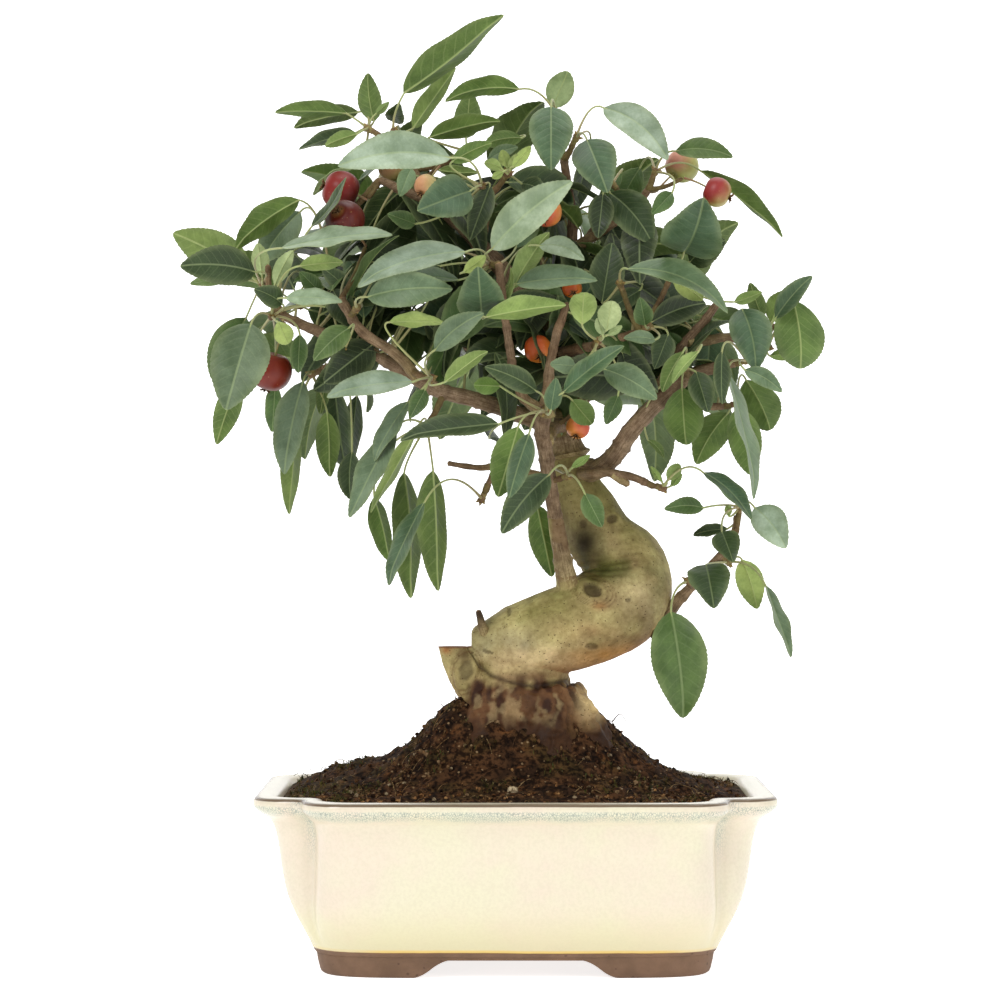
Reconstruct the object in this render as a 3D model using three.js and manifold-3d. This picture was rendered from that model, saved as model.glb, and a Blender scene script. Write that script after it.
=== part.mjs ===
// Crabapple bonsai in a glazed pot.
// Millimetres, +Z up. Sizes are drawn round the middle of the pot, level with the bottoms of its feet.
// The finished plant is then moved along X and Y, so that its origin lies under the middle of its box.
import * as THREE from 'three';
import { mergeVertices } from 'three/addons/utils/BufferGeometryUtils.js';
import Module from 'manifold-3d';

const wasm = await Module();
wasm.setup();

// ---------------------------------------------------------------- driving dimensions

const GAP = 0.3;               // air left between neighbouring pieces
const STATION = 1600;          // the front elevation is drawn in perspective from this far in front
const UNIT = 0.479;            // millimetres per elevation unit, on the plane through the trunk
const EYE = { u: 500, v: 500, x: -7.2, z: 220.1 };

const POT_FLOOR = 17;

// Pot rings, bottom to top outside and back down inside. ax, ay: half size of the long lobe;
// bx, by: half size of the deep lobe; oval: how far the corner notch has faded into an oval corner.
const POT_RINGS = [
  { z: 10.0, ax: 93.5, ay: 52.0, bx: 82.0, by: 66.0, oval: 1.0 },
  { z: 12.2, ax: 94.5, ay: 54.0, bx: 84.0, by: 68.5, oval: 0.95 },
  { z: 20.4, ax: 98.5, ay: 60.0, bx: 89.5, by: 74.5, oval: 0.6 },
  { z: 30.0, ax: 103.0, ay: 62.5, bx: 91.0, by: 80.0, oval: 0.3 },
  { z: 42.0, ax: 107.6, ay: 63.0, bx: 91.0, by: 84.0, oval: 0.1 },
  { z: 71.0, ax: 111.4, ay: 63.0, bx: 91.0, by: 86.5, oval: 0.0 },
  { z: 76.0, ax: 118.5, ay: 70.0, bx: 95.5, by: 95.0, oval: 0.0 },
  { z: 78.5, ax: 121.3, ay: 72.5, bx: 97.5, by: 98.0, oval: 0.0 },
  { z: 81.8, ax: 121.3, ay: 72.5, bx: 97.5, by: 98.0, oval: 0.0 },
  { z: 83.4, ax: 119.8, ay: 71.0, bx: 96.0, by: 96.5, oval: 0.0 },
  { z: 83.4, ax: 112.0, ay: 64.0, bx: 89.5, by: 88.5, oval: 0.0 },
  { z: 80.5, ax: 110.0, ay: 62.0, bx: 87.5, by: 86.5, oval: 0.0 },
  { z: 68.0, ax: 103.5, ay: 56.5, bx: 84.5, by: 79.5, oval: 0.0 },
  { z: 32.0, ax: 97.0, ay: 55.0, bx: 82.5, by: 73.5, oval: 0.3 },
  { z: POT_FLOOR, ax: 86.0, ay: 48.0, bx: 75.0, by: 61.0, oval: 1.0 },
];
const CORNER_STEPS = 3;        // facets round each pot corner
const NOTCH_FILLET = 4;
const OVAL_POWER = 4.4;
const FOOT = { height: 10.6, width: 15, topInset: 0.6, bottomInset: 2.4 };
const FRONT_ARCH = { top: 31, bottom: 47, height: 8.4 };
const SIDE_ARCH = { top: 15, bottom: 27, height: 8.4 };
const DRAIN = { x: 50, radius: 8, sides: 12 };
const SCREEN = { side: 26, thickness: 0.9, holes: 2, hole: 9.4, pitch: 11.6 };

const SOIL_FLOOR = 18.8;       // the drain screens lie under the soil
const SOIL_EDGE = 80.3;        // soil level along the rim
const SOIL_WALL_GAP = 0.5;

const HUB_RADIUS = 2.3;        // the green bud that a spray's leaf stalks share
const CRUMB = 6;               // cubic millimetres
const LEAF = {
  thick: 0.7,                  // blade at its edge
  rib: 0.35,                   // how far the mid-rib stands out below
  stalk: 0.75,                 // leaf-stalk radius
  fold: 0.24,                  // how far the halves rise from the mid-rib, per half-width
  foldMean: 0.75,              // the halves' mean rise, as a share of fold
  arch: 0.07,                  // how far the middle rises, per length
  tooth: 0.07,                 // depth of the cut edge, per half-width
  slender: 0.2,                // least half-width, per length
  stout: 0.3,                  // most half-width, per length
  long: 52,                    // a longer leaf has four teeth a side and two bends along its mid-rib
};
const DEPTH_TRIES = [0, 4, -4, 8, -8, 12, -12, 17, -17, 23, -23, 30, -30];
const SIZE_TRIES = [1, 0.85, 0.7];
const STALK_TRIES = [1, 3.2, -2];
const LONG_STALK = 26;         // a longer leaf stalk has a bend in it
const STALK_FOOT = 0.9;        // leaf stalks end this far from the middle of their bud

// ---------------------------------------------------------------- small helpers

const vec = (x, y, z) => new THREE.Vector3(x, y, z);
const lerp = (a, b, t) => a + (b - a) * t;

// A point of the front elevation (u to the right, v down) at a depth y behind the trunk's plane.
function place(u, v, depth) {
  const scale = UNIT * (STATION + depth) / STATION;
  return vec(EYE.x + (u - EYE.u) * scale, depth, EYE.z - (v - EYE.v) * scale);
}

const unitAt = (depth) => UNIT * (STATION + depth) / STATION;

function geometryFrom(points, triangles) {
  const geometry = new THREE.BufferGeometry().setFromPoints(points);
  geometry.setIndex(triangles.flat());
  return geometry;
}

function toSolid(geometry) {
  const bare = geometry.clone();
  bare.deleteAttribute('normal');
  bare.deleteAttribute('uv');
  const merged = mergeVertices(bare, 1e-5);
  return new wasm.Manifold(new wasm.Mesh({
    numProp: 3,
    vertProperties: new Float32Array(merged.attributes.position.array),
    triVerts: new Uint32Array(merged.index.array),
  }));
}

// The one body of a joined solid. Joining can shed crumbs or seal pockets of a few cubic
// millimetres, and those are left out; a bigger loose piece is a fault in the model.
function toGeometry(solid, name = 'a piece') {
  const mesh = solid.getMesh();
  const corners = mesh.triVerts;
  const point = (i) => vec(...mesh.vertProperties.slice(3 * i, 3 * i + 3));
  const parent = Array.from({ length: mesh.numVert }, (_, i) => i);
  const root = (i) => {
    while (parent[i] !== i) i = parent[i] = parent[parent[i]];
    return i;
  };
  for (let c = 0; c < corners.length; c += 3) {
    parent[root(corners[c])] = root(corners[c + 1]);
    parent[root(corners[c + 1])] = root(corners[c + 2]);
  }
  const bodies = new Map();
  for (let c = 0; c < corners.length; c += 3) {
    const key = root(corners[c]);
    const body = bodies.get(key) ?? { volume: 0, triangles: [] };
    const [p, q, r] = [point(corners[c]), point(corners[c + 1]), point(corners[c + 2])];
    body.volume += p.dot(q.cross(r)) / 6;
    body.triangles.push(corners[c], corners[c + 1], corners[c + 2]);
    bodies.set(key, body);
  }
  const sorted = [...bodies.values()].sort((a, b) => b.volume - a.volume);
  const loose = sorted.slice(1).filter((body) => Math.abs(body.volume) > CRUMB);
  if (loose.length) throw new Error(`${name} has ${loose.length} loose pieces`);
  const geometry = new THREE.BufferGeometry();
  const positions = new Float32Array(mesh.vertProperties);
  geometry.setAttribute('position', new THREE.BufferAttribute(positions, 3));
  geometry.setIndex(sorted[0].triangles);
  return geometry;
}

const joined = (solids) => solids.reduce((whole, next) => whole.add(next));

// Closed skin over rings of equal point count, with a fan over each end: from the ring's middle,
// or from its first point where the ring is slim.
const SLIM = 8;
function loft(rings) {
  const count = rings[0].length;
  const points = rings.flat();
  const triangles = [];
  for (let r = 0; r + 1 < rings.length; r++) {
    for (let i = 0; i < count; i++) {
      const a = r * count + i;
      const b = r * count + (i + 1) % count;
      triangles.push([a, b, b + count], [a, b + count, a + count]);
    }
  }
  const last = (rings.length - 1) * count;
  if (count <= SLIM) {
    for (let i = 1; i + 1 < count; i++) {
      triangles.push([0, i + 1, i], [last, last + i, last + i + 1]);
    }
    return geometryFrom(points, triangles);
  }
  const middle = (ring) => ring.reduce((sum, p) => sum.add(p), vec(0, 0, 0)).divideScalar(count);
  const low = points.length;
  points.push(middle(rings[0]), middle(rings[rings.length - 1]));
  for (let i = 0; i < count; i++) {
    const j = (i + 1) % count;
    triangles.push([low, j, i], [low + 1, last + i, last + j]);
  }
  return geometryFrom(points, triangles);
}

// Round bar of changing radius through hand-set knots { at, r }, smoothed by a curve.
function bar(knots, sides, steps, grow = 0, flatten = 1) {
  const curve = new THREE.CatmullRomCurve3(knots.map((k) => k.at), false, 'centripetal');
  const frames = curve.computeFrenetFrames(steps, false);
  const rings = [];
  for (let s = 0; s <= steps; s++) {
    const t = s / steps;
    const centre = curve.getPoint(t);
    const span = t * (knots.length - 1);
    const k = Math.min(Math.floor(span), knots.length - 2);
    const radius = lerp(knots[k].r, knots[k + 1].r, span - k) + grow;
    const tangent = curve.getTangent(t);
    const normal = frames.normals[s];
    const side = normal.clone().addScaledVector(tangent, -normal.dot(tangent)).normalize();
    const other = tangent.clone().cross(side);
    const ring = [];
    for (let i = 0; i < sides; i++) {
      const angle = 2 * Math.PI * i / sides;
      const offset = side.clone().multiplyScalar(Math.cos(angle) * radius)
        .addScaledVector(other, Math.sin(angle) * radius);
      offset.y *= flatten;
      ring.push(centre.clone().add(offset));
    }
    rings.push(ring);
  }
  return loft(rings);
}

const knot = (u, v, radius, depth) => ({ at: place(u, v, depth), r: radius * unitAt(depth) });

// Repeatable draws, so that every build grows the same leaves.
function drawFrom(seed) {
  let state = seed;
  return () => {
    state = (state * 1664525 + 1013904223) % 4294967296;
    return state / 4294967296;
  };
}

// ---------------------------------------------------------------- pot

function potOutline(ring, z, inset = 0) {
  const ax = ring.ax - inset;
  const ay = ring.ay - inset;
  const bx = ring.bx - inset;
  const by = ring.by - inset;
  const longCorner = (ax - bx) * 0.9;
  const deepCorner = (by - ay) * 0.85;
  const quadrant = [];
  for (let i = 0; i <= CORNER_STEPS; i++) {
    const angle = Math.PI / 2 * i / CORNER_STEPS;
    quadrant.push([
      ax - longCorner * (1 - Math.cos(angle)),
      ay - longCorner * (1 - Math.sin(angle)),
    ]);
  }
  const fillet = Math.min(NOTCH_FILLET, (ax - bx) * 0.09 + 0.4);
  quadrant.push([bx + fillet * 0.3, ay + fillet * 0.3]);
  for (let i = 0; i <= CORNER_STEPS; i++) {
    const angle = Math.PI / 2 * i / CORNER_STEPS;
    quadrant.push([
      bx - deepCorner * (1 - Math.cos(angle)),
      by - deepCorner * (1 - Math.sin(angle)),
    ]);
  }
  const eased = quadrant.map(([x, y]) => {
    const angle = Math.atan2(y, x);
    const reach = (Math.abs(Math.cos(angle) / ax) ** OVAL_POWER
      + Math.abs(Math.sin(angle) / by) ** OVAL_POWER) ** (-1 / OVAL_POWER);
    return [lerp(x, reach * Math.cos(angle), ring.oval), lerp(y, reach * Math.sin(angle), ring.oval)];
  });
  const half = [...eased, ...eased.slice().reverse().map(([x, y]) => [-x, y])];
  const whole = [...half, ...half.map(([x, y]) => [-x, -y])];
  return whole.map(([x, y]) => vec(x, y, z));
}

function archCutter({ top, bottom, height }, reach, turned) {
  const shape = new THREE.Shape();
  shape.moveTo(-bottom, -1);
  shape.lineTo(-bottom, 0);
  shape.quadraticCurveTo(-top - 3, 1, -top - 1, height - 1.5);
  shape.quadraticCurveTo(-top, height, -top + 4, height);
  shape.lineTo(top - 4, height);
  shape.quadraticCurveTo(top, height, top + 1, height - 1.5);
  shape.quadraticCurveTo(top + 3, 1, bottom, 0);
  shape.lineTo(bottom, -1);
  const depth = 2 * reach;
  const cutter = new THREE.ExtrudeGeometry(shape, { depth, bevelEnabled: false, curveSegments: 2 });
  cutter.translate(0, 0, -reach);
  cutter.rotateX(Math.PI / 2);
  if (turned) cutter.rotateZ(Math.PI / 2);
  return toSolid(cutter);
}

function pot() {
  let body = toSolid(loft(POT_RINGS.map((ring) => potOutline(ring, ring.z))));
  const base = POT_RINGS[0];
  const footOuter = loft([
    potOutline(base, 0, FOOT.bottomInset),
    potOutline(base, 1.4, FOOT.topInset + 0.8),
    potOutline(base, FOOT.height, FOOT.topInset),
  ]);
  const footInner = loft([
    potOutline(base, -1, FOOT.width + FOOT.bottomInset),
    potOutline(base, base.z, FOOT.width),
  ]);
  const feet = toSolid(footOuter).subtract(toSolid(footInner))
    .subtract(archCutter(FRONT_ARCH, base.by + 5, false))
    .subtract(archCutter(SIDE_ARCH, base.ax + 5, true));
  body = body.add(feet);
  for (const side of [-1, 1]) {
    const drain = new THREE.CylinderGeometry(DRAIN.radius, DRAIN.radius, 20, DRAIN.sides);
    drain.rotateX(Math.PI / 2);
    drain.translate(side * DRAIN.x, 0, 14);
    body = body.subtract(toSolid(drain));
  }
  return body;
}

function drainScreen(x) {
  let plate = toSolid(new THREE.BoxGeometry(SCREEN.side, SCREEN.side, SCREEN.thickness));
  const start = -SCREEN.pitch * (SCREEN.holes - 1) / 2;
  for (let i = 0; i < SCREEN.holes; i++) {
    for (let j = 0; j < SCREEN.holes; j++) {
      const hole = new THREE.BoxGeometry(SCREEN.hole, SCREEN.hole, 3 * SCREEN.thickness);
      hole.translate(start + i * SCREEN.pitch, start + j * SCREEN.pitch, 0);
      plate = plate.subtract(toSolid(hole));
    }
  }
  return toGeometry(plate).translate(x, 0, POT_FLOOR + GAP + SCREEN.thickness / 2);
}

// ---------------------------------------------------------------- trunk and branches

const TRUNK = [
  knot(478, 652, 26, -10), knot(514, 646, 40, -12), knot(552, 633, 42, -12), knot(594, 618, 46, -8),
  knot(624, 598, 47, -3), knot(629, 568, 39, 3), knot(603, 541, 35, 7), knot(585, 508, 31, 10),
  knot(574, 482, 24, 10), knot(569, 455, 17, 10), knot(563, 430, 12.5, 10), knot(555, 400, 11, 10),
  knot(545, 360, 10.5, 8), knot(530, 320, 10, 6), knot(510, 280, 9.5, 2), knot(480, 245, 8, -4),
  knot(440, 208, 6.5, -6), knot(402, 190, 5, -8), knot(380, 180, 3.5, -8),
];
const FOOT_OF_TRUNK = [
  knot(524, 664, 48, -8), knot(518, 690, 58, -8), knot(524, 712, 65, -8), knot(530, 735, 66, -6),
  knot(538, 760, 68, -4), knot(542, 790, 70, -2),
];
const TRUNK_ROOTS = {
  stub: [knot(490, 700, 24, -14), knot(470, 678, 20, -16), knot(455, 652, 16, -16)],
  right: [knot(572, 703, 17, -16), knot(590, 735, 18, -20), knot(600, 765, 18, -20), knot(610, 795, 18, -20)],
  frontLeft: [knot(492, 700, 22, -20), knot(482, 735, 20, -26), knot(474, 775, 18, -32)],
  frontMiddle: [knot(540, 695, 24, -20), knot(552, 735, 22, -28), knot(560, 785, 20, -34)],
  backLeft: [knot(500, 690, 22, 14), knot(486, 740, 22, 26), knot(470, 790, 20, 36)],
  backRight: [knot(548, 702, 22, 14), knot(578, 740, 23, 24), knot(602, 790, 22, 34)],
};
const SNAG = [
  knot(497, 644, 6, -16), knot(484, 632, 5.5, -22), knot(480, 618, 4.5, -24), knot(478, 611, 3.5, -25),
];

const BRANCHES = {
  shoot: [knot(569, 592, 14, -16), knot(560, 545, 9.5, -22), knot(554, 510, 8.5, -24),
    knot(549, 480, 8.5, -27), knot(545, 450, 9, -31), knot(542, 430, 9, -35), knot(545, 404, 9.5, -40)],
  shootLink: [knot(545, 440, 7, -32), knot(553, 428, 7, -12), knot(563, 425, 8, 8)],
  right: [knot(578, 470, 11, 8), knot(600, 468, 10, -4), knot(617, 453, 9.5, -12), knot(632, 430, 9, -16),
    knot(656, 404, 8.5, -18), knot(690, 376, 7, -18), knot(718, 367, 5.5, -18), knot(734, 363, 4.5, -19)],
  rightUpper: [knot(654, 402, 7, -16), knot(668, 372, 6, -14), knot(682, 348, 5.5, -12),
    knot(697, 330, 5, -10), knot(718, 302, 3.5, -8)],
  rightTip: [knot(688, 345, 5, -12), knot(720, 338, 4.5, -8), knot(740, 339, 4, -4), knot(755, 343, 3.5, -3)],
  rightTwig: [knot(676, 388, 4.5, -16), knot(690, 404, 4, -12), knot(708, 407, 4, -8),
    knot(724, 406, 3.5, -7)],
  rightLow: [knot(580, 474, 6, 6), knot(590, 474, 5, -10), knot(612, 473, 4.2, -18), knot(632, 477, 4, -18),
    knot(647, 483, 4, -18)],
  left: [knot(556, 420, 9, 4), knot(530, 418, 8.5, -8), knot(500, 408, 8, -18), knot(470, 398, 8, -24),
    knot(440, 391, 7.5, -28), knot(414, 377, 7, -28), knot(380, 358, 6.5, -26), knot(348, 344, 6, -24),
    knot(305, 326, 5, -20), knot(278, 312, 4, -18)],
  leftPruned: [knot(418, 378, 5, -30), knot(396, 354, 5, -36), knot(366, 335, 5, -38), knot(352, 318, 5, -38),
    knot(341, 299, 5, -38)],
  leftTwig: [knot(362, 350, 4, -24), knot(338, 362, 3.5, -18), knot(323, 369, 3.5, -14)],
  leftBareA: [knot(505, 462, 3.2, -24), knot(480, 468, 3, -30), knot(448, 463, 2.6, -34)],
  leftBareB: [knot(548, 478, 4, -28), knot(520, 470, 3.5, -26), knot(500, 466, 3.4, -24),
    knot(488, 484, 3, -20)],
  uprightBare: [knot(545, 412, 6, -38), knot(524, 398, 5, -43), knot(515, 378, 4.5, -46),
    knot(510, 350, 4.2, -46), knot(505, 315, 4, -48), knot(499, 264, 4, -50)],
  uprightRight: [knot(545, 414, 7, -38), knot(547, 396, 6, -41), knot(551, 360, 4.6, -44),
    knot(559, 328, 4.4, -44), knot(567, 304, 3.8, -42)],
  lowRight: [knot(655, 632, 8, -8), knot(676, 604, 6, -8), knot(700, 578, 4.5, -6), knot(722, 553, 4, -2),
    knot(735, 534, 3.5, 0)],
  crownDark: [knot(536, 335, 8, 8), knot(560, 290, 6.5, 8), knot(572, 240, 5.5, 6), knot(569, 195, 4.5, 2),
    knot(564, 160, 4, 0)],
  crownRight: [knot(572, 250, 5, 6), knot(610, 226, 4.5, 2), knot(636, 206, 4, 0), knot(648, 190, 3.5, -2)],
  crownLeft: [knot(478, 244, 6, -4), knot(486, 212, 4.5, -12), knot(488, 196, 4, -22)],
  crownUpper: [knot(425, 200, 5, -6), knot(412, 165, 4, -4), knot(398, 142, 3.5, -4)],
  middleRight: [knot(545, 358, 7, 4), knot(575, 350, 5.5, -16), knot(594, 346, 4.5, -36)],
  shoulder: [knot(575, 350, 5, -14), knot(612, 340, 4.5, -26), knot(640, 332, 4, -32)],
  backRight: [knot(560, 425, 10, 12), knot(590, 390, 8, 38), knot(640, 350, 6, 62), knot(690, 310, 4.5, 78)],
  backLeft: [knot(555, 395, 9, 14), knot(500, 360, 7.5, 40), knot(430, 325, 6, 62), knot(365, 290, 4.5, 72)],
  backMiddle: [knot(548, 370, 9, 12), knot(548, 320, 7.5, 40), knot(540, 265, 6, 66),
    knot(520, 215, 4.5, 78)],
  backCrown: [knot(545, 290, 5.5, 54), knot(590, 235, 4.5, 56), knot(615, 195, 4, 52)],
  backCrownLeft: [knot(540, 275, 5, 60), knot(480, 235, 4.5, 58), knot(430, 205, 4, 50)],
};
const STOUT_BRANCH = 2.6;      // a thicker one has five sides, a thinner one four
const TRUNK_STEPS = 22;
const TRUNK_SIDES = 10;
const FOOT_SIDES = 12;
const FOOT_FLATTEN = 0.86;     // the foot is less deep than wide
const ROOT_ROOM = GAP + 0.15;
const TWIG = { leaf: 1.35, fruit: 1, bent: 22 };
const STUBS = {
  rightEye: [knot(758, 348, 3.6, -2), knot(768, 333, 3.2, -4), knot(775, 325, 3, -4)],
  leftEye: [knot(286, 318, 3.4, -18), knot(272, 298, 3.2, -20), knot(268, 266, 2.8, -22)],
  lowEye: [knot(728, 545, 3.4, -1), knot(735, 530, 3.2, 0), knot(737, 516, 3, 0)],
  cutRight: [knot(612, 474, 3.6, -18), knot(628, 484, 3.4, -18)],
};

// ---------------------------------------------------------------- fruit

// centre and radius in the front elevation, its depth, and where its stalk leaves the twig
const FRUIT = [
  { name: 'fruit_left_upper', u: 341, v: 191, r: 20, depth: -12, from: [367, 200, -10], look: 'red' },
  { name: 'fruit_left_second', u: 345, v: 220, r: 20, depth: -42, from: [366, 246, -22], look: 'red' },
  { name: 'fruit_left_low', u: 271, v: 371, r: 21, depth: -10, from: [285, 322, -14], look: 'red' },
  { name: 'fruit_right_top', u: 717, v: 192, r: 15, depth: -6, from: [684, 178, -4], look: 'red' },
  { name: 'fruit_right_green', u: 682, v: 166, r: 17, depth: 14, from: [658, 190, 6], look: 'green' },
  { name: 'fruit_crown', u: 547, v: 212, r: 15, depth: -22, from: [560, 184, -4], look: 'orange' },
  { name: 'fruit_crown_left', u: 392, v: 168, r: 14, depth: 16, from: [400, 142, 8], look: 'green' },
  { name: 'fruit_crown_young', u: 426, v: 186, r: 12, depth: -26, from: [440, 166, -18], look: 'orange' },
  { name: 'fruit_middle', u: 538, v: 349, r: 14, depth: -22, from: [532, 326, -8], look: 'orange' },
  { name: 'fruit_low', u: 578, v: 427, r: 12, depth: -22, from: [584, 402, -14], look: 'orange' },
  { name: 'fruit_inner', u: 572, v: 288, r: 10, depth: -26, from: [566, 266, -10], look: 'orange' },
];
const FRUIT_PROFILE = [
  [0, -0.88], [0.62, -0.82], [0.98, -0.22], [0.9, 0.5], [0.42, 0.96], [0, 0.84],
];
const FRUIT_SIDES = 7;
const CALYX = { lobes: 5, reach: 0.26, rise: 0.22 };
const LOOKS = { red: 0x8e2a20, green: 0xb9b873, orange: 0xd98a45 };

function fruitSolid(item, twigTip) {
  const centre = place(item.u, item.v, item.depth);
  const radius = item.r * unitAt(item.depth);
  const axis = twigTip.clone().sub(centre).normalize();
  const turn = new THREE.Quaternion().setFromUnitVectors(vec(0, 0, 1), axis);
  const profile = FRUIT_PROFILE.map(([r, z]) => new THREE.Vector2(r * radius, z * radius));
  const flesh = new THREE.LatheGeometry(profile, FRUIT_SIDES);
  flesh.rotateX(Math.PI / 2);
  const calyx = new THREE.ConeGeometry(CALYX.reach * radius, CALYX.rise * radius * 1.6, CALYX.lobes);
  calyx.rotateX(Math.PI / 2);
  calyx.translate(0, 0, -0.92 * radius);
  const body = [flesh, calyx].map((geometry) => toSolid(geometry.applyQuaternion(turn)
    .translate(centre.x, centre.y, centre.z)));
  const stalk = bar([
    { at: centre.clone().addScaledVector(axis, radius * 0.6), r: 0.8 },
    { at: centre.clone().lerp(twigTip, 0.62).add(vec(0, 0, 1.2)), r: 0.7 },
    { at: twigTip.clone(), r: 0.75 },
  ], 3, 2);
  return joined([...body, toSolid(stalk)]);
}

// ---------------------------------------------------------------- leaves

const T = 1;                   // the leaf's top side faces the front
const U = -1;                  // its underside does

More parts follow.
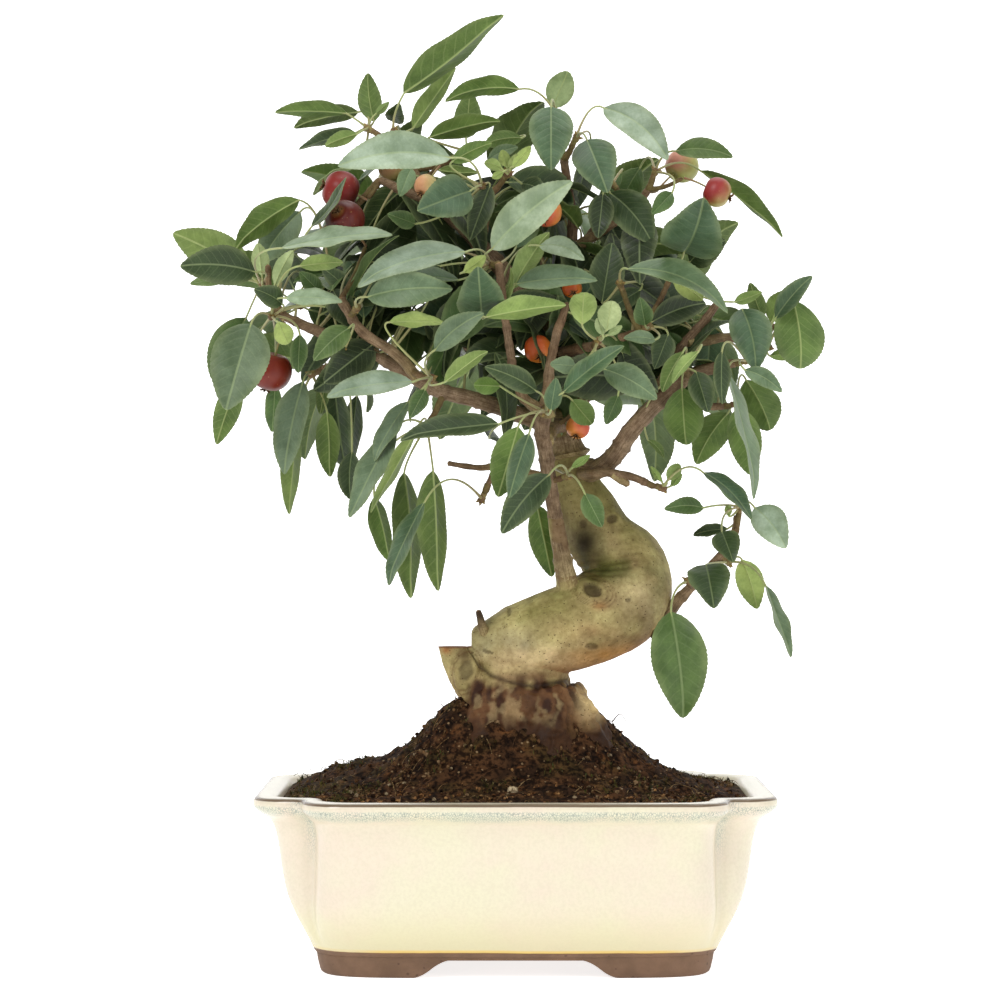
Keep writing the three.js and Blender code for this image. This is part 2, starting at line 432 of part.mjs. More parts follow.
// Sprays: hub [u, v, depth]; each leaf is side, base u v, tip u v, half-width, depth of base,
// tip's depth less base's, bend (elevation units, up or outward).
const SPRAYS = [
  { name: 'left_tip', hub: [262, 284, -12], leaves: [
    [U, 250, 275, 173, 233, 22, -14, -4, 3], [T, 255, 272, 180, 266, 20, -34, -12, 4],
    [U, 262, 275, 258, 243, 9, -22, -4, 0],
    [U, 275, 285, 293, 250, 8, -28, -6, 2], [T, 282, 248, 392, 233, 10, -58, -4, 6],
    [T, 246, 318, 212, 380, 20, 8, 4, 0]] },
  { name: 'left_low', hub: [272, 316, -28], leaves: [
    [T, 251, 324, 226, 410, 29, -42, -6, 0], [U, 238, 385, 217, 444, 13, 2, 6, 2],
    [T, 286, 298, 342, 301, 9, -44, -4, 3], [U, 300, 266, 343, 262, 8, -32, -8, 2],
    [T, 275, 385, 272, 432, 9, 16, 4, 0], [T, 300, 335, 298, 373, 9, -12, 0, 0],
    [U, 278, 322, 288, 344, 10, -40, -6, 0], [T, 282, 304, 254, 289, 11, -38, -10, 2]] },
  { name: 'left_hanging', hub: [312, 374, -9], leaves: [
    [T, 303, 382, 284, 474, 17, -18, -4, 3], [U, 295, 430, 288, 514, 9, -2, 4, 2],
    [U, 325, 378, 320, 414, 7, -14, -2, 0], [U, 327, 412, 329, 477, 12, -10, 0, 0],
    [T, 335, 388, 346, 472, 15, 6, 6, 2], [T, 357, 396, 352, 460, 10, 14, 6, 2]] },
  { name: 'left_middle', hub: [344, 350, -34], leaves: [
    [T, 349, 328, 314, 360, 13, -54, -8, 2], [T, 372, 345, 325, 382, 20, -10, 6, 0],
    [T, 333, 290, 352, 328, 14, -22, 0, 0], [T, 352, 452, 351, 500, 12, 10, 8, 2]] },
  { name: 'left_upper', hub: [322, 232, -4], leaves: [
    [U, 299, 200, 234, 248, 13, -12, -4, 6], [T, 300, 212, 262, 262, 18, 10, 6, 3],
    [T, 312, 226, 345, 177, 6, -54, -4, -3], [T, 320, 292, 300, 272, 9, -10, -6, 0]] },
  { name: 'crown_left_tip', hub: [368, 129, 0], leaves: [
    [U, 346, 113, 275, 112, 7, 0, -4, 4], [U, 358, 112, 294, 126, 9, 12, 6, 4],
    [T, 355, 133, 299, 150, 8, 18, 8, 3], [U, 357, 134, 325, 146, 7, -10, -8, 2],
    [U, 374, 121, 368, 73, 12, 4, 2, 2]] },
  { name: 'crown_spire', hub: [394, 132, -10], leaves: [
    [U, 404, 93, 502, 13, 13, -14, -4, 1], [T, 394, 122, 399, 104, 10, 14, 8, 0],
    [U, 413, 128, 456, 68, 9, 8, 4, 3], [T, 411, 168, 400, 196, 9, -24, -6, 0]] },
  { name: 'crown_front', hub: [482, 186, -36], leaves: [
    [T, 450, 158, 338, 166, 20, -58, -6, 10], [T, 470, 191, 417, 211, 22, -50, -12, 0],
    [T, 490, 186, 470, 240, 12, -30, -2, 0], [U, 452, 162, 492, 143, 9, -34, -4, 2],
    [T, 415, 224, 388, 214, 9, -30, -8, 0]] },
  { name: 'crown_middle', hub: [470, 152, 6], leaves: [
    [U, 466, 138, 470, 91, 14, 16, 6, 0], [U, 430, 137, 500, 120, 10, -6, -4, 4],
    [U, 522, 138, 484, 145, 9, -12, -6, 3], [T, 440, 158, 408, 150, 10, 22, 6, 2]] },
  { name: 'crown_young', hub: [508, 174, -32], leaves: [
    [U, 507, 167, 502, 150, 6, -34, -2, 0], [U, 513, 167, 531, 146, 6, -38, -4, 0],
    [U, 502, 169, 484, 163, 6, -38, -4, 2], [T, 488, 160, 518, 147, 7, -22, 2, 2],
    [T, 522, 184, 546, 196, 10, -24, 0, 3]] },
  { name: 'crown_top', hub: [556, 114, -4], leaves: [
    [U, 552, 108, 568, 71, 14, 8, 4, 0], [T, 551, 107, 551, 168, 22, -26, -4, 0],
    [U, 519, 89, 445, 101, 9, -8, -4, 9]] },
  { name: 'crown_right', hub: [576, 138, -10], leaves: [
    [T, 587, 140, 607, 191, 22, -26, -6, 0], [T, 604, 108, 668, 160, 17, -10, -10, 9],
    [T, 590, 148, 570, 218, 9, 16, 8, 3]] },
  { name: 'right_crown_inner', hub: [612, 184, -6], leaves: [
    [T, 610, 193, 652, 243, 20, -20, -4, 4], [T, 603, 194, 598, 238, 13, -26, -6, 0]] },
  { name: 'right_crown_tip', hub: [655, 172, -4], leaves: [
    [T, 676, 151, 733, 157, 11, -8, -4, 5], [U, 701, 171, 784, 235, 5, 10, 6, 6],
    [T, 672, 193, 652, 214, 9, -24, -6, 0], [T, 640, 168, 622, 205, 13, 22, 8, 2]] },
  { name: 'right_shoulder', hub: [672, 276, -30], leaves: [
    [T, 684, 252, 704, 197, 31, -38, 4, 3], [U, 674, 282, 703, 300, 9, -34, -8, 2],
    [T, 690, 262, 726, 240, 16, 4, 12, 3]] },
  { name: 'right_inner_top', hub: [620, 284, -42], leaves: [
    [T, 628, 269, 728, 312, 13, -52, -6, 16], [T, 602, 302, 612, 243, 18, -32, 4, 0],
    [T, 640, 290, 605, 312, 10, -26, -4, 0]] },
  { name: 'right_inner', hub: [649, 327, -36], leaves: [
    [T, 652, 322, 706, 303, 14, -32, 4, 3], [T, 645, 325, 640, 298, 10, -46, -6, 0],
    [T, 668, 335, 655, 368, 12, -36, 4, 0], [T, 655, 340, 624, 338, 7, -52, -8, 2]] },
  { name: 'centre_upper', hub: [490, 264, -40], leaves: [
    [T, 492, 249, 572, 181, 20, -64, -8, 5], [T, 465, 252, 357, 284, 15, -60, -8, 10],
    [U, 464, 272, 486, 256, 7, -66, -6, 0], [T, 458, 280, 390, 271, 7, -50, -4, 2],
    [T, 440, 266, 386, 264, 9, -24, 6, 3], [T, 412, 268, 362, 302, 12, -6, 8, 2]] },
  { name: 'centre', hub: [497, 300, -40], leaves: [
    [T, 482, 318, 478, 267, 24, -56, -4, 0], [U, 486, 317, 566, 305, 10, -62, -4, 4],
    [T, 510, 297, 562, 300, 8, -28, 8, 0], [U, 513, 288, 548, 232, 11, -46, 2, 3],
    [T, 517, 284, 597, 279, 13, -64, -6, 4], [T, 540, 246, 584, 260, 10, -42, -6, 6]] },
  { name: 'left_front', hub: [432, 378, -46], leaves: [
    [T, 412, 382, 327, 395, 12, -60, -8, 5], [T, 435, 350, 483, 313, 13, -72, -6, 4],
    [U, 445, 382, 487, 350, 8, -78, -6, 2], [T, 408, 402, 373, 460, 10, -50, -2, 3],
    [T, 425, 390, 410, 418, 9, -62, -8, 0], [U, 390, 322, 445, 322, 7, -46, -6, 3]] },
  { name: 'left_front_upper', hub: [357, 308, -46], leaves: [
    [T, 368, 297, 452, 289, 18, -64, -6, 4], [T, 352, 296, 322, 268, 10, -30, 4, 2],
    [T, 372, 262, 350, 292, 12, -18, 2, 0]] },
  { name: 'hanging', hub: [427, 426, -36], leaves: [
    [T, 395, 430, 350, 518, 14, -48, -2, 4], [U, 415, 432, 370, 512, 6, -60, -4, 3],
    [U, 404, 473, 409, 598, 14, -28, 8, 0], [U, 433, 471, 437, 591, 15, -46, 0, 2],
    [U, 374, 498, 389, 562, 10, -2, 8, 0]] },
  { name: 'hanging_inner', hub: [482, 499, -20], leaves: [
    [T, 424, 503, 386, 584, 10, -62, -4, 4]] },
  { name: 'centre_low', hub: [546, 412, -50], leaves: [
    [T, 536, 391, 485, 367, 12, -60, -8, 3], [T, 498, 424, 400, 437, 12, -80, -8, 4],
    [U, 518, 427, 498, 497, 18, -58, -2, 0], [T, 529, 434, 509, 498, 12, -74, -6, 0],
    [T, 551, 410, 556, 378, 9, -64, -6, 0], [T, 564, 392, 624, 346, 11, -70, -8, 4],
    [U, 572, 400, 592, 424, 12, -34, 6, 0], [U, 500, 386, 474, 385, 9, -56, -10, 0]] },
  { name: 'low_front', hub: [568, 476, -34], leaves: [
    [T, 549, 475, 502, 533, 17, -56, -6, 4], [U, 537, 505, 552, 577, 15, 2, -4, 0],
    [T, 585, 494, 602, 527, 11, -54, -4, 0]] },
  { name: 'middle_right', hub: [598, 341, -50], leaves: [
    [U, 582, 324, 584, 292, 14, -66, -6, 0], [U, 607, 330, 612, 300, 12, -60, -8, 0],
    [T, 604, 369, 657, 399, 15, -62, -6, 3], [T, 618, 396, 606, 424, 9, -40, -4, 0],
    [T, 575, 366, 550, 364, 9, -62, -8, 0], [T, 622, 352, 636, 396, 12, -30, 8, 0]] },
  { name: 'right_twig', hub: [737, 404, -8], leaves: [
    [U, 728, 413, 696, 464, 17, 4, 4, 3], [U, 738, 408, 750, 475, 17, -12, -2, 2],
    [U, 746, 380, 770, 430, 20, 14, 6, 3]] },
  { name: 'right_face', hub: [747, 361, -22], leaves: [
    [T, 745, 370, 782, 392, 9, -40, -6, 3], [T, 728, 374, 758, 498, 9, -34, -8, 6],
    [T, 722, 352, 722, 404, 9, -44, -6, 0]] },
  { name: 'right_tip', hub: [768, 347, -6], leaves: [
    [T, 742, 309, 756, 369, 21, -22, -6, 3], [U, 793, 300, 800, 370, 25, 6, 2, 4],
    [T, 776, 318, 812, 276, 10, -16, -4, 3], [U, 771, 322, 785, 291, 12, 19, 6, 0]] },
  { name: 'right_branch', hub: [684, 368, -30], leaves: [
    [U, 682, 388, 686, 446, 20, 4, 8, 0], [T, 696, 372, 708, 412, 13, -34, 0, 0],
    [U, 683, 352, 662, 392, 9, -46, -4, 2], [U, 698, 352, 672, 383, 6, -56, -4, 3]] },
  { name: 'low_right_twig', hub: [662, 488, -19], leaves: [
    [U, 668, 480, 680, 464, 7, -22, -2, 0], [T, 704, 473, 751, 520, 9, -34, -6, 7]] },
  { name: 'right_low_top', hub: [740, 507, -1], leaves: [
    [T, 703, 508, 665, 509, 9, -14, -8, 3], [T, 755, 508, 786, 548, 17, -16, -8, 3],
    [T, 727, 529, 693, 535, 6, 14, 6, 2], [T, 722, 532, 733, 561, 14, -24, -8, 0]] },
  { name: 'right_low', hub: [728, 562, 2], leaves: [
    [U, 742, 560, 757, 609, 14, -2, 0, 2], [T, 706, 565, 714, 607, 21, -24, -10, 0],
    [T, 766, 586, 792, 657, 7, -12, -4, 2]] },
  { name: 'right_low_hanging', hub: [688, 581, -20], leaves: [
    [T, 671, 612, 684, 718, 28, -34, -4, 2]] },
];

// Sprays of the far side, on hubs spread over the back of the crown by a rule.
const BACK = {
  middle: { x: -14, y: 8, z: 300 },
  reach: { x: 100, y: 78, z: 74 },
  rows: [
    { tilt: -12, count: 3, from: 38, to: 142 },
    { tilt: 12, count: 3, from: 22, to: 158 },
    { tilt: 36, count: 2, from: 50, to: 130 },
    { tilt: 60, count: 1, from: 90, to: 90 },
  ],
  leaves: 4,
  length: [38, 50],
  halfWidth: [10.5, 14],
  stalk: [9, 16],
};

function backSprays() {
  const sprays = [];
  for (const [row, { tilt, count, from, to }] of BACK.rows.entries()) {
    for (let i = 0; i < count; i++) {
      const turn = THREE.MathUtils.degToRad(count > 1 ? lerp(from, to, i / (count - 1)) : from);
      const rise = THREE.MathUtils.degToRad(tilt + (i % 2) * 9);
      const out = vec(Math.cos(turn) * Math.cos(rise), Math.sin(turn) * Math.cos(rise), Math.sin(rise));
      const hub = vec(BACK.middle.x + out.x * BACK.reach.x, BACK.middle.y + out.y * BACK.reach.y,
        BACK.middle.z + out.z * BACK.reach.z);
      const draw = drawFrom(1000 + row * 100 + i * 7);
      const leaves = [];
      for (let k = 0; k < BACK.leaves; k++) {
        leaves.push(backLeaf(hub, out, k, draw));
      }
      sprays.push({ name: `back_${row + 1}_${i + 1}`, at: hub, back: leaves });
    }
  }
  return sprays;
}

function backLeaf(hub, out, k, draw) {
  const round = 2 * Math.PI * (k + draw() * 0.5) / BACK.leaves;
  const length = lerp(...BACK.length, draw());
  const halfWidth = lerp(...BACK.halfWidth, draw());
  const stalk = lerp(...BACK.stalk, draw());
  const droop = lerp(0.15, 0.6, draw());
  const side = vec(0, 0, 1).cross(out).normalize();
  const up = out.clone().cross(side);
  const spread = side.clone().multiplyScalar(Math.cos(round)).addScaledVector(up, Math.sin(round));
  const away = spread.clone().addScaledVector(out, 0.75).addScaledVector(vec(0, 0, 1), -droop).normalize();
  const base = hub.clone().addScaledVector(spread.clone().addScaledVector(out, 0.9).normalize(), stalk);
  const tip = base.clone().addScaledVector(away, length);
  const normal = out.clone().multiplyScalar(0.8).add(vec(0, 0, 0.6)).addScaledVector(spread, 0.2);
  return { base, tip, halfWidth, normal, bend: vec(0, 0, length * 0.06) };
}

// A leaf of the front elevation, as points in space and the direction that its top side faces.
function elevationLeaf(row, shift) {
  const [side, u0, v0, u1, v1, seen, depth, dive, bow] = row;
  const base = place(u0, v0, depth + shift);
  const flatTip = place(u1, v1, depth + shift);
  const chord = flatTip.clone().sub(base);
  const seenWidth = seen * unitAt(depth);
  const least = seenWidth / LEAF.stout;
  const hidden = Math.sqrt(Math.max(0, least * least - chord.lengthSq()));
  const tip = place(u1, v1, depth + shift + (hidden > Math.abs(dive) ? -hidden : dive));
  const along = tip.clone().sub(base);
  const length = along.length();
  along.normalize();
  const halfWidth = Math.max(seenWidth, LEAF.slender * length);
  const toFront = vec(0, -1, 0);
  const facing = toFront.clone().addScaledVector(along, -toFront.dot(along)).normalize();
  const across = facing.clone().cross(along);
  const middle = base.clone().lerp(tip, 0.5);
  const outward = vec(Math.sign(middle.x + 7) || 1, 0, 0);
  const upward = Math.abs(across.z) > 0.3 ? across.z : across.dot(outward);
  if (upward < 0) across.negate();
  const roll = Math.acos(Math.min(1, seenWidth / halfWidth));
  const normal = facing.multiplyScalar(side * Math.cos(roll)).addScaledVector(across, Math.sin(roll));
  // A rolled blade's own arch and fold lift it too, so the bend leaves that much out.
  const lifted = (LEAF.arch * length + LEAF.foldMean * LEAF.fold * halfWidth) * Math.sin(roll);
  const bend = across.multiplyScalar(bow * unitAt(depth) - lifted);
  bend.y = 0;
  return { base, tip, halfWidth, normal, bend };
}

const bladeWidth = (t) => 1.16 * Math.sin(Math.PI * t ** 0.78) ** 0.8 * (1 - 0.2 * t);

// Closed blade and stalk. grow fattens it, to test its clearance.
function leafGeometry({ base, tip, halfWidth, normal, bend }, hub, lift, grow = 0) {
  const along = tip.clone().sub(base);
  const length = along.length();
  along.normalize();
  const n = normal.clone().addScaledVector(along, -normal.dot(along)).normalize();
  const side = along.clone().cross(n);
  const teeth = length > LEAF.long ? 4 : 3;
  const half = LEAF.thick / 2 + grow;

  const centre = (t) => base.clone().lerp(tip, t)
    .addScaledVector(bend, 4 * t * (1 - t)).addScaledVector(n, LEAF.arch * length * 4 * t * (1 - t));
  const edge = (t, sign, cut) => {
    const width = (halfWidth * bladeWidth(t) + grow) * cut;
    return centre(t).addScaledVector(side, sign * width).addScaledVector(n, LEAF.fold * width);
  };

  const points = [];
  const put = (p) => points.push(p) - 1;
  const both = (p, down = half) => [
    put(p.clone().addScaledVector(n, half)),
    put(p.clone().addScaledVector(n, -down)),
  ];
  const triangles = [];

  const stalk = LEAF.stalk + grow;
  const { curve, turning } = stalkCurve(base, along, hub, lift);
  const steps = turning ? 2 : 1;
  const stations = [];
  const up = n.clone();
  for (let s = 0; s <= steps; s++) {
    const back = curve.getTangent(s / steps);
    up.addScaledVector(back, -up.dot(back)).normalize();
    const out = up.clone().cross(back);
    const p = curve.getPoint(s / steps);
    stations.push([[1, 0], [-0.6, -1], [-0.6, 1]].map(([a, b]) => put(p.clone()
      .addScaledVector(up, a * stalk).addScaledVector(out, b * stalk))));
  }
  const [top0, right0, left0] = stations[0];
  for (let s = 0; s < steps; s++) {
    for (let i = 0; i < 3; i++) {
      const j = (i + 1) % 3;
      const [a, b, c, d] = [stations[s][i], stations[s][j], stations[s + 1][j], stations[s + 1][i]];
      triangles.push([a, b, c], [a, c, d]);
    }
  }
  const end = stations[steps];
  triangles.push([end[0], end[1], end[2]]);

  const tipPair = both(tip);
  const ribPairs = [];
  const ribs = length > LEAF.long ? 2 : 1;
  for (let i = 1; i <= ribs; i++) {
    const t = i / (ribs + 1);
    ribPairs.push({ t, pair: both(centre(t), half + LEAF.rib) });
  }
  for (const sign of [1, -1]) {
    const start = sign > 0 ? left0 : right0;
    const edges = [];
    for (let i = 1; i <= teeth; i++) {
      const t = (i - 0.35) / (teeth + 0.45);
      edges.push({ t, pair: both(edge(t, sign, i % 2 ? 1 : 1 - LEAF.tooth)) });
    }
    edges.push({ t: 1, pair: tipPair });
    const ribChain = [{ t: 0, pair: [top0, start] }, ...ribPairs, { t: 1, pair: tipPair }];
    const add = (a, b, c, turned) => {
      if (a !== b && b !== c && c !== a) triangles.push(turned ? [a, c, b] : [a, b, c]);
    };
    const face = (a, b, c) => {
      add(a[0], b[0], c[0], sign > 0);
      add(a[1], b[1], c[1], sign < 0);
    };
    const startPair = [start, start];
    face(ribChain[0].pair, edges[0].pair, startPair);
    let r = 0;
    let e = 0;
    while (r < ribChain.length - 2 || e < edges.length - 1) {
      const nextRib = r < ribChain.length - 2 ? ribChain[r + 1].t : Infinity;
      const nextEdge = e < edges.length - 1 ? edges[e + 1].t : Infinity;
      if (nextRib < nextEdge) {
        face(ribChain[r].pair, ribChain[r + 1].pair, edges[e].pair);
        r += 1;
      } else {
        face(ribChain[r].pair, edges[e + 1].pair, edges[e].pair);
        e += 1;
      }
    }
    const rim = (a, b) => {
      add(a[0], b[0], b[1], sign > 0);
      add(a[0], b[1], a[1], sign > 0);
    };
    rim(startPair, edges[0].pair);
    for (let i = 0; i + 1 < edges.length; i++) rim(edges[i].pair, edges[i + 1].pair);
  }
  triangles.push([right0, ribPairs[0].pair[1], left0]);
  return geometryFrom(points, triangles);
}

// A leaf stalk leaves the blade in line with it and swings round to the bud.
function stalkCurve(base, along, hub, lift) {
  const reach = base.distanceTo(hub);
  const knee = base.clone().addScaledVector(along, -0.42 * reach).lerp(hub, 0.12)
    .add(vec(0, 0, lift * Math.min(4, reach * 0.1)));
  const turning = hub.clone().sub(base).normalize().dot(along) > -0.8 || reach > LONG_STALK;
  const foot = hub.clone().add(knee.clone().sub(hub).setLength(STALK_FOOT));
  return { curve: new THREE.QuadraticBezierCurve3(base.clone(), knee, foot), turning };
}

// ---------------------------------------------------------------- clearance

const boxOf = (solid) => {
  const { min, max } = solid.boundingBox();
  return new THREE.Box3(vec(...min), vec(...max));
};

class Occupied {
  constructor() {
    this.items = [];
  }

  add(solid, owner) {
    this.items.push({ solid, box: boxOf(solid), owner });
  }

  clearOf(solid, owner) {
    const box = boxOf(solid);
    return this.items.every((item) => item.owner === owner || !item.box.intersectsBox(box)
      || item.solid.intersect(solid).isEmpty());
  }
}

// ---------------------------------------------------------------- growing the tree

const everyKnotLine = { ...BRANCHES, trunkTop: TRUNK.slice(8) };
const branchPoints = Object.values(everyKnotLine).flatMap((knots) => {
  const curve = new THREE.CatmullRomCurve3(knots.map((k) => k.at), false, 'centripetal');
  const count = 14;
  return Array.from({ length: count }, (_, i) => curve.getPoint((i + 1) / count));
});

// Twig that leaves the nearest branch and ends short of a bud or stalk.
function spurTo(target, stop, thickness) {
  const nearer = (a, b) => (a.distanceTo(target) <= b.distanceTo(target) ? a : b);
  const from = branchPoints.reduce(nearer);
  const toward = target.clone().sub(from);
  const reach = toward.length();
  toward.normalize();
  const tip = target.clone().addScaledVector(toward, -stop);
  const middle = from.clone().lerp(tip, 0.55).add(vec(0, 0, -reach * 0.06));
  const knots = [
    { at: from, r: thickness * 1.25 },
    { at: middle, r: thickness },
    { at: tip, r: thickness * 0.8 },
  ];
  return { tip, toward, knots, reach };
}

const sprayList = [
  ...SPRAYS.map((spray) => ({ ...spray, at: place(...spray.hub) })),
  ...backSprays(),
];
const spurs = [];
for (const spray of sprayList) {
  const spur = spurTo(spray.at, HUB_RADIUS + GAP, TWIG.leaf);
  spray.toward = spur.toward;
  spurs.push(spur);
}
for (const item of FRUIT) {
  const seat = place(...item.from);
  const stalkWay = place(item.u, item.v, item.depth).sub(seat).normalize();
  const slant = spurTo(seat, 0, 1).toward.cross(stalkWay).length();
  spurs.push(spurTo(seat, GAP + 1.05 * slant, TWIG.fruit));
  item.seat = seat;
}

function treeSolid() {
  const parts = [
    toSolid(bar(TRUNK, TRUNK_SIDES, TRUNK_STEPS)),
    toSolid(bar(FOOT_OF_TRUNK, FOOT_SIDES, FOOT_OF_TRUNK.length - 1, 0, FOOT_FLATTEN)),
    toSolid(bar(SNAG, 4, 3)),
    ...Object.values(TRUNK_ROOTS).map((knots) => toSolid(bar(knots, 5, knots.length - 1))),
    ...Object.values(BRANCHES).map((knots) => {
      const sides = knots[0].r > STOUT_BRANCH ? 5 : 4;
      return toSolid(bar(knots, sides, knots.length - 1));
    }),
    ...Object.values(STUBS).map((knots) => toSolid(bar(knots, 4, 1))),
    ...spurs.map(({ knots, reach }) => toSolid(bar(knots, 3, reach > TWIG.bent ? 2 : 1))),
  ];
  return joined(parts);
}

// The buried foot, a little fatter, leaves its own place free in the soil.
function footRoom() {
  return joined([
    toSolid(bar(FOOT_OF_TRUNK, FOOT_SIDES, FOOT_OF_TRUNK.length - 1, ROOT_ROOM, FOOT_FLATTEN)),
    ...Object.values(TRUNK_ROOTS).map((knots) => toSolid(bar(knots, 5, knots.length - 1, ROOT_ROOM))),
  ]);
}

// ---------------------------------------------------------------- soil

const SOIL_RINGS = 5;
const INNER_LIP = POT_RINGS.findIndex((ring) => ring.z === 80.5);
// The mound falls away faster in front of the trunk. Low swells lie at the left and before the stub.
const MOUND = { u: 524, v: 700, depth: -4, height: 46, reach: 52, steep: 4, front: 0.7, back: 0.92 };
const SWELLS = [{ x: -84, y: 25, wide: 38, height: 8 }, { x: -32, y: -26, wide: 18, height: 11 }];

function soilHeight(x, y, rim) {
  const middle = place(MOUND.u, MOUND.v, MOUND.depth);
  const deep = y < middle.y ? MOUND.front : MOUND.back;
  const away = Math.hypot(x - middle.x, (y - middle.y) / deep) / MOUND.reach;
  const mound = MOUND.height / (1 + away ** MOUND.steep);
  const swell = SWELLS.reduce((sum, one) => sum
    + one.height * Math.exp(-((x - one.x) ** 2 + (y - one.y) ** 2) / one.wide ** 2), 0);
  const rough = 1.1 * Math.sin(x * 0.21 + 1.3) * Math.sin(y * 0.24) + 0.7 * Math.sin(x * 0.47 - y * 0.39);
  return SOIL_EDGE + (mound + swell + rough) * (1 - rim);
}

function soil() {
  const inner = POT_RINGS.slice(INNER_LIP).reverse();
  const rings = inner.map((ring, i) => {
    const z = i === 0 ? SOIL_FLOOR : ring.z;
    return potOutline(ring, Math.min(z, SOIL_EDGE - 0.4), SOIL_WALL_GAP + (i === 0 ? 2.5 : 0.2));
  });
  const rim = inner[inner.length - 1];
  const edge = potOutline(rim, SOIL_EDGE, SOIL_WALL_GAP + 0.4);
  const middle = place(MOUND.u, MOUND.v, MOUND.depth);
  for (let k = 0; k <= SOIL_RINGS; k++) {
    const share = 1 - k / (SOIL_RINGS + 1);
    rings.push(edge.map((p) => {
      const x = lerp(middle.x, p.x, share);
      const y = lerp(middle.y, p.y, share);
      return vec(x, y, soilHeight(x, y, share ** 9));
    }));
  }
  return toSolid(loft(rings)).subtract(footRoom());
}

// ---------------------------------------------------------------- assembly

const plant = new THREE.Group();
plant.name = 'crabapple_bonsai';
const material = (color, roughness) => new THREE.MeshStandardMaterial({ color, roughness, metalness: 0 });
const FINISH = {
  glaze: material(0xf2ecd2, 0.2),
  bark: material(0x9c8a6d, 0.8),
  soil: material(0x2e2019, 0.95),
  screen: material(0x35383a, 0.6),
  leaf: material(0x3f6340, 0.55),
};

function show(name, geometry, finish) {
  const mesh = new THREE.Mesh(geometry, finish);
  mesh.name = name;
  plant.add(mesh);
}

show('pot', toGeometry(pot()), FINISH.glaze);
show('drain_screen_left', drainScreen(-DRAIN.x), FINISH.screen);
show('drain_screen_right', drainScreen(DRAIN.x), FINISH.screen);
show('soil', toGeometry(soil()), FINISH.soil);

const occupied = new Occupied();
const tree = treeSolid();
occupied.add(tree, 'trunk');
show('trunk', toGeometry(tree), FINISH.bark);

for (const item of FRUIT) {
  const solid = fruitSolid(item, item.seat);
  occupied.add(solid, item.name);
  show(item.name, toGeometry(solid), material(LOOKS[item.look], 0.35));
}

// The first set of a leaf's tries that is clear of everything placed before it.
function clearLeaf(shape, hub, owner, blades) {
  for (const size of SIZE_TRIES) {
    for (const lift of STALK_TRIES) {
      for (const shift of DEPTH_TRIES) {
        const leaf = shape(shift);
        leaf.tip = leaf.base.clone().lerp(leaf.tip, size);
        leaf.halfWidth *= size;
        const stub = leaf.base.clone().lerp(leaf.tip, -0.02);
        const clear = blades.clearOf(toSolid(leafGeometry(leaf, stub, 0, GAP)), null)
          && occupied.clearOf(toSolid(leafGeometry(leaf, hub, lift, GAP)), owner);
        if (clear) return { leaf, lift, stub };
      }
    }
  }
  return null;
}

for (const spray of sprayList) {
  const turn = new THREE.Quaternion().setFromUnitVectors(vec(0, 0, 1), spray.toward);
  const bud = toSolid(new THREE.OctahedronGeometry(HUB_RADIUS).applyQuaternion(turn).translate(...spray.at));
  const solids = [bud];
  const blades = new Occupied();
  const shapes = spray.leaves
    ? spray.leaves.map((row) => (shift) => elevationLeaf(row, shift))
    : spray.back.map((leaf) => (shift) => {
      const slide = spray.at.clone().sub(vec(BACK.middle.x, BACK.middle.y, BACK.middle.z)).normalize()
        .multiplyScalar(shift * 0.6);
      return { ...leaf, base: leaf.base.clone().add(slide), tip: leaf.tip.clone().add(slide) };
    });
  for (const [i, shape] of shapes.entries()) {
    const found = clearLeaf(shape, spray.at, spray.name, blades);
    if (!found) throw new Error(`no free place for leaf ${i} of ${spray.name}`);
    solids.push(toSolid(leafGeometry(found.leaf, spray.at, found.lift)));
    blades.add(toSolid(leafGeometry(found.leaf, found.stub, 0)), spray.name);
  }
  const whole = joined(solids);
  occupied.add(whole, spray.name);
  show(`spray_${spray.name}`, toGeometry(whole, spray.name), FINISH.leaf);
}

const reach = new THREE.Box3().setFromObject(plant);
plant.position.set(-(reach.min.x + reach.max.x) / 2, -(reach.min.y + reach.max.y) / 2, 0);

export default plant;
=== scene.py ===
"""Crabapple bonsai in a glazed lobed pot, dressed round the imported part.

Sizes are millimetres round the middle of the pot, and Skin writes them in metres in the part's frame.
Wood, leaves and fruit are placed on a front elevation: u to the right, v down, and a depth behind the
trunk's plane.
"""

import logging
import math
from dataclasses import dataclass, field, replace
from enum import Enum
from itertools import product
from typing import Callable, Iterable, Sequence

import bpy
import numpy as np
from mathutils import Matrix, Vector
from mathutils.bvhtree import BVHTree


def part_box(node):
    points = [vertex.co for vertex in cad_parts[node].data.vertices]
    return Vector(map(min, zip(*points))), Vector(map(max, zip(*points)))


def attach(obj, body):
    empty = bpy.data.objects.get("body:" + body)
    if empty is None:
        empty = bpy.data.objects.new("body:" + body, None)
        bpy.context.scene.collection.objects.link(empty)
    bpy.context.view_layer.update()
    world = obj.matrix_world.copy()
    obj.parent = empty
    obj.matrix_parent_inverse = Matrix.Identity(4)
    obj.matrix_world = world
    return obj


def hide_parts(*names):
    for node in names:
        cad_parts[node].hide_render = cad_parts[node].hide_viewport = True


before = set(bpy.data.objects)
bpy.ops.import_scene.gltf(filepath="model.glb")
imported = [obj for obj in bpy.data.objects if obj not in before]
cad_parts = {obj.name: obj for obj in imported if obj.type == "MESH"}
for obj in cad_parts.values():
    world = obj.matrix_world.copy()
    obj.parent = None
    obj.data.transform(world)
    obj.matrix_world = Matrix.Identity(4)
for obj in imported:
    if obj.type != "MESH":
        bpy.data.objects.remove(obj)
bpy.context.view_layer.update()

log = logging.getLogger("bonsai")

MM = 0.001
TO_MM = 1000.0
MIDDLE = np.mean([list(corner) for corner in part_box("pot")], axis=0) / MM * (1, 1, 0)
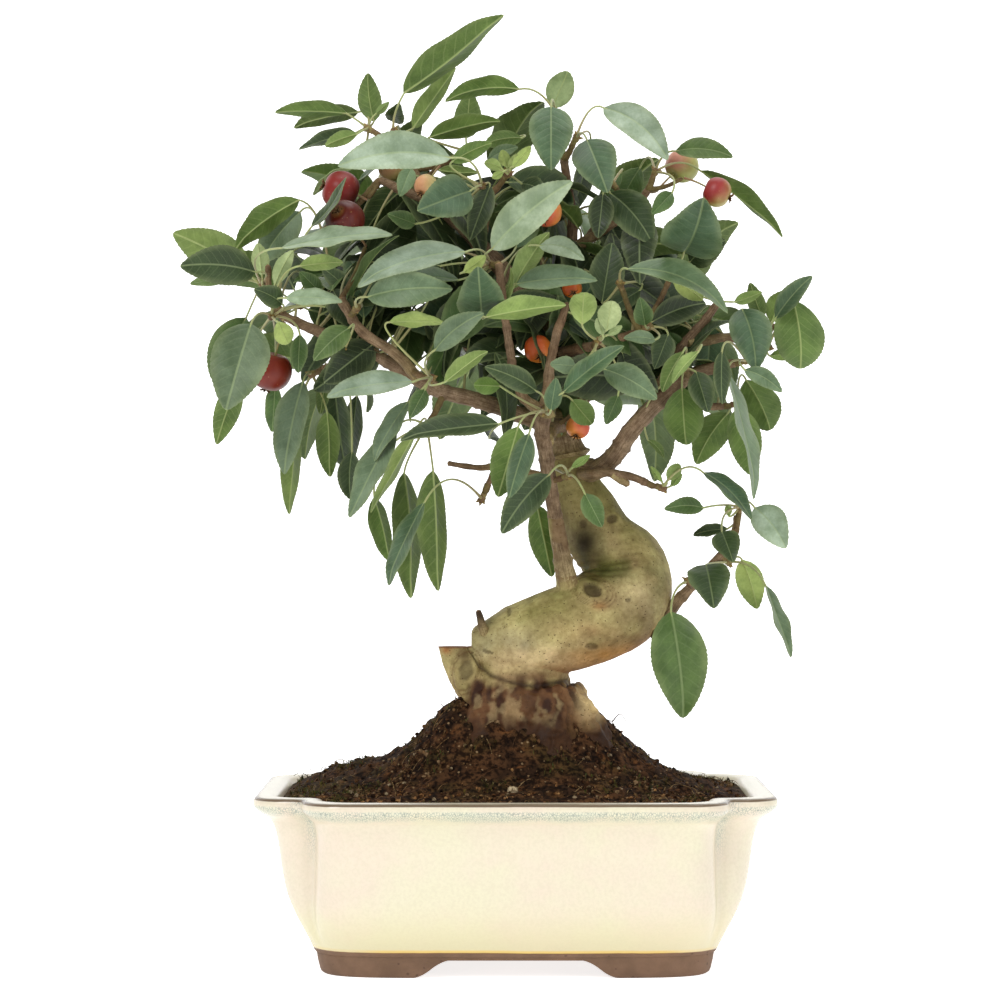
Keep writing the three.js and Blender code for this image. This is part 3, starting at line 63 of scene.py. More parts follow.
# Millimetres per elevation unit on the trunk's plane, and how far in front of it the eye stands
UNIT = 0.479
STATION = 1600.0
# The elevation point straight ahead of the eye, and where that lies
EYE_U, EYE_V = 500.0, 500.0
EYE_X, EYE_Z = -7.2, 220.1
UP = np.array([0.0, 0.0, 1.0])
# What turns the cells of rough() into repeatable values
HASH_PRIMES = np.array([73856093, 19349663, 83492791])
HASH_MIXES = ((13, 1274126177), (15, 668265263))
HASH_LIMIT = 0x7FFFFFFF
SEED_STEP, SEED_START = 17.31, 101.7

Knot = tuple[float, float, float, float]
Colour = tuple[float, float, float]
Rgb = tuple[int, int, int]
Solid = tuple[np.ndarray, list[np.ndarray]]
Material = bpy.types.Material
Node = bpy.types.Node
Socket = bpy.types.NodeSocket


# ------------------------------------------------------------------ helpers

def vec(x: float, y: float, z: float) -> np.ndarray:
    """A point or direction as an array."""
    return np.array([x, y, z], dtype=float)


def norm(v: np.ndarray) -> np.ndarray:
    """The same direction with length one."""
    return v / np.maximum(np.linalg.norm(v, axis=-1, keepdims=True), 1e-9)


def unit_at(depth: float | np.ndarray) -> float | np.ndarray:
    """Millimetres per elevation unit at a depth."""
    return UNIT * (STATION + depth) / STATION


def place(u: float, v: float, depth: float) -> np.ndarray:
    """The point in the part's frame of an elevation point."""
    scale = unit_at(depth)
    return vec(EYE_X + (u - EYE_U) * scale, depth, EYE_Z - (v - EYE_V) * scale)


def elevation(points: np.ndarray) -> tuple[np.ndarray, np.ndarray]:
    """The elevation coordinates u and v of points.

    Args:
        points: Rows of x, y, z.

    Returns:
        Their u and v.
    """
    scale = unit_at(points[:, 1])
    return EYE_U + (points[:, 0] - EYE_X) / scale, EYE_V - (points[:, 2] - EYE_Z) / scale


def shade(red: int, green: int, blue: int) -> np.ndarray:
    """A display colour of 0 to 255 as linear light."""
    s = np.array([red, green, blue]) / 255
    return np.where(s <= 0.04045, s / 12.92, ((s + 0.055) / 1.055) ** 2.4)


def rough(points: np.ndarray, size: float | Sequence[float], seed: int = 0) -> np.ndarray:
    """Smooth repeatable noise.

    Args:
        points: Rows of x, y, z.
        size: Width of one bump, for all axes or for each.
        seed: Another seed gives another pattern.

    Returns:
        A value from -1 to 1 for each point.
    """
    p = points / np.asarray(size, dtype=float) + SEED_STEP * seed + SEED_START
    cell = np.floor(p).astype(np.int64)
    f = p - cell
    f = f * f * (3 - 2 * f)
    total = np.zeros(len(points))
    for corner in product((0, 1), repeat=3):
        key = (cell + corner) * HASH_PRIMES
        mixed = key[:, 0] ^ key[:, 1] ^ key[:, 2]
        for shift, factor in HASH_MIXES:
            mixed = ((mixed ^ (mixed >> shift)) * factor) & HASH_LIMIT
        weight = np.prod(np.where(corner, f, 1 - f), axis=1)
        total += mixed / HASH_LIMIT * weight
    return total * 2 - 1


def smoothstep(low: float, high: float, x: np.ndarray) -> np.ndarray:
    """0 below low, 1 above high, and eased between."""
    t = np.clip((x - low) / (high - low), 0, 1)
    return t * t * (3 - 2 * t)


def blend(a: np.ndarray, b: np.ndarray, share: np.ndarray) -> np.ndarray:
    """Rows of colour a turned towards colour b by each row's share."""
    share = np.clip(share, 0, 1)[:, None]
    return a * (1 - share) + b * share


def layered(tint: np.ndarray, layers: Iterable[tuple[np.ndarray, np.ndarray]]) -> np.ndarray:
    """Colours laid over a tint one after another, each by its share."""
    for colour, share in layers:
        tint = blend(tint, colour, share)
    return tint


class Curve:
    """Centripetal curve through points, the same one as the part's bars follow."""

    def __init__(self, points: Sequence[np.ndarray]) -> None:
        """Keeps the points and adds one beyond each end."""
        pts = [np.asarray(p, dtype=float) for p in points]
        self.points = [2 * pts[0] - pts[1], *pts, 2 * pts[-1] - pts[-2]]
        self.spans = len(pts) - 1

    def at(self, t: float) -> np.ndarray:
        """The point a share t along the knots."""
        k = min(int(t * self.spans), self.spans - 1)
        w = t * self.spans - k
        p0, p1, p2, p3 = self.points[k:k + 4]
        d0, d1, d2 = (np.linalg.norm(b - a) ** 0.5 for a, b in ((p0, p1), (p1, p2), (p2, p3)))
        d1 = d1 if d1 > 1e-4 else 1.0
        d0 = d0 if d0 > 1e-4 else d1
        d2 = d2 if d2 > 1e-4 else d1
        m1 = ((p1 - p0) / d0 - (p2 - p0) / (d0 + d1) + (p2 - p1) / d1) * d1
        m2 = ((p2 - p1) / d1 - (p3 - p1) / (d1 + d2) + (p3 - p2) / d2) * d1
        c2 = -3 * p1 + 3 * p2 - 2 * m1 - m2
        c3 = 2 * p1 - 2 * p2 + m1 + m2
        return p1 + m1 * w + c2 * w * w + c3 * w ** 3

    def sample(self, count: int, start: float = 0.0, stop: float = 1.0) -> np.ndarray:
        """Rows of points at even shares from start to stop."""
        return np.array([self.at(t) for t in np.linspace(start, stop, count)])


def corner_cut(rows: np.ndarray, rounds: int) -> np.ndarray:
    """Rows of values with their corners cut again and again, which rounds them without overshoot."""
    for _ in range(rounds):
        cut = np.empty((2 * len(rows) - 2, rows.shape[1]))
        cut[0::2] = 0.75 * rows[:-1] + 0.25 * rows[1:]
        cut[1::2] = 0.25 * rows[:-1] + 0.75 * rows[1:]
        cut[0], cut[-1] = rows[0], rows[-1]
        rows = cut
    return rows


@dataclass
class Skin:
    """Gathers closed surfaces for one piece, each point with its tint and surface coordinates."""

    name: str
    finishes: list[Material]
    points: list[np.ndarray] = field(default_factory=list)
    faces: list[np.ndarray] = field(default_factory=list)
    slots: list[np.ndarray] = field(default_factory=list)
    tints: list[np.ndarray] = field(default_factory=list)
    coords: list[np.ndarray] = field(default_factory=list)
    count: int = 0

    def add(self, points: np.ndarray, faces: Iterable[np.ndarray], finish: int = 0,
            tint: np.ndarray | Colour = (1, 1, 1), uv: np.ndarray | None = None) -> None:
        """Adds one surface.

        Args:
            points: Rows of x, y, z in millimetres.
            faces: Arrays of point numbers, each with three or four columns.
            finish: Which of the piece's finishes it has.
            tint: One colour, or one for each point.
            uv: Surface coordinates of each point.
        """
        for block in faces:
            self.faces.append(np.asarray(block) + self.count)
            self.slots.append(np.full(len(block), finish))
        self.points.append(points)
        self.tints.append(np.broadcast_to(np.asarray(tint, dtype=float), (len(points), 3)))
        self.coords.append(np.zeros((len(points), 2)) if uv is None else uv)
        self.count += len(points)

    def build(self, sharp: float = 50.0) -> bpy.types.Object:
        """Writes the mesh and links its object.

        Args:
            sharp: Faces that meet at more than this many degrees keep a crisp edge.

        Returns:
            The new object.
        """
        mesh = bpy.data.meshes.new(self.name)
        mesh.vertices.add(self.count)
        mesh.vertices.foreach_set("co", ((np.concatenate(self.points) + MIDDLE) * MM).ravel())
        loops = np.concatenate([block.ravel() for block in self.faces])
        sizes = np.concatenate([np.full(len(block), block.shape[1]) for block in self.faces])
        mesh.loops.add(len(loops))
        mesh.loops.foreach_set("vertex_index", loops.astype(np.int32))
        mesh.polygons.add(len(sizes))
        starts = np.concatenate([[0], np.cumsum(sizes)[:-1]])
        mesh.polygons.foreach_set("loop_start", starts.astype(np.int32))
        mesh.polygons.foreach_set("material_index", np.concatenate(self.slots).astype(np.int32))
        mesh.polygons.foreach_set("use_smooth", np.ones(len(sizes), dtype=bool))
        for finish in self.finishes:
            mesh.materials.append(finish)
        mesh.update(calc_edges=True)
        tint = mesh.color_attributes.new("tint", "FLOAT_COLOR", "POINT")
        rgba = np.ones((self.count, 4))
        rgba[:, :3] = np.concatenate(self.tints)
        tint.data.foreach_set("color", rgba.ravel())
        layer = mesh.uv_layers.new(name="surface")
        layer.data.foreach_set("uv", np.concatenate(self.coords)[loops].ravel())
        mesh.set_sharp_from_angle(angle=math.radians(sharp))
        piece = bpy.data.objects.new(self.name, mesh)
        bpy.context.collection.objects.link(piece)
        return piece


def settle(piece: bpy.types.Object, slot: str, *nodes: str) -> None:
    """Rides a piece on the part and hides the nodes that it stands for."""
    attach(piece, "root")
    if nodes:
        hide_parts(*nodes)
    log.info("%s: %d faces", piece.name, len(piece.data.polygons))


def ring_faces(rings: int, sides: int, closed_ends: bool = True) -> list[np.ndarray]:
    """Faces of a skin over rings of points, one after another.

    Args:
        rings: How many rings.
        sides: Points in each.
        closed_ends: Whether a last point before and after the rings caps each end.

    Returns:
        Quads, and the caps' triangles.
    """
    r, i = np.meshgrid(np.arange(rings - 1), np.arange(sides), indexing="ij")
    j = (i + 1) % sides
    a, b = (r * sides + i).ravel(), (r * sides + j).ravel()
    quads = np.stack([a, b, b + sides, a + sides], axis=1)
    if not closed_ends:
        return [quads]
    i = np.arange(sides)
    j = (i + 1) % sides
    low, top = rings * sides, (rings - 1) * sides
    caps = np.concatenate([
        np.stack([np.full(sides, low), j, i], axis=1),
        np.stack([np.full(sides, low + 1), top + i, top + j], axis=1),
    ])
    return [quads, caps]


def tube(path: np.ndarray, radii: np.ndarray, sides: int, flatten: float = 1.0,
         round_ends: bool = False) -> Solid:
    """Round closed tube along a path.

    Args:
        path: Rows of points.
        radii: Radius at each.
        sides: Points round it.
        flatten: Depth of the section for each unit of width.
        round_ends: Whether its ends bulge.

    Returns:
        Its points and faces.
    """
    tangents = norm(np.gradient(path, axis=0))
    side = norm(np.cross(tangents[0], vec(0.13, 0.9, 0.41)))
    angles = np.linspace(0, 2 * np.pi, sides, endpoint=False)
    rings = []
    for centre, tangent, radius in zip(path, tangents, radii):
        side = norm(side - tangent * np.dot(side, tangent))
        other = np.cross(tangent, side)
        offset = (np.outer(np.cos(angles), side) + np.outer(np.sin(angles), other)) * radius
        offset[:, 1] *= flatten
        rings.append(centre + offset)
    bulge = 0.6 if round_ends else 0.0
    ends = np.array([path[0] - tangents[0] * radii[0] * bulge, path[-1] + tangents[-1] * radii[-1] * bulge])
    return np.concatenate([*rings, ends]), ring_faces(len(path), sides)


def knots_to_bar(knots: Sequence[Knot], step: float, start: float = 0.0,
                 stop: float = 1.0) -> tuple[np.ndarray, np.ndarray]:
    """Path and radii of a bar given by elevation knots u, v, radius, depth.

    Args:
        knots: The knots.
        step: About how far apart the samples lie.
        start: Share of the knots to start at.
        stop: Share to stop at.

    Returns:
        Rows of points, and the radius at each.
    """
    curve = Curve([place(u, v, depth) for u, v, _, depth in knots])
    length = np.linalg.norm(np.diff(curve.sample(24, start, stop), axis=0), axis=1).sum()
    count = max(4, int(length / step) + 1)
    shares = np.linspace(start, stop, count)
    spots = shares * (len(knots) - 1)
    sizes = [radius * unit_at(depth) for _, _, radius, depth in knots]
    return curve.sample(count, start, stop), np.interp(spots, np.arange(len(knots)), sizes)


def bezier(a: np.ndarray, b: np.ndarray, c: np.ndarray, count: int) -> np.ndarray:
    """Points of a quadratic curve from a to c, drawn towards b."""
    t = np.linspace(0, 1, count)[:, None]
    return a * (1 - t) ** 2 + b * 2 * t * (1 - t) + c * t * t


def remeshed(blocks: list[Solid], voxel: float) -> bpy.types.Mesh:
    """One closed skin round overlapping solids.

    Args:
        blocks: Points and faces of each solid.
        voxel: Size of the new faces.

    Returns:
        The new mesh, in metres.
    """
    rough_skin = Skin("rough", [])
    for points, faces in blocks:
        rough_skin.add(points, faces)
    holder = rough_skin.build()
    modifier = holder.modifiers.new("Remesh", "REMESH")
    modifier.mode = "VOXEL"
    modifier.voxel_size = voxel * MM
    graph = bpy.context.evaluated_depsgraph_get()
    mesh = bpy.data.meshes.new_from_object(holder.evaluated_get(graph))
    bpy.data.objects.remove(holder)
    return mesh


def mesh_arrays(mesh: bpy.types.Mesh) -> tuple[np.ndarray, list[np.ndarray], np.ndarray, np.ndarray]:
    """A mesh as arrays.

    Args:
        mesh: A mesh in metres.

    Returns:
        Points in millimetres, faces, point normals and edges.
    """
    def values(items: bpy.types.bpy_prop_collection, name: str, width: int, kind: type) -> np.ndarray:
        """One property of all vertices, edges, faces or corners."""
        found = np.empty(len(items) * width, dtype=kind)
        items.foreach_get(name, found)
        return found

    points, normals = (values(mesh.vertices, name, 3, float) for name in ("co", "normal"))
    edges = values(mesh.edges, "vertices", 2, np.int32)
    sizes, starts = (values(mesh.polygons, name, 1, np.int32) for name in ("loop_total", "loop_start"))
    loops = values(mesh.loops, "vertex_index", 1, np.int32)
    faces = [loops[starts[sizes == n][:, None] + np.arange(n)] for n in np.unique(sizes)]
    return points.reshape(-1, 3) / MM - MIDDLE, faces, normals.reshape(-1, 3), edges.reshape(-1, 2)


def relaxed(points: np.ndarray, edges: np.ndarray, rounds: int) -> np.ndarray:
    """Points moved halfway to the middle of their neighbours, several times."""
    count = np.bincount(edges.ravel(), minlength=len(points))[:, None]
    for _ in range(rounds):
        total = np.zeros_like(points)
        np.add.at(total, edges[:, 0], points[edges[:, 1]])
        np.add.at(total, edges[:, 1], points[edges[:, 0]])
        points = 0.5 * points + 0.5 * total / np.maximum(count, 1)
    return points


# ------------------------------------------------------------------ shader groups

class Nodes:
    """Short ways to place and join nodes in one tree."""

    def __init__(self, tree: bpy.types.NodeTree) -> None:
        """Keeps the tree."""
        self.tree = tree

    def add(self, kind: str, inputs: dict[str | int, object] | None = None, **settings: object) -> Node:
        """Places a node, sets it, and fills or links its inputs.

        Args:
            kind: The node's type.
            inputs: Socket name or number to a value or to the socket that feeds it.
            settings: The node's own properties.

        Returns:
            The node.
        """
        node = self.tree.nodes.new(kind)
        for name, value in settings.items():
            setattr(node, name, value)
        for socket, value in (inputs or {}).items():
            if isinstance(value, Socket):
                self.tree.links.new(value, node.inputs[socket])
            else:
                node.inputs[socket].default_value = value
        return node

    def math(self, operation: str, a: object, b: object = 0.0) -> Socket:
        """One sum of two values, as a socket."""
        return self.add("ShaderNodeMath", {0: a, 1: b}, operation=operation).outputs[0]

    def times(self, a: object, b: object) -> Socket:
        """The product of two values."""
        return self.math("MULTIPLY", a, b)

    def plus(self, a: object, b: object) -> Socket:
        """The sum of two values."""
        return self.math("ADD", a, b)

    def minus(self, a: object, b: object) -> Socket:
        """The first value less the second."""
        return self.math("SUBTRACT", a, b)

    def span(self, value: object, low: object, high: object, a: float = 0.0, b: float = 1.0) -> Socket:
        """A value eased from a at low to b at high."""
        inputs = {"Value": value, "From Min": low, "From Max": high, "To Min": a, "To Max": b}
        return self.add("ShaderNodeMapRange", inputs, interpolation_type="SMOOTHSTEP").outputs["Result"]

    def mix(self, share: object, a: object, b: object, blend_type: str = "MIX") -> Socket:
        """Two colours mixed, as a socket."""
        node = self.add("ShaderNodeMix", {0: share, 6: a, 7: b},
                        data_type="RGBA", blend_type=blend_type, clamp_factor=True)
        return node.outputs[2]

    def dimmed(self, colour: object, by: tuple[float, ...]) -> Socket:
        """A colour multiplied by another one."""
        return self.mix(1.0, colour, by, "MULTIPLY")

    def group(self, tree: bpy.types.NodeTree, inputs: dict[str, object]) -> Node:
        """Places a node group."""
        return self.add("ShaderNodeGroup", inputs, node_tree=tree)

    def surface(self) -> Socket:
        """The piece's surface coordinates."""
        return self.add("ShaderNodeUVMap", uv_map="surface").outputs["UV"]


def rgba(red: int, green: int, blue: int) -> tuple[float, float, float, float]:
    """A display colour of 0 to 255 for a colour socket."""
    return (*(float(c) for c in shade(red, green, blue)), 1.0)


class GroupNodes(Nodes):
    """A node group in the making, with a vector input, float inputs and float outputs."""

    def __init__(self, name: str, inputs: dict[str, float], outputs: Sequence[str]) -> None:
        """Starts the group.

        Args:
            name: The group's name.
            inputs: Names and default values.
            outputs: Names.
        """
        super().__init__(bpy.data.node_groups.new(name, "ShaderNodeTree"))
        sockets = self.tree.interface
        sockets.new_socket("Vector", in_out="INPUT", socket_type="NodeSocketVector")
        for label, value in inputs.items():
            sockets.new_socket(label, in_out="INPUT", socket_type="NodeSocketFloat").default_value = value
        for label in outputs:
            sockets.new_socket(label, in_out="OUTPUT", socket_type="NodeSocketFloat")
        self.given = self.add("NodeGroupInput").outputs
        self.out = self.add("NodeGroupOutput").inputs

    def put(self, label: str, value: Socket) -> None:
        """Feeds one of the group's outputs."""
        self.tree.links.new(value, self.out[label])


def make_mottle() -> bpy.types.NodeTree:
    """Soft patches: a mask from noise of one scale with sharpened contrast."""
    n = GroupNodes("mottle", {"Scale": 50, "Detail": 4, "Low": 0.4, "High": 0.6}, ["Mask", "Height"])
    noise = n.add("ShaderNodeTexNoise", {"Vector": n.given["Vector"], "Scale": n.given["Scale"],
                                         "Detail": n.given["Detail"], "Roughness": 0.6}).outputs["Fac"]
    n.put("Mask", n.span(noise, n.given["Low"], n.given["High"]))
    n.put("Height", noise)
    return n.tree


def make_speckle() -> bpy.types.NodeTree:
    """Small scattered dots: lenticels, specks in clay, pinholes in glaze."""
    n = GroupNodes("speckle", {"Scale": 300, "Size": 0.2, "Share": 0.5}, ["Mask"])
    place_in, scale = n.given["Vector"], n.given["Scale"]
    cells = n.add("ShaderNodeTexVoronoi", {"Vector": place_in, "Scale": scale})
    split = n.add("ShaderNodeSeparateColor", {"Color": cells.outputs["Color"]})
    chosen = n.math("LESS_THAN", split.outputs[0], n.given["Share"])
    ragged = n.add("ShaderNodeTexNoise", {"Vector": place_in, "Scale": n.times(scale, 3.0)})
    reach = n.times(n.given["Size"], n.plus(ragged.outputs["Fac"], 0.5))
    near = n.minus(reach, cells.outputs["Distance"])
    n.put("Mask", n.times(n.span(near, 0.0, 0.08), chosen))
    return n.tree


def make_veins() -> bpy.types.NodeTree:
    """Mid-rib, side veins that sweep forward, and a fine net, over a leaf's surface coordinates."""
    n = GroupNodes("veins", {"Pairs": 9.0, "Width": 0.12}, ["Veins", "Net", "Pucker"])
    split = n.add("ShaderNodeSeparateXYZ", {"Vector": n.given["Vector"]})
    across = n.math("ABSOLUTE", n.minus(split.outputs["X"], 0.5))
    swept = n.times(across, n.plus(n.times(across, 1.6), 0.55))
    wobble = n.add("ShaderNodeTexNoise", {"Vector": n.given["Vector"], "Scale": 7.0, "Detail": 1.0})
    drift = n.times(n.minus(wobble.outputs["Fac"], 0.5), 0.05)
    along = n.plus(n.minus(split.outputs["Y"], swept), drift)
    phase = n.math("FRACT", n.times(along, n.given["Pairs"]))
    away = n.math("ABSOLUTE", n.minus(phase, 0.5))
    side = n.minus(1.0, n.span(away, 0.0, n.given["Width"]))
    fade = n.span(across, 0.30, 0.16)
    rib = n.minus(1.0, n.span(across, 0.006, 0.016))
    both = n.math("MAXIMUM", rib, n.times(n.times(side, fade), 0.22))
    net = n.add("ShaderNodeTexVoronoi", {"Vector": n.given["Vector"], "Scale": 46.0},
                feature="DISTANCE_TO_EDGE")
    lines = n.minus(1.0, n.span(net.outputs["Distance"], 0.0, 0.12))
    pucker = n.minus(1.0, n.math("POWER", n.minus(1.0, n.times(away, 2.0)), 2.0))
    for label, value in (("Veins", both), ("Net", lines), ("Pucker", pucker)):
        n.put(label, value)
    return n.tree


class Groups:
    """The shared node groups, each built once."""

    def __init__(self) -> None:
        """Builds them."""
        self.mottle = make_mottle()
        self.speckle = make_speckle()
        self.veins = make_veins()


class Canvas:
    """A material in the making: its nodes, its tint and its one principled shader."""

    def __init__(self, name: str, groups: Groups, roughness: float, **constants: float | tuple) -> None:
        """Starts the material.

        Args:
            name: The finish's name.
            groups: The shared groups.
            roughness: The shader's own roughness.
            constants: Other shader sockets, with underscores for spaces.
        """
        self.groups = groups
        self.material = bpy.data.materials.new(name)
        self.material.use_nodes = True
        self.material.node_tree.nodes.clear()
        self.n = Nodes(self.material.node_tree)
        self.shader = self.n.add("ShaderNodeBsdfPrincipled", {"Roughness": roughness})
        for key, value in constants.items():
            self.shader.inputs[key.replace("_", " ")].default_value = value
        output = self.n.add("ShaderNodeOutputMaterial")
        self.n.tree.links.new(self.shader.outputs["BSDF"], output.inputs["Surface"])
        self.tint = self.n.add("ShaderNodeVertexColor", layer_name="tint").outputs["Color"]
        self.place = self.n.add("ShaderNodeTexCoord").outputs["Object"]

    def link(self, value: Socket, socket: str) -> None:
        """Feeds one of the shader's sockets."""
        self.n.tree.links.new(value, self.shader.inputs[socket])

    def mottle(self, scale: float, **settings: float) -> tuple[Socket, Socket]:
        """Soft patches over the piece.

        Args:
            scale: Patches in a metre.
            settings: The group's Detail, Low and High, where they aren't its own.

        Returns:
            Their mask and their height.
        """
        node = self.n.group(self.groups.mottle, {"Vector": self.place, "Scale": scale, **settings})
        return node.outputs["Mask"], node.outputs["Height"]

    def speckle(self, scale: float, size: float, share: float, vector: Socket | None = None) -> Socket:
        """Scattered dots, as a mask.

        Args:
            scale: Cells in a metre.
            size: A dot's reach, as a share of its cell.
            share: Share of the cells with a dot.
            vector: Where the cells lie, if not on the piece's own coordinates.

        Returns:
            The mask.
        """
        inputs = {"Vector": vector or self.place, "Scale": scale, "Size": size, "Share": share}
        return self.n.group(self.groups.speckle, inputs).outputs["Mask"]

    def stretched(self, vector: Socket, *scale: float) -> Socket:
        """Coordinates scaled along each axis."""
        return self.n.add("ShaderNodeMapping", {"Vector": vector, "Scale": scale}).outputs["Vector"]

    def bump(self, height: Socket, distance: float, strength: float = 1.0) -> None:
        """Feeds the shader's normal from a height.

        Args:
            height: A height, 0 to 1.
            distance: What a height of 1 stands for, in millimetres.
            strength: How much of it shows.
        """
        inputs = {"Height": height, "Distance": distance * MM, "Strength": strength}
        self.link(self.n.add("ShaderNodeBump", inputs).outputs["Normal"], "Normal")


@dataclass(frozen=True)
class LeafFinish:
    """One face of a leaf."""

    name: str
    roughness: float
    vein_colour: Rgb
    vein_share: float
    vein_height: float
    sheen: float
    down: Rgb = (214, 224, 180)
    shaded: Rgb = (196, 204, 190)
    fleck: tuple[float, ...] = (1.3, 1.26, 1.3, 1.0)

    def make(self, groups: Groups) -> Material:
        """Builds the material from the leaf's tint, its veins and faint blotches."""
        c = Canvas(self.name, groups, self.roughness, Sheen_Weight=self.sheen, Sheen_Roughness=0.45,
                   Sheen_Tint=rgba(*self.down), Specular_IOR_Level=0.3)
        n = c.n
        veins = n.group(groups.veins, {"Vector": n.surface()}).outputs
        patches, patch_height = c.mottle(95.0, Low=0.3, High=0.72)
        flecks, fleck_height = c.mottle(900.0, Low=0.35, High=0.75)
        darker = n.dimmed(c.tint, rgba(*self.shaded))
        body = n.mix(patches, darker, c.tint)
        fine = n.mix(n.times(flecks, 0.5), body, n.dimmed(body, self.fleck))
        netted = n.mix(n.times(veins["Net"], 0.04), fine, rgba(*self.vein_colour))
        lined = n.mix(n.times(veins["Veins"], self.vein_share), netted, rgba(*self.vein_colour))
        c.link(lined, "Base Color")
        relief = n.plus(n.times(veins["Veins"], self.vein_height), n.times(veins["Pucker"], 0.3))
        relief = n.plus(relief, n.times(fleck_height, 0.12))
        c.bump(relief, 0.3, 0.7)
        worn = n.span(patch_height, 0.3, 0.7, self.roughness - 0.06, self.roughness + 0.1)
        c.link(worn, "Roughness")
        return c.material


@dataclass(frozen=True)
class StalkFinish:
    """Leaf and fruit stalks: smooth, faintly downy."""

    name: str = "stalk"
    patch: Rgb = (150, 130, 90)

    def make(self, groups: Groups) -> Material:
        """Builds the material from the stalk's own tint."""
        c = Canvas(self.name, groups, 0.5, Sheen_Weight=0.2)
        patches, _ = c.mottle(400.0)
        c.link(c.n.mix(c.n.times(patches, 0.3), c.tint, rgba(*self.patch)), "Base Color")
        return c.material


@dataclass(frozen=True)
class BarkFinish:
    """Bark with soft patches, lenticels, short dashes and streaks along a branch."""

    name: str
    grain: float
    dots: float
    relief: float
    streaks: float = 0.0
    shadow: Rgb = (206, 196, 180)
    lit: tuple[float, ...] = (1.3, 1.27, 1.16, 1.0)
    fine_dark: Rgb = (176, 160, 138)
    streak_dark: Rgb = (150, 134, 118)
    speck: Rgb = (70, 50, 30)

    def make(self, groups: Groups) -> Material:
        """Builds the material over the wood's own tint."""
        c = Canvas(self.name, groups, 0.66, Specular_IOR_Level=0.2)
        n = c.n
        patches, patch_height = c.mottle(self.grain, Detail=8.0, Low=0.3, High=0.72)
        fine, fine_height = c.mottle(self.grain * 7, Detail=5.0, Low=0.35, High=0.7)
        dots = c.speckle(self.dots, 0.2, 0.46)
        tiny = c.speckle(self.dots * 2.3, 0.24, 0.34)
        dashes = c.speckle(self.dots, 0.17, 0.3, c.stretched(c.place, 0.45, 0.45, 1.4))
        along = c.stretched(n.surface(), 26.0, 1.0, 1.0)
        lines = n.add("ShaderNodeTexNoise", {"Vector": along, "Scale": 1.0, "Detail": 4.0}).outputs["Fac"]
        shadowed = n.dimmed(c.tint, rgba(*self.shadow))
        body = n.mix(patches, shadowed, n.dimmed(c.tint, self.lit))
        darker = n.dimmed(body, rgba(*self.fine_dark))
        body = n.mix(n.times(fine, 0.42), body, darker)
        body = n.mix(n.times(n.span(lines, 0.4, 0.68), self.streaks), body,
                     n.dimmed(body, rgba(*self.streak_dark)))
        specks = n.math("MAXIMUM", dots, n.math("MAXIMUM", dashes, n.times(tiny, 0.7)))
        c.link(n.mix(n.times(specks, 0.8), body, rgba(*self.speck)), "Base Color")
        height = n.plus(patch_height, n.times(fine_height, 0.5))
        height = n.plus(height, n.times(lines, self.streaks))
        height = n.minus(height, n.times(specks, 0.35))
        c.bump(height, self.relief, 0.9)
        c.link(n.span(patch_height, 0.3, 0.7, 0.52, 0.76), "Roughness")
        return c.material


@dataclass(frozen=True)
class EarthFinish:
    """Peat, crumbs, stones, moss and root fibres: a tint broken up by fine grain."""

    name: str
    grain: float
    relief: float
    dark: Rgb = (112, 100, 86)
    bit: Rgb = (158, 132, 98)

    def make(self, groups: Groups) -> Material:
        """Builds the material over the earth's own tint."""
        c = Canvas(self.name, groups, 0.92, Specular_IOR_Level=0.12)
        n = c.n
        grain, grain_height = c.mottle(self.grain, Detail=8.0)
        bits = c.speckle(self.grain * 0.9, 0.26, 0.2)
        body = n.mix(grain, n.dimmed(c.tint, rgba(*self.dark)), c.tint)
        c.link(n.mix(n.times(bits, 0.6), body, rgba(*self.bit)), "Base Color")
        c.bump(grain_height, self.relief)
        return c.material


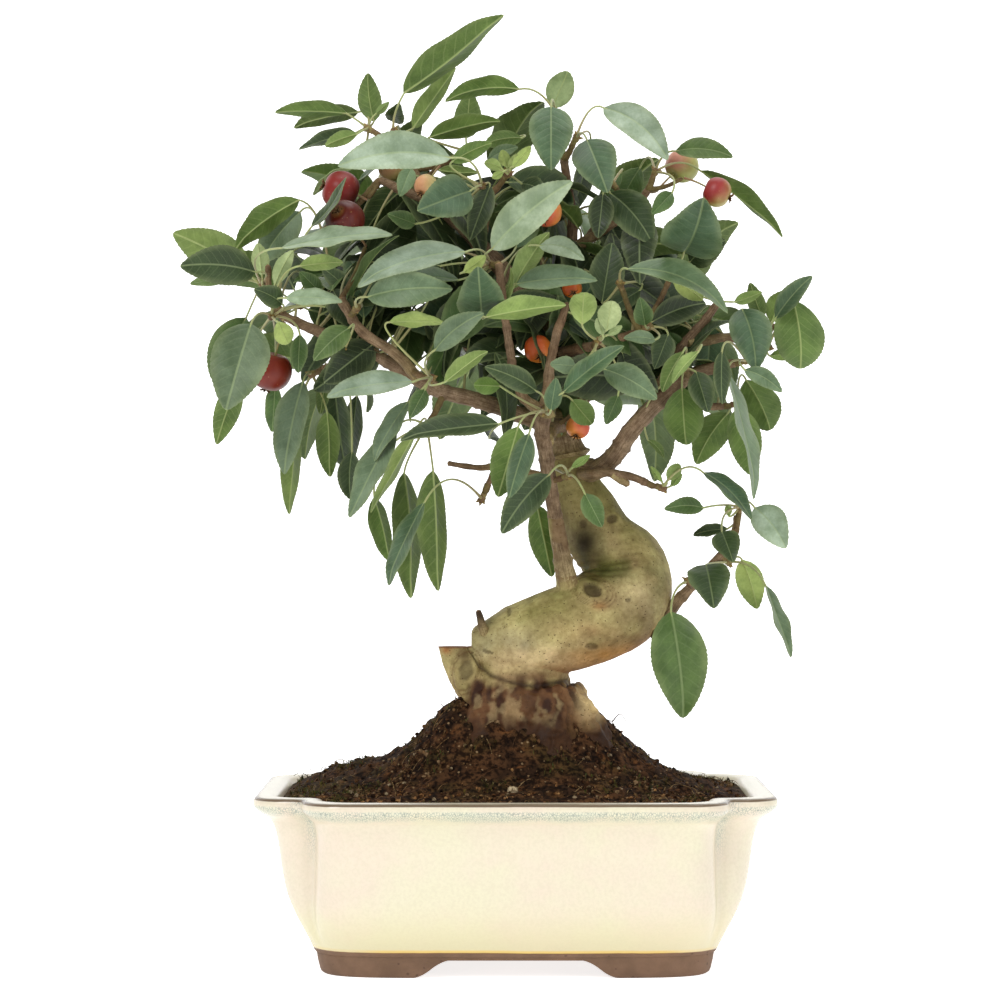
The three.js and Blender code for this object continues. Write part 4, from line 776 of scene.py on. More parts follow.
@dataclass(frozen=True)
class GlazeFinish:
    """Cream glaze over stoneware: crackle under the lip, a brown edge line and bare clay at the feet."""

    # Heights on the pot and reaches along it, in millimetres; a pair is where a change starts and ends
    clay_top: float = 11.6
    gold_middle: float = 12.0
    gold_reach: float = 62.0
    lip_line: float = 82.5
    straw_heights: tuple[float, float] = (40.0, 16.0)
    crackle_from: tuple[float, float] = (75.5, 79.0)
    crackle_to: tuple[float, float] = (80.2, 78.8)
    crackle_cells: float = 980.0
    cream: Rgb = (224, 218, 190)
    rosy: Rgb = (226, 211, 192)
    milk: Rgb = (224, 218, 192)
    grain: Rgb = (206, 196, 170)
    straw: Rgb = (216, 209, 166)
    pale_green: Rgb = (196, 206, 186)
    crackle: Rgb = (104, 122, 120)
    lip_top: Rgb = (214, 208, 186)
    lip_brown: Rgb = (96, 74, 48)
    gold: Rgb = (232, 196, 96)
    burnt: Rgb = (112, 72, 40)
    clays: tuple[Rgb, Rgb] = ((106, 80, 60), (128, 98, 76))
    clay_speck: Rgb = (70, 48, 36)
    pinhole: Rgb = (150, 140, 120)
    name: str = "glazed_stoneware"

    def make(self, groups: Groups) -> Material:
        """Builds the material. The tint's red marks grooves and its green the inside of the pot."""
        c = Canvas(self.name, groups, 0.2, Specular_IOR_Level=0.6)
        n = c.n
        axes = n.add("ShaderNodeSeparateXYZ", {"Vector": c.place}).outputs
        marks = n.add("ShaderNodeSeparateColor", {"Color": c.tint}).outputs
        groove, inside = marks[0], marks[1]
        height = n.times(axes["Z"], TO_MM)
        wide, wide_height = c.mottle(16.0, Low=0.4, High=0.6)
        soft, soft_height = c.mottle(60.0, Detail=6.0, Low=0.3, High=0.7)
        fine, fine_height = c.mottle(700.0, Detail=3.0, Low=0.35, High=0.7)
        wavy = n.plus(height, n.times(wide_height, 3.0))
        glaze = n.mix(wide, rgba(*self.cream), rgba(*self.rosy))
        glaze = n.mix(n.times(soft, 0.5), glaze, rgba(*self.milk))
        glaze = n.mix(n.times(fine, 0.3), glaze, rgba(*self.grain))
        glaze = n.mix(n.times(n.span(wavy, *self.straw_heights), 0.6), glaze, rgba(*self.straw))
        # crackle just below the lip and in the grooves
        crack = n.add("ShaderNodeTexVoronoi", {"Vector": c.stretched(c.place, 1.0, 1.0, 0.55),
                                               "Scale": self.crackle_cells}, feature="DISTANCE_TO_EDGE")
        lines = n.minus(1.0, n.span(crack.outputs["Distance"], 0.0, 0.14))
        ragged = n.plus(height, n.times(soft_height, 4.0))
        below = n.times(n.span(ragged, *self.crackle_from), n.span(height, *self.crackle_to))
        band = n.math("MAXIMUM", n.times(below, 0.8), groove)
        blotch = n.times(band, n.span(soft_height, 0.3, 0.6))
        glaze = n.mix(n.times(blotch, 0.6), glaze, rgba(*self.pale_green))
        glaze = n.mix(n.times(n.times(lines, band), 0.85), glaze, rgba(*self.crackle))
        # the glaze thins to brown along the lip's edge
        level = n.plus(height, n.times(soft_height, 0.5))
        edge = n.math("ABSOLUTE", n.minus(level, self.lip_line + 0.25))
        top = n.span(height, self.lip_line, self.lip_line + 0.5)
        glaze = n.mix(n.times(top, 0.6), glaze, rgba(*self.lip_top))
        rim = n.times(n.span(edge, 0.85, 0.4), n.minus(1.0, inside))
        glaze = n.mix(n.times(rim, 0.95), glaze, rgba(*self.lip_brown))
        # where the glaze ends
        foot = n.plus(height, n.times(n.minus(wide_height, 0.5), 1.8))
        aside = n.math("ABSOLUTE", n.minus(n.times(axes["X"], TO_MM), self.gold_middle))
        gold = n.times(n.span(foot, self.clay_top + 2.6, self.clay_top + 1.2),
                       n.span(aside, self.gold_reach + 20, self.gold_reach, 0.3, 0.85))
        glaze = n.mix(gold, glaze, rgba(*self.gold))
        burnt = n.span(foot, self.clay_top + 0.9, self.clay_top + 0.4)
        glaze = n.mix(burnt, glaze, rgba(*self.burnt))
        specks = c.speckle(260.0, 0.2, 0.25)
        clay = n.mix(soft, *(rgba(*colour) for colour in self.clays))
        clay = n.mix(n.times(specks, 0.7), clay, rgba(*self.clay_speck))
        bare = n.span(foot, self.clay_top + 0.4, self.clay_top)
        pin = c.speckle(90.0, 0.05, 0.3)
        glaze = n.mix(n.times(pin, 0.6), glaze, rgba(*self.pinhole))
        c.link(n.mix(bare, glaze, clay), "Base Color")
        c.link(n.plus(n.times(bare, 0.6), 0.2), "Roughness")
        relief = n.plus(n.times(fine_height, n.plus(n.times(bare, 0.8), 0.25)), n.times(soft_height, 0.9))
        c.bump(relief, 0.22, 0.5)
        return c.material


@dataclass(frozen=True)
class FruitFinish:
    """Crabapple skin: waxy, flushed, with pale dots."""

    name: str = "fruit_skin"
    shaded: Rgb = (200, 150, 130)
    streak: Rgb = (206, 120, 60)
    dot: Rgb = (210, 170, 120)

    def make(self, groups: Groups) -> Material:
        """Builds the material over the fruit's own tint."""
        c = Canvas(self.name, groups, 0.38, Specular_IOR_Level=0.34, Coat_Weight=0.06, Coat_Roughness=0.3)
        n = c.n
        streaks = n.add("ShaderNodeTexNoise", {"Vector": c.stretched(c.place, 1.0, 1.0, 0.3),
                                               "Scale": 420.0, "Detail": 4.0})
        patches, patch_height = c.mottle(130.0, Low=0.35, High=0.7)
        dots = c.speckle(520.0, 0.16, 0.5)
        body = n.mix(n.times(patches, 0.45), c.tint, n.dimmed(c.tint, rgba(*self.shaded)))
        body = n.mix(n.span(streaks.outputs["Fac"], 0.45, 0.7, 0.0, 0.35), body,
                     n.mix(0.1, c.tint, rgba(*self.streak)))
        body = n.mix(n.times(dots, 0.25), body, rgba(*self.dot))
        c.link(body, "Base Color")
        c.bump(patch_height, 0.12, 0.6)
        return c.material


@dataclass(frozen=True)
class ScreenFinish:
    """Dull black plastic."""

    name: str = "screen_plastic"
    greys: tuple[Rgb, Rgb] = ((44, 46, 48), (58, 60, 62))

    def make(self, groups: Groups) -> Material:
        """Builds the material with a faint moulded grain."""
        c = Canvas(self.name, groups, 0.55)
        grain, grain_height = c.mottle(900.0)
        c.link(c.n.mix(grain, *(rgba(*grey) for grey in self.greys)), "Base Color")
        c.bump(grain_height, 0.05, 0.5)
        return c.material


@dataclass(frozen=True)
class StageFinish:
    """Plain pale floor."""

    name: str = "floor_paper"
    paper: tuple[float, ...] = (0.93, 0.93, 0.93, 1)
    glow: float = 0.42
    seen_glow: float = 0.36

    def make(self, groups: Groups) -> Material:
        """Builds the material, lit a little from within so that it stays white, most where it is seen."""
        c = Canvas(self.name, groups, 0.9, Emission_Color=(1, 1, 1, 1))
        c.shader.inputs["Base Color"].default_value = self.paper
        seen = c.n.add("ShaderNodeLightPath").outputs["Is Camera Ray"]
        c.link(c.n.plus(c.n.times(seen, self.seen_glow), self.glow), "Emission Strength")
        return c.material


# ------------------------------------------------------------------ pot

@dataclass
class Pot:
    """Glazed pot, lobed in plan, on four feet."""

    # z, half size of the long lobe, half size of the deep lobe, how far the notch has faded to an oval
    rings: Sequence[tuple[float, ...]] = (
        (10.0, 94.3, 52.0, 82.0, 66.0, 1.0), (12.2, 95.5, 54.0, 84.0, 68.5, 0.95),
        (20.4, 98.5, 60.0, 89.5, 75.5, 0.6), (30.0, 103.0, 62.5, 91.0, 81.0, 0.3),
        (42.0, 107.6, 63.0, 91.0, 84.0, 0.1), (71.0, 111.4, 63.0, 91.0, 86.5, 0.0),
        (76.0, 118.5, 70.0, 95.5, 95.0, 0.0), (78.5, 121.3, 72.5, 97.5, 98.0, 0.0),
        (81.8, 121.3, 72.5, 97.5, 98.0, 0.0), (83.4, 119.8, 71.0, 96.0, 96.5, 0.0),
        (83.4, 112.0, 64.0, 89.5, 88.5, 0.0), (80.5, 110.0, 62.0, 87.5, 86.5, 0.0),
        (68.0, 103.5, 56.5, 84.5, 79.5, 0.0), (32.0, 97.0, 55.0, 82.5, 73.5, 0.3),
        (17.0, 86.0, 48.0, 75.0, 61.0, 1.0),
    )
    outer_rings: int = 9
    inner_lip: int = 11
    groove_reach: float = 4.5
    groove_heights: tuple[float, float] = (48, 74)
    corner_steps: int = 9
    side_steps: int = 10
    corner_share: float = 0.74
    oval_power: float = 6.0
    cuts: int = 3
    foot_height: float = 11.0
    foot_width: float = 15.0
    arches: Sequence[tuple[float, float, float, bool]] = ((31, 47, 8.4, False), (15, 27, 8.4, True))
    drain_x: float = 50.0
    drain_radius: float = 8.0
    cutter_reach: float = 140.0

    def outline(self, ring: Sequence[float], inset: float = 0.0) -> np.ndarray:
        """The pot's plan at one ring.

        Args:
            ring: One row of rings, or one worked out between them.
            inset: How far the plan is drawn in.

        Returns:
            Points round it, anticlockwise, at the ring's height.
        """
        z, ax, ay, bx, by, oval = ring
        ax, ay, bx, by = ax - inset, ay - inset, bx - inset, by - inset
        long_corner, deep_corner = (ax - bx) * self.corner_share, (by - ay) * self.corner_share
        angles = np.linspace(0, np.pi / 2, self.corner_steps)
        fillet = min(ax - bx, by - ay) * (1 - self.corner_share) * 0.98
        side = np.linspace(0, ay - long_corner, self.side_steps // 2, endpoint=False)
        face = np.linspace(bx - deep_corner, 0, self.side_steps)[1:]
        notch = bezier(vec(bx + fillet, ay, 0), vec(bx, ay, 0), vec(bx, ay + fillet, 0), 5)
        quadrant = np.array([
            *[(ax, y) for y in side],
            *[(ax - long_corner * (1 - math.cos(a)), ay - long_corner * (1 - math.sin(a))) for a in angles],
            *notch[:, :2],
            *[(bx - deep_corner * (1 - math.cos(a)), by - deep_corner * (1 - math.sin(a))) for a in angles],
            *[(x, by) for x in face],
        ])
        angle = np.arctan2(quadrant[:, 1], quadrant[:, 0])
        reach = (np.abs(np.cos(angle) / ax) ** self.oval_power
                 + np.abs(np.sin(angle) / by) ** self.oval_power) ** (-1 / self.oval_power)
        oval_points = np.stack([reach * np.cos(angle), reach * np.sin(angle)], axis=1)
        quadrant = quadrant * (1 - oval) + oval_points * oval
        mirrored = quadrant[::-1][1:] * (-1, 1)
        half = np.concatenate([quadrant, mirrored])
        whole = np.concatenate([half, -half[1:-1]])
        return np.column_stack([whole, np.full(len(whole), z)])

    def body(self) -> Solid:
        """The walls, lip and floor as one closed skin."""
        loops = [self.outline(row) for row in corner_cut(np.array(self.rings), self.cuts)]
        ends = np.array([[0, 0, loops[0][0, 2]], [0, 0, loops[-1][0, 2]]])
        return np.concatenate([*loops, ends]), ring_faces(len(loops), len(loops[0]))

    def foot_ring(self) -> Solid:
        """The ring under the pot that the arches cut into four feet."""
        base = self.rings[0]
        levels = [(0.0, 3.4), (0.5, 2.7), (1.6, 2.2), (5.0, 1.4), (self.foot_height, 0.5),
                  (self.foot_height, self.foot_width), (0.0, self.foot_width + 2.4)]
        loops = [self.outline((z, *base[1:]), inset) for z, inset in levels]
        sides = len(loops[0])
        quads = ring_faces(len(loops), sides, closed_ends=False)[0]
        i = np.arange(sides)
        j = (i + 1) % sides
        last = (len(loops) - 1) * sides
        closing = np.stack([last + i, last + j, j, i], axis=1)
        return np.concatenate(loops), [quads, closing]

    def arch(self, top: float, bottom: float, height: float, turned: bool) -> Solid:
        """The prism that an arch cuts away, along Y or, turned, along X."""
        quarter = (bottom - top) / 4
        middle = vec((top + bottom) / 2, 0, height / 2)
        low = bezier(vec(bottom, 0, 0), vec(bottom - quarter, 0, height * 0.1), middle, 7)
        high = bezier(middle, vec(top + quarter, 0, height * 0.9), vec(top, 0, height), 6)[1:]
        right = np.concatenate([[[bottom, 0, -2]], low, high])
        section = np.concatenate([right, right[::-1] * (-1, 1, 1)])
        reach = self.cutter_reach
        ends = [[0, -reach, 3], [0, reach, 3]]
        loops = np.concatenate([section + (0, -reach, 0), section + (0, reach, 0), ends])
        if turned:
            loops = loops[:, [1, 0, 2]] * (-1, 1, 1)
        faces = [block[:, ::-1] for block in ring_faces(2, len(section))]
        return loops, faces

    def drain(self, x: float) -> Solid:
        """The cylinder that a drain hole cuts away."""
        return tube(np.array([[x, 0, 2.0], [x, 0, 12.0], [x, 0, 26.0]]), np.full(3, self.drain_radius), 32)

    def cut(self, solid: Solid,
            cutters: list[Solid]) -> Solid:
        """A solid with others taken away.

        Args:
            solid: Points and faces.
            cutters: Points and faces of each cutter.

        Returns:
            Points and faces of what is left.
        """
        whole = Skin("whole", [])
        whole.add(*solid)
        holder = whole.build()
        spent = []
        for cutter in cutters:
            tool = Skin("cutter", [])
            tool.add(*cutter)
            knife = tool.build()
            modifier = holder.modifiers.new("Cut", "BOOLEAN")
            modifier.operation, modifier.solver, modifier.object = "DIFFERENCE", "EXACT", knife
            spent.append(knife)
        graph = bpy.context.evaluated_depsgraph_get()
        mesh = bpy.data.meshes.new_from_object(holder.evaluated_get(graph))
        for thing in (holder, *spent):
            bpy.data.objects.remove(thing)
        points, faces, _, _ = mesh_arrays(mesh)
        return points, faces

    def marks(self, points: np.ndarray) -> np.ndarray:
        """The tint that the glaze reads: grooves in red, the inside in green."""
        x, y, z = np.abs(points[:, 0]), np.abs(points[:, 1]), points[:, 2]
        levels, _, ay, bx, *_ = zip(*self.rings[:self.outer_rings])
        away = np.hypot(x - np.interp(z, levels, bx), y - np.interp(z, levels, ay))
        groove = np.exp(-(away / self.groove_reach) ** 2) * smoothstep(*self.groove_heights, z)
        levels, *wall = zip(*self.rings[:self.inner_lip - 2:-1])
        ax, ay, bx, by = (np.interp(z, levels, size) for size in wall[:4])
        lobes = np.minimum(np.maximum(x / ax, y / ay), np.maximum(x / bx, y / by))
        inside = 1 - smoothstep(1.01, 1.04, lobes)
        return np.stack([groove, inside, np.zeros(len(points))], axis=1)

    def build(self, glaze: Material) -> None:
        """Makes the pot's piece."""
        skin = Skin("glazed_pot", [glaze])
        drains = [self.drain(side * self.drain_x) for side in (-1, 1)]
        for points, faces in (self.cut(self.body(), drains),
                              self.cut(self.foot_ring(), [self.arch(*a) for a in self.arches])):
            skin.add(points, faces, tint=self.marks(points))
        settle(skin.build(40), "pot_glaze", "pot")


@dataclass
class DrainScreen:
    """Plastic net over a drain hole."""

    x: float
    node: str
    side: float = 26.0
    strips: int = 9
    strip_width: float = 1.1
    thickness: float = 0.45
    low: float = 17.3

    def strip(self, centre: np.ndarray, half: np.ndarray) -> Solid:
        """A box from its middle and half sizes."""
        signs = np.array([(-1, -1), (1, -1), (1, 1), (-1, 1)])
        loops = [np.column_stack([signs * half[:2], np.full(4, z * half[2])]) + centre for z in (-1, 1)]
        ends = np.array([centre - (0, 0, half[2]), centre + (0, 0, half[2])])
        return np.concatenate([*loops, ends]), ring_faces(2, 4)

    def build(self, plastic: Material) -> None:
        """Makes the net's piece."""
        skin = Skin(self.node + "_net", [plastic])
        reach = self.side / 2 - self.strip_width / 2
        for offset in np.linspace(-reach, reach, self.strips):
            lower = vec(self.x + offset, 0, self.low + self.thickness / 2)
            upper = vec(self.x, offset, self.low + self.thickness * 1.4)
            skin.add(*self.strip(lower, vec(self.strip_width / 2, self.side / 2, self.thickness / 2)))
            skin.add(*self.strip(upper, vec(self.side / 2, self.strip_width / 2, self.thickness / 2)))
        settle(skin.build(30), "screen", self.node)


# ------------------------------------------------------------------ soil

PEAT, PEAT_WET, PEAT_RUST = shade(82, 55, 34), shade(48, 31, 19), shade(118, 76, 42)
PEAT_DRY, MOSS, WISP = shade(138, 98, 58), shade(82, 72, 34), shade(92, 66, 44)
STONE, PALE_STONE = shade(150, 132, 104), shade(196, 176, 142)
CRUMBS = ((74, 48, 30), (54, 35, 22), (96, 66, 42), (118, 90, 60), (132, 106, 76))
RIM_CRUMBS = ((150, 108, 68), (170, 128, 82), (122, 84, 50))
FIBRES = ((120, 92, 60), (84, 60, 40), (150, 124, 86))
# Least and most red, green and blue of a moss blade
MOSS_BLADES = ((78, 112), (74, 104), (38, 58))
SUNK = (0, 0, 0.5)

# Loose root ends that stand out beside the foot
WISPS = (
    ((612, 722, -14), (620, 714, -16), (626, 722, -16), (625, 731, -14)),
    ((630, 752, -16), (643, 755, -18), (654, 762, -20), (657, 769, -20)),
    ((622, 744, -16), (640, 758, -22), (652, 768, -24)),
    ((446, 708, -12), (441, 704, -14), (442, 700, -14)),
)


@dataclass
class Soil:
    """Granular peat, mounded round the foot, with crumbs, stones, fibres and moss."""

    pot: Pot
    edge: float = 80.3
    floor: float = 18.8
    wall_gap: float = 0.5
    around: int = 3
    rings: int = 84
    mound: tuple[float, float, float] = (524, 700, -4)
    mound_height: float = 46.0
    mound_reach: float = 52.0
    mound_steep: float = 4.0
    mound_front: float = 0.7
    mound_back: float = 0.92
    swells: Sequence[tuple[float, float, float, float]] = ((-84, 25, 38, 8), (-32, -26, 18, 11))
    crumbs: int = 3400
    fibres: int = 420
    tufts: int = 1500
    seed: int = 11

    def height(self, x: np.ndarray, y: np.ndarray, rim: np.ndarray) -> np.ndarray:
        """Level of the soil, before its crumbly grain.

        Args:
            x: Places along X.
            y: Places along Y.
            rim: Share of the rim's plain level at each place.

        Returns:
            Heights.
        """
        middle = place(*self.mound)
        deep = np.where(y < middle[1], self.mound_front, self.mound_back)
        away = np.hypot(x - middle[0], (y - middle[1]) / deep) / self.mound_reach
        mound = self.mound_height / (1 + away ** self.mound_steep)
        for at_x, at_y, wide, high in self.swells:
            mound = mound + high * np.exp(-((x - at_x) ** 2 + (y - at_y) ** 2) / wide ** 2)
        waves = 1.1 * np.sin(x * 0.21 + 1.3) * np.sin(y * 0.24) + 0.7 * np.sin(x * 0.47 - y * 0.39)
        return self.edge + (mound + waves) * (1 - rim)

    def moss(self, points: np.ndarray) -> np.ndarray:
        """Share of moss at each point: along the rim at the back, the left and the right."""
        back = smoothstep(-10, 45, points[:, 1]) * smoothstep(60, 85, np.abs(points[:, 0]))
        left = smoothstep(-70, -92, points[:, 0]) * 0.9
        spots = smoothstep(0.5, 0.75, rough(points, 9, 5) * 0.5 + 0.5) * 0.45
        return np.clip((back + left) * smoothstep(-0.4, 0.4, rough(points, 14, 3)) + spots, 0, 1)

    def tint(self, points: np.ndarray) -> np.ndarray:
        """Colour of the soil at each point."""
        front = smoothstep(-40, -84, points[:, 1]) * smoothstep(0.1, 0.6, rough(points, 4, 12))
        return layered(np.tile(PEAT, (len(points), 1)), (
            (PEAT_WET, smoothstep(-0.3, 0.4, rough(points, 6, 2))),
            (PEAT_RUST, smoothstep(0.45, 0.85, rough(points, 2.6, 8)) * 0.7),
            (PEAT_DRY, front * 0.6),
            (MOSS, self.moss(points) * 0.55)))

    def surface(self) -> Solid:
        """The soil's body and its crumbly top."""
        inner = list(self.pot.rings[self.pot.inner_lip:])[::-1]
        loops = []
        for i, ring in enumerate(inner):
            z = self.floor if i == 0 else min(ring[0], self.edge - 0.4)
            loops.append(self.pot.outline((z, *ring[1:]), self.wall_gap + (2.5 if i == 0 else 0.2)))
        rim = self.pot.outline((self.edge, *inner[-1][1:]), self.wall_gap + 0.4)
        middle = place(*self.mound)
        for k in range(self.rings + 1):
            share = (1 - k / (self.rings + 1)) ** 0.86
            x = middle[0] + (rim[:, 0] - middle[0]) * share
            y = middle[1] + (rim[:, 1] - middle[1]) * share
            z = self.height(x, y, np.full(len(x), share ** 9))
            loop = np.column_stack([x, y, z])
            grain = 1.0 * rough(loop, 5.5, 1) + 0.8 * rough(loop, 2.4, 2) + 0.35 * np.abs(rough(loop, 1.2, 4))
            loop[:, 2] += grain * min(1.0, (1 - share) * 12 + 0.1)
            loops.append(loop)
        top = loops[-1].mean(axis=0)
        ends = np.array([[0, 0, loops[0][0, 2]], top])
        return np.concatenate([*loops, ends]), ring_faces(len(loops), len(rim))

    def scatter(self, draw: np.random.Generator, count: int, reach: float = 0.985) -> np.ndarray:
        """Places on the soil's top.

        Args:
            draw: The random draw.
            count: How many.
            reach: Share of the way to the rim.

        Returns:
            Rows of points.
        """
        rim = self.pot.outline((self.edge, *self.pot.rings[self.pot.inner_lip][1:]), 1.6)
        middle = place(*self.mound)
        chosen = rim[draw.integers(0, len(rim), count)]
        share = reach * np.sqrt(draw.random(count))
        x = middle[0] + (chosen[:, 0] - middle[0]) * share + draw.normal(0, 1.5, count) * (share < 0.95)
        y = middle[1] + (chosen[:, 1] - middle[1]) * share + draw.normal(0, 1.5, count) * (share < 0.95)
        return np.column_stack([x, y, self.height(x, y, share ** 9)])

    def crumb_shape(self) -> tuple[np.ndarray, np.ndarray]:
        """A twelve-cornered ball, the base of every crumb."""
        g = (1 + 5 ** 0.5) / 2
        points = norm(np.array([(0, s, t * g) for s in (-1, 1) for t in (-1, 1)]
                               + [(s, t * g, 0) for s in (-1, 1) for t in (-1, 1)]
                               + [(t * g, 0, s) for s in (-1, 1) for t in (-1, 1)], dtype=float))
        faces = []
        for a, b, c in product(range(12), repeat=3):
            if a < b and a < c and b != c:
                spread = max(np.linalg.norm(points[i] - points[j]) for i, j in ((a, b), (b, c), (c, a)))
                outward = np.dot(np.cross(points[b] - points[a], points[c] - points[a]), points[a])
                if spread < 1.06 and outward > 0:
                    faces.append((a, b, c))
        return points, np.array(faces)

    def build_crumbs(self, draw: np.random.Generator, earth: Material) -> None:
        """Makes the loose crumbs and stones."""
        skin = Skin("soil_crumbs", [earth])
        ball, faces = self.crumb_shape()
        spots = self.scatter(draw, self.crumbs)
        sizes = 0.42 + 0.85 * draw.random(self.crumbs) ** 3
        stones = draw.random(self.crumbs) < 0.03
        for spot, size, stone in zip(spots, sizes, stones):
            scale = size * (1.35 if stone else 1.0) * (0.7 + 0.6 * draw.random(3))
            points = ball * scale * (0.8 + 0.4 * draw.random((12, 1)))
            near_rim = draw.random() < 0.7 * float(smoothstep(-45, -80, spot[1]))
            kinds = RIM_CRUMBS if near_rim else CRUMBS
            colour = STONE if stone else shade(*kinds[draw.integers(len(kinds))])
            skin.add(points + spot + (0, 0, size * 0.25), [faces], tint=colour)
        pale = place(513, 747, -62)
        pale[2] = self.height(pale[:1], pale[1:2], np.zeros(1))[0] + 1.5
        pebble = ball * (2.9, 2.4, 2.3) * (0.88 + 0.24 * draw.random((12, 1)))
        skin.add(pebble + pale, [faces], tint=PALE_STONE)
        settle(skin.build(20), "soil")

    def build_fibres(self, draw: np.random.Generator, earth: Material) -> None:
        """Makes the fine root and peat fibres."""
        skin = Skin("soil_fibres", [earth])
        for spot in self.scatter(draw, self.fibres, 0.96):
            length = draw.uniform(3, 11)
            turn = draw.uniform(0, 2 * np.pi)
            way = vec(math.cos(turn), math.sin(turn), 0)
            arch = draw.uniform(0.2, 0.55) * length
            end = spot + way * length
            end[2] = self.height(end[:1], end[1:2], np.zeros(1))[0]
            crest = (spot + end) / 2 + (*draw.normal(0, 1.5, 2), arch)
            path = bezier(spot - SUNK, crest, end - SUNK, 7)
            colour = shade(*draw.choice(np.array(FIBRES)))
            skin.add(*tube(path, np.full(7, draw.uniform(0.1, 0.2)), 3), tint=colour)
        for knots in WISPS:
            path = Curve([place(*knot) for knot in knots]).sample(16)
            skin.add(*tube(path, np.linspace(0.3, 0.08, 16), 4), tint=WISP)
        settle(skin.build(), "soil")

    def build_moss(self, draw: np.random.Generator, earth: Material) -> None:
        """Makes moss tufts of small upright blades."""
        skin = Skin("soil_moss", [earth])
        spots = self.scatter(draw, self.tufts * 5)
        spots = spots[draw.random(len(spots)) < self.moss(spots) ** 1.5]
        for spot in spots[:self.tufts]:
            for _ in range(3):
                lean = draw.normal(0, 0.5, 2)
                height = draw.uniform(0.9, 2.6)
                path = spot + np.array([(0, 0, -0.5), (*lean * 0.5, height * 0.6), (*lean * 1.6, height)])
                green = shade(*(int(draw.uniform(*ends)) for ends in MOSS_BLADES))
                skin.add(*tube(path, np.array([0.2, 0.18, 0.05]), 3), tint=green)
        settle(skin.build(), "soil")

    def build(self, earth: Material) -> None:
        """Makes the soil's pieces."""
        skin = Skin("soil_bed", [earth])
        points, faces = self.surface()
        skin.add(points, faces, tint=self.tint(points))
        settle(skin.build(80), "soil", "soil")
        draw = np.random.default_rng(self.seed)
        self.build_crumbs(draw, earth)
        self.build_fibres(draw, earth)
        self.build_moss(draw, earth)


# ------------------------------------------------------------------ wood

TRUNK: Sequence[Knot] = (
    (478, 652, 26, -10), (514, 646, 40, -12), (552, 633, 42, -12), (594, 618, 46, -8),
    (624, 598, 47, -3), (629, 568, 39, 3), (603, 541, 35, 7), (585, 508, 31, 10),
    (574, 482, 24, 10), (569, 455, 17, 10), (563, 430, 12.5, 10), (555, 400, 11, 10),
    (545, 360, 10.5, 8), (530, 320, 10, 6), (510, 280, 9.5, 2), (480, 245, 8, -4),
    (440, 208, 6.5, -6), (402, 190, 5, -8), (380, 180, 3.5, -8),
)
FOOT: Sequence[Knot] = (
    (524, 664, 48, -8), (518, 690, 58, -8), (524, 712, 65, -8), (530, 735, 66, -6),
    (538, 760, 68, -4), (542, 790, 70, -2),
)
ROOTS: dict[str, Sequence[Knot]] = {
    "stub": ((490, 700, 24, -14), (470, 678, 20, -16), (455, 652, 16, -16)),
    "right": ((572, 703, 17, -16), (590, 735, 18, -20), (600, 765, 18, -20), (610, 795, 18, -20)),
    "front_left": ((492, 700, 22, -20), (482, 735, 20, -26), (474, 775, 18, -32)),
    "front_middle": ((540, 695, 24, -20), (552, 735, 22, -28), (560, 785, 20, -34)),
    "back_left": ((500, 690, 22, 14), (486, 740, 22, 26), (470, 790, 20, 36)),
    "back_right": ((548, 702, 22, 14), (578, 740, 23, 24), (602, 790, 22, 34)),
}
SNAG: Sequence[Knot] = ((497, 644, 6, -16), (484, 632, 5.5, -22), (480, 618, 4.5, -24), (478, 611, 3.5, -25))
